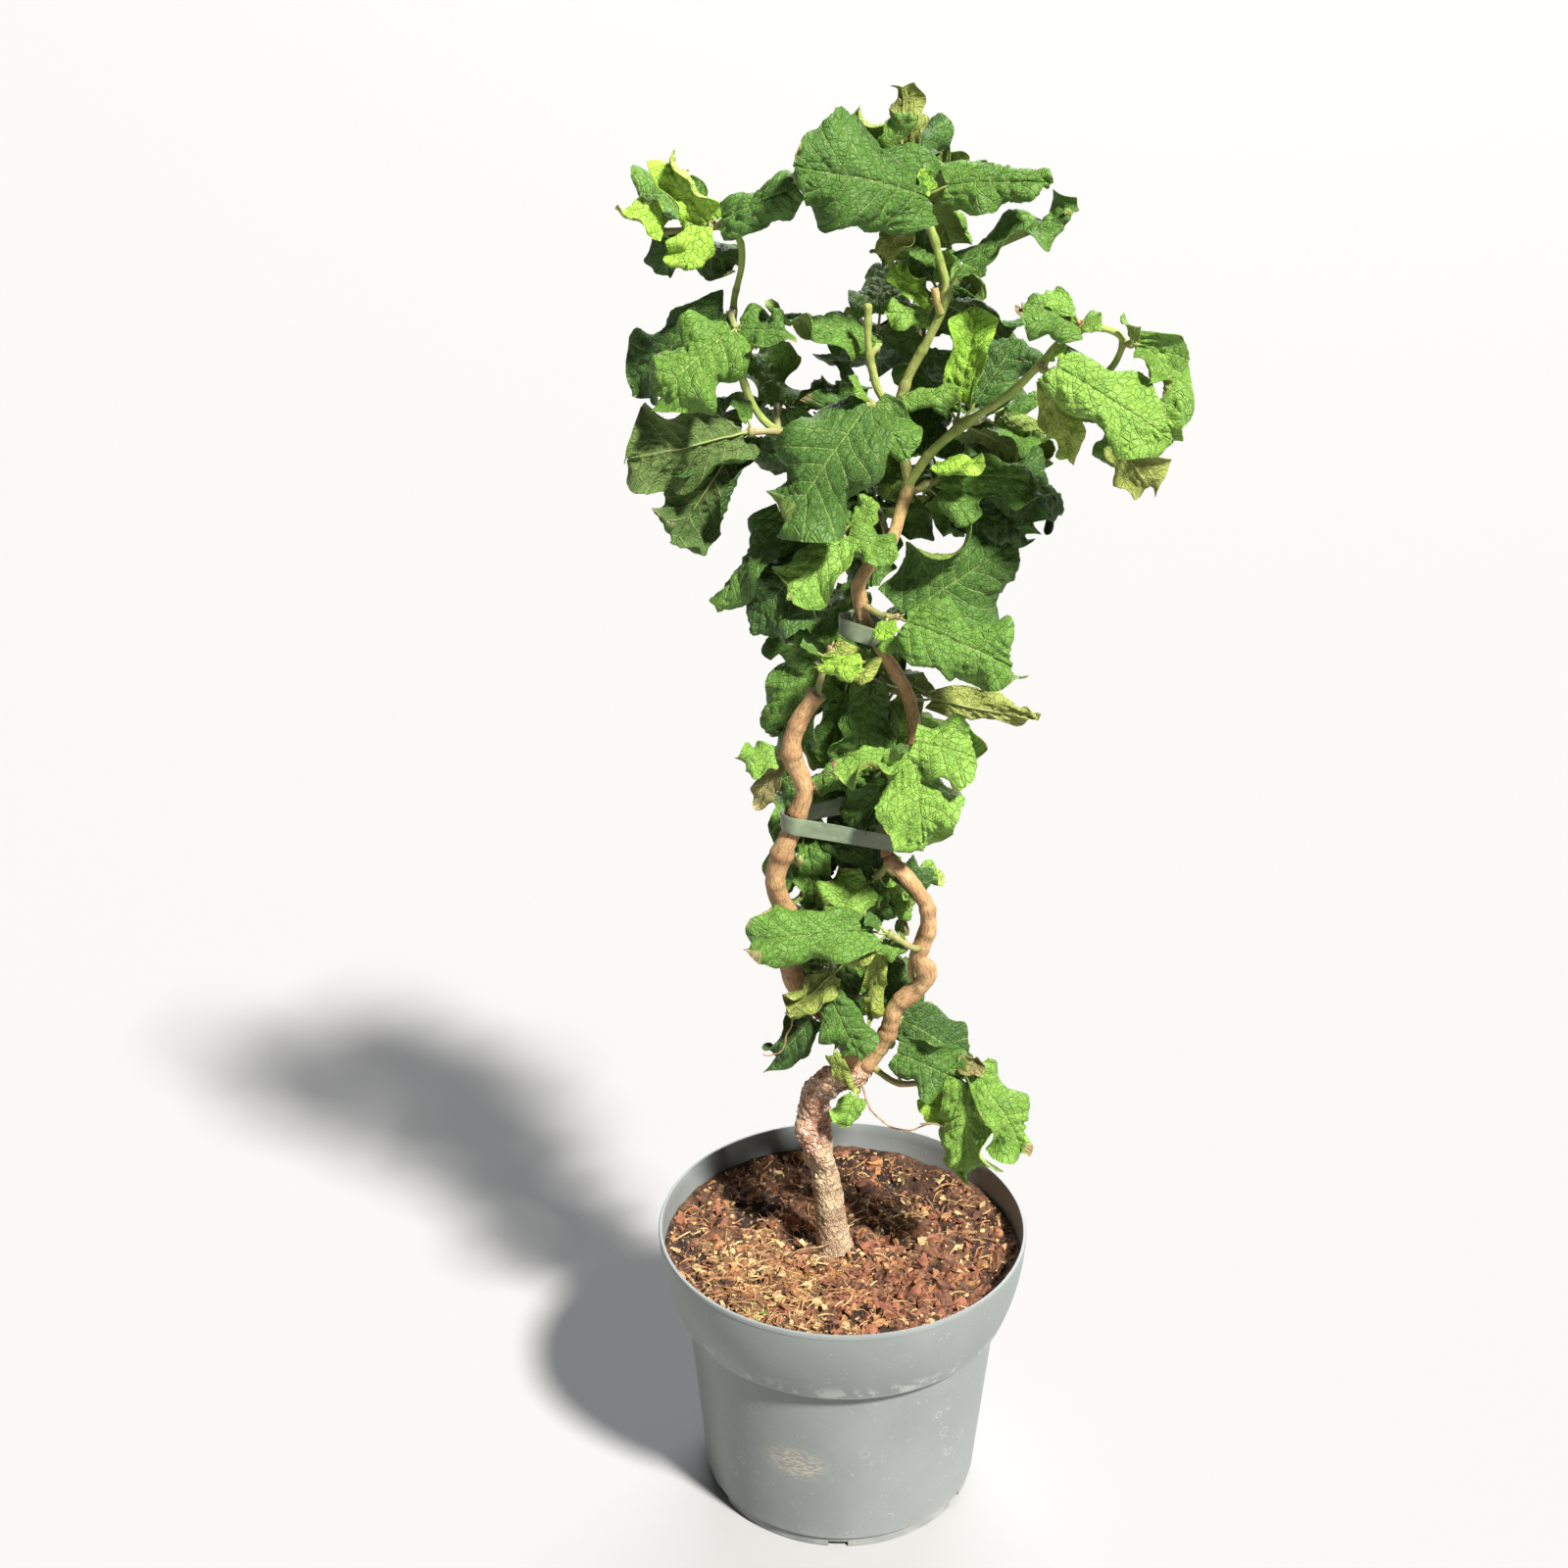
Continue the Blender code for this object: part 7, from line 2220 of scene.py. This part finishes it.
@dataclass
class Foliage:
    """Every leaf with its stalk, and every twig with its buds and small young leaves."""

    growth: Growth
    finishes: Finishes
    cell: float = 1.42
    thick: float = 0.45
    worn_below: float = 0.60
    vein_gap: float = 8.5
    ladder_gap: float = 4.8
    tooth_gap: float = 3.4
    quilt: float = 4.6
    crumple: float = 15.0
    spray_room: float = 2.2
    limb_room: float = 1.8
    eases: int = 6
    tries: int = 12
    midribs: dict[str, Array] = field(default_factory=dict)

    def relief(self, t: Array, row: Array, x: Array, y: Array, key: str) -> Array:
        """Height of the upper face over the folded blade, in millimetres.

        Args:
            t: Stations across.
            row: Count of side veins passed, with its fraction.
            x: Millimetres along.
            y: Millimetres across.
            key: Seed of the leaf.

        Returns:
            Heights, one for each point.
        """
        size = min(1.0, x.max() / 50.0)
        between = np.sin(math.pi * (row % 1.0)) ** 0.7
        inside = np.sin(math.pi * np.clip(np.abs(t), 0, 1) ** 0.7) ** 0.5
        ladder = np.sin(TURN * (y / self.ladder_gap + 0.45 * Waves(key + " drift", 16.0, 5).at(x, y)))
        high = size * between * inside * (1.45 + 0.75 * ladder)
        high = high - 0.35 * size * np.exp(-((t / 0.04) ** 2))
        high = high + 0.6 * size * Waves(key + " quilt", self.quilt, 12).at(x, y) * inside
        return high + 0.9 * size * Waves(key + " crumple", self.crumple, 7).at(x, y) * np.abs(t) ** 0.5

    def edge(self, s: Array, t: Array, row: Array, long: float, key: str) -> Array:
        """Moves the stations across, so that the outline gets its lobes and its doubled teeth.

        Args:
            s: Stations along.
            t: Stations across.
            row: Count of side veins passed, with its fraction.
            long: The blade's length in millimetres.
            key: Seed of the leaf.

        Returns:
            The moved stations across.
        """
        dice = random.Random(key + " outline")
        side = np.where(t < 0, dice.uniform(0, 1), dice.uniform(0, 1))
        big = (row % 1.0) - 0.4
        small = ((s * long / self.tooth_gap + side) % 1.0) - 0.4
        lobes = np.sin(TURN * (dice.uniform(2.2, 3.2) * s + side))
        full = 0.30 * np.sin(math.pi * np.clip((s - 0.55) / 0.45, 0, 1))
        blunt = 1.4 * (np.clip((1.02 - s) / 0.3, 0, 1) ** -0.3 - 1)
        share = full + blunt + 0.04 * big + 0.03 * small + 0.03 * lobes
        return t * (1 + share * np.sin(math.pi * np.clip(s * 0.9 + 0.08, 0, 1)) ** 0.5 * np.abs(t) ** 3)

    def folds(self, s: Array, t: Array, long: float, key: str) -> Pair:
        """Folds and rolls, which are gentler on a large leaf.

        Args:
            s: Stations along.
            t: Stations across.
            long: The blade's length in millimetres.
            key: Seed of the leaf.

        Returns:
            How far each place tilts from the plain blade, across and along, in radians.
        """
        dice = random.Random(key + " folds")
        out, across = np.abs(t), np.zeros_like(s)
        calm = float(np.clip(1.5 - long / 90, 0.4, 1.0))
        for half in (t < 0, t >= 0):
            start, slow, fast = dice.uniform(0, 1), dice.uniform(1.1, 2.2), long / dice.uniform(17, 26)
            wave = dice.uniform(0.35, 0.75) * out**0.6 * np.sin(TURN * (slow * s + start))
            frill = dice.uniform(0.08, 0.24) * out**2 * np.sin(TURN * (fast * s + start))
            middle, reach = dice.uniform(0.1, 0.95), dice.uniform(0.2, 0.42)
            turn = dice.choice((-1, -1, 1)) * dice.uniform(1.0, 3.3)
            roll = turn * np.clip((out - 0.4) / 0.6, 0, 1) ** 1.2
            across += np.where(half, wave + frill + calm * roll * np.exp(-(((s - middle) / reach) ** 2)), 0)
        tip = calm * dice.uniform(-1.3, 0.4) * np.clip((s - 0.6) / 0.4, 0, 1) ** 1.5
        along = tip + 0.25 * s * np.sin(TURN * (1.3 * s + dice.uniform(0, 1)))
        return across * min(1.0, long / 35.0), along

    def leaf(self, placed: Placed) -> Piece:
        """One leaf's blade, with a thickness and its two faces' finishes.

        Args:
            placed: The leaf in its place.

        Returns:
            The blade.
        """
        leaf, key = placed.leaf, placed.key
        line = placed.blade(np.linspace(0, 1, 30), np.zeros(30))
        long = run_along(line)[-1] / MM
        rows = int(np.clip(long / self.cell, 9, 70))
        half = int(np.clip(leaf.width / self.cell / 2, 5, 28))
        s, t = np.meshgrid(np.linspace(0, 1, rows + 1), np.linspace(-1, 1, 2 * half + 1), indexing="ij")
        x, y = s * long, t * placed.outline(s) * leaf.width / 2
        count = int(np.clip(round(long / self.vein_gap), 4, 8))
        row = (s - 0.20 * np.abs(t) ** 1.2 * (1 - 0.4 * s)) * count
        row = row + 0.16 * Waves(key + " veins", 26.0, 5).at(x, y)
        points = placed.blade(s, self.edge(s, t, row, long, key))
        across, along = self.folds(s, t, long, key)
        points = folded(points, across, 1, half)
        points = folded(points, along, 0, 0)
        points = points + facing(points) * (self.relief(t, row, x, y, key) * MM)[..., None]
        self.midribs[key] = (points - facing(points) * 0.6 * MM)[1:int(0.7 * rows), half]
        blade = sheet_of("blade", points)
        dice = random.Random(key + " look")
        shade = dice.uniform(-0.6, 0.8)
        wear = dice.uniform(0.0, 0.25)
        if placed.base[2] < self.worn_below:
            wear = dice.uniform(0.25, 1.0)
        note(blade, "look", np.stack([row + 3, np.full_like(s, shade), np.full_like(s, wear)], axis=-1))
        note(blade, "lay", np.stack([x / 10, y / 10, np.full_like(s, dice.uniform(0, 90))], axis=-1))
        painted(blade, *self.finishes.leaves[leaf.tint])
        applied(blade, "SOLIDIFY", thickness=self.thick * MM, offset=0.0, material_offset=1)
        return blade

    def stalk(self, placed: Placed) -> Piece:
        """A leaf's stalk: a little bowed, thicker at its foot, and run out along the midrib.

        Args:
            placed: The leaf in its place.

        Returns:
            The stalk.
        """
        t = np.linspace(0, 1, 10)[:, None]
        span = placed.base - placed.start
        sag = np.array((0, 0, -0.06)) * np.linalg.norm(span)
        path = placed.start + span * t + sag * np.sin(math.pi * t)
        rib = self.midribs[placed.key]
        rib = rib[np.linspace(0, len(rib) - 1, 9).astype(int)]
        path = np.vstack([path[:-1], rib])
        radii = np.concatenate([np.linspace(1.15, 0.8, 9), np.linspace(0.75, 0.25, 9)]) * MM
        radii[:2] = (1.7 * MM, 1.4 * MM)
        return painted(tube("stalk", path, radii, 8), self.finishes.stalk)

    def bud(self, foot: Array, heading: Array, long: float) -> Piece:
        """A plump pointed bud.

        Args:
            foot: Where it sits.
            heading: The way it points.
            long: Its length in millimetres.

        Returns:
            The bud.
        """
        t = np.linspace(0, 1, 7)
        path = foot + unit(heading) * long * MM * t[:, None]
        radii = long * 0.27 * MM * np.sin(math.pi * np.clip(t * 0.82 + 0.18, 0, 0.995)) ** 0.8
        return painted(tube("bud", path, radii, 7), self.finishes.bud)

    def twigs(self, spray: Spray) -> list[Piece]:
        """A spray's stem, its stalks, its buds and its small young leaves.

        Args:
            spray: The spray.

        Returns:
            The pieces.
        """
        path, radii = self.growth.stems[spray.name]
        bends = (tuple(path[0] / MM), *spray.bends[1:])
        fine = curve_through(bends, STEM_STATIONS)
        run = run_along(fine)
        radii = np.interp(run, [0, run[-1]], [radii[0], radii[-1]])
        fine, radii = dense(fine, radii, 1.2 * MM)
        run = run_along(fine)
        for placed in self.growth.placed[spray.name]:
            near = np.linalg.norm(fine - placed.start, axis=1) / (2.2 * MM)
            radii = radii * (1 + 0.22 * np.exp(-(near**2)))
        radii = radii * (1 + 0.06 * Waves(spray.name, 9.0).at(run / MM))
        radii[-2:] *= (0.85, 0.55)
        pieces = [painted(tube("stem", fine, radii, 10), self.finishes.twig)]
        dice = random.Random(spray.name + " buds")
        pieces.append(self.bud(fine[-2], fine[-1] - fine[-4], dice.uniform(3.5, 5.5)))
        for placed in self.growth.placed[spray.name]:
            pieces.append(self.stalk(placed))
            away = unit(placed.base - placed.start)
            lift = unit(away + np.array((dice.uniform(-0.5, 0.5), dice.uniform(-0.5, 0.5), 0.9)))
            pieces.append(self.bud(placed.start + away * 0.8 * MM, lift, dice.uniform(2.6, 4.4)))
        return pieces

    def extra(self, kind: Extra, dice: random.Random) -> Leaf:
        """A small new leaf, or a shaded one that hangs inside.

        Args:
            kind: The kind of leaf.
            dice: Seeded numbers.

        Returns:
            The leaf.
        """
        if kind is Extra.YOUNG:
            heading = unit([dice.uniform(-1, 1), dice.uniform(-1, 0.6), dice.uniform(-0.3, 1)])
            face, long = np.array((0, -0.6, 1.0)) - heading * 0.3, dice.uniform(12, 22)
            tint, at = dice.choice((FRESH, LIGHT, MID, MID)), dice.uniform(0.5, 1.0)
        else:
            heading = unit([dice.uniform(-1, 1), dice.uniform(-0.7, 0.9), dice.uniform(-1.4, 0.5)])
            face, long = np.array((dice.uniform(-0.5, 0.5), -0.9, 0.4)), dice.uniform(30, 60)
            tint, at = dice.choice((DEEP, MID, MID, LIGHT)), dice.uniform(0.05, 1.0)
        return Leaf(at, tuple(heading * dice.uniform(4, 7 + long / 4)), tuple(heading * long), tuple(face),
                    long * dice.uniform(0.65, 0.9), tint,
                    (dice.uniform(-10, 50), dice.uniform(-50, 50), dice.uniform(-50, 50)))

    def within(self, leaf: Leaf, fine: Array) -> bool:
        """Whether an inner leaf on that stem would hang in the column, behind its stems.

        Args:
            leaf: The leaf.
            fine: Stations along the stem.

        Returns:
            Whether it would.
        """
        base = fine[round(leaf.at * (len(fine) - 1))] / MM + leaf.stalk
        ends = np.array([base, base + leaf.reach])
        wide = 46 if ends[1, 2] < 640 else 66
        over, back = np.abs(ends[:, 0] - 4), ends[:, 1]
        return bool((over < wide).all() and back.min() > 0 and back.max() < 66)

    def add_leaves(self) -> None:
        """Adds the leaves that only the scene has, which the rule keeps clear as it does the rest."""
        for region, names in REGIONS.items():
            for spray in (SPRAY[name] for name in names):
                dice = random.Random(spray.name + " more")
                way = curve_through(spray.bends, STEM_STATIONS), self.growth.feet(spray)
                self.growth.place(spray, self.extra(Extra.YOUNG, dice), spray.name + " young", *way)
                for index in range(INNER_LEAVES.get(region, 0)):
                    drawn = [self.extra(Extra.INNER, dice) for _ in range(self.tries)]
                    kept = [leaf for leaf in drawn if self.within(leaf, way[0])]
                    for leaf in kept[:2]:
                        self.growth.place(spray, leaf, f"{spray.name} inner {index} {leaf.at:.3f}", *way)

    def build(self) -> None:
        """Models and dresses the foliage, region by region."""
        self.growth.spray_room, self.growth.limb_room = self.spray_room, self.limb_room
        self.growth.eases = self.growth.eases[:self.eases]
        self.add_leaves()
        for region, names in REGIONS.items():
            blades, twigs = [], []
            for name in names:
                blades += [self.leaf(placed) for placed in self.growth.placed[name]]
                twigs += self.twigs(SPRAY[name])
            leaves = join(region.value + "_leaves", blades)
            smooth(leaves, 85.0)
            finished(leaves, "foliage", *names)
            stems = join(region.value + "_twigs", twigs)
            weld(stems)
            smooth(stems, 80.0)
            finished(stems, "foliage", *names)


@dataclass
class Studio:
    """The pale floor, the soft lights and the camera at the photograph's angle."""

    camera_place: Triple = (0.0, -1.29, 1.11)
    pitch: float = -23.6
    turn: float = 1.84
    lens: float = 49.86

    def camera(self) -> None:
        """Sets the camera."""
        data = bpy.data.cameras.new("camera")
        data.lens, data.sensor_width = self.lens, 36.0
        camera = bpy.data.objects.new("camera", data)
        bpy.context.scene.collection.objects.link(camera)
        camera.location = self.camera_place
        camera.rotation_euler = (math.radians(90 + self.pitch), 0.0, math.radians(self.turn))
        bpy.context.scene.camera = camera

    def lamp(self, name: str, place: Triple, spread: float, power: float, colour: Colour,
             shine: float) -> None:
        """Adds a soft distant lamp that shines towards the plant's middle.

        Args:
            name: The lamp's name.
            place: Where it shines from.
            spread: How wide it looks, in degrees.
            power: Its strength.
            colour: Its colour.
            shine: Its share in highlights.
        """
        data = bpy.data.lights.new(name, "SUN")
        data.angle, data.energy, data.color = math.radians(spread), power, colour
        data.specular_factor = shine
        lamp = bpy.data.objects.new(name, data)
        bpy.context.scene.collection.objects.link(lamp)
        lamp.location = place
        lamp.rotation_euler = (Vector((0, 0, 0.5)) - Vector(place)).to_track_quat("-Z", "Y").to_euler()

    def surroundings(self) -> None:
        """Sets the even light from all around, which is seen as pale as the floor."""
        world = bpy.data.worlds.new("pale_surroundings")
        world.use_nodes = True
        tree = world.node_tree
        dim, pale = tree.nodes["Background"], tree.nodes.new("ShaderNodeBackground")
        mix, path = tree.nodes.new("ShaderNodeMixShader"), tree.nodes.new("ShaderNodeLightPath")
        for light, strength in ((dim, 0.14), (pale, 0.86)):
            light.inputs["Color"].default_value = (0.96, 0.98, 1.0, 1)
            light.inputs["Strength"].default_value = strength
        tree.links.new(path.outputs["Is Camera Ray"], mix.inputs[0])
        tree.links.new(dim.outputs[0], mix.inputs[1])
        tree.links.new(pale.outputs[0], mix.inputs[2])
        tree.links.new(mix.outputs[0], tree.nodes["World Output"].inputs[0])
        bpy.context.scene.world = world

    def build(self) -> None:
        """Sets the floor, the lights and the surroundings."""
        self.camera()
        deselect()
        bpy.ops.mesh.primitive_plane_add(size=60.0)
        finish = Recipe("pale_floor", 0.9, 0.1)
        finish.shader.inputs["Base Color"].default_value = (0.32, 0.32, 0.32, 1)
        painted(named("floor"), finish.material)
        self.surroundings()
        self.lamp("key", (1.35, -1.5, 2.9), spread=7.0, power=9.6, colour=(1.0, 0.975, 0.93), shine=1.0)
        self.lamp("fill", (0.4, 2.6, 2.1), spread=50.0, power=3.2, colour=(0.97, 0.98, 1.0), shine=0.0)
        bpy.context.scene.view_settings.view_transform = "Standard"


def main() -> None:
    """Loads the frame, dresses it and hands over."""
    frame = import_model()
    logging.basicConfig(level=logging.INFO, format="%(name)s %(message)s")
    LOG.info("frame of %d nodes", len(frame["nodes"]))
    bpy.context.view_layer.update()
    Studio().build()
    finishes = Finishes()
    pot, soil = PotShape(), SoilShape()
    NurseryPot(pot).build()
    Compost(soil, pot).build(finishes)
    growth = Growth(pot, soil)
    growth.grow()
    Wood(growth, finishes).build()
    straps = Straps(StrapFinish().material())
    for tie in TIES:
        straps.strap(tie)
    Foliage(growth, finishes).build()


if __name__ == "__main__":
    main()
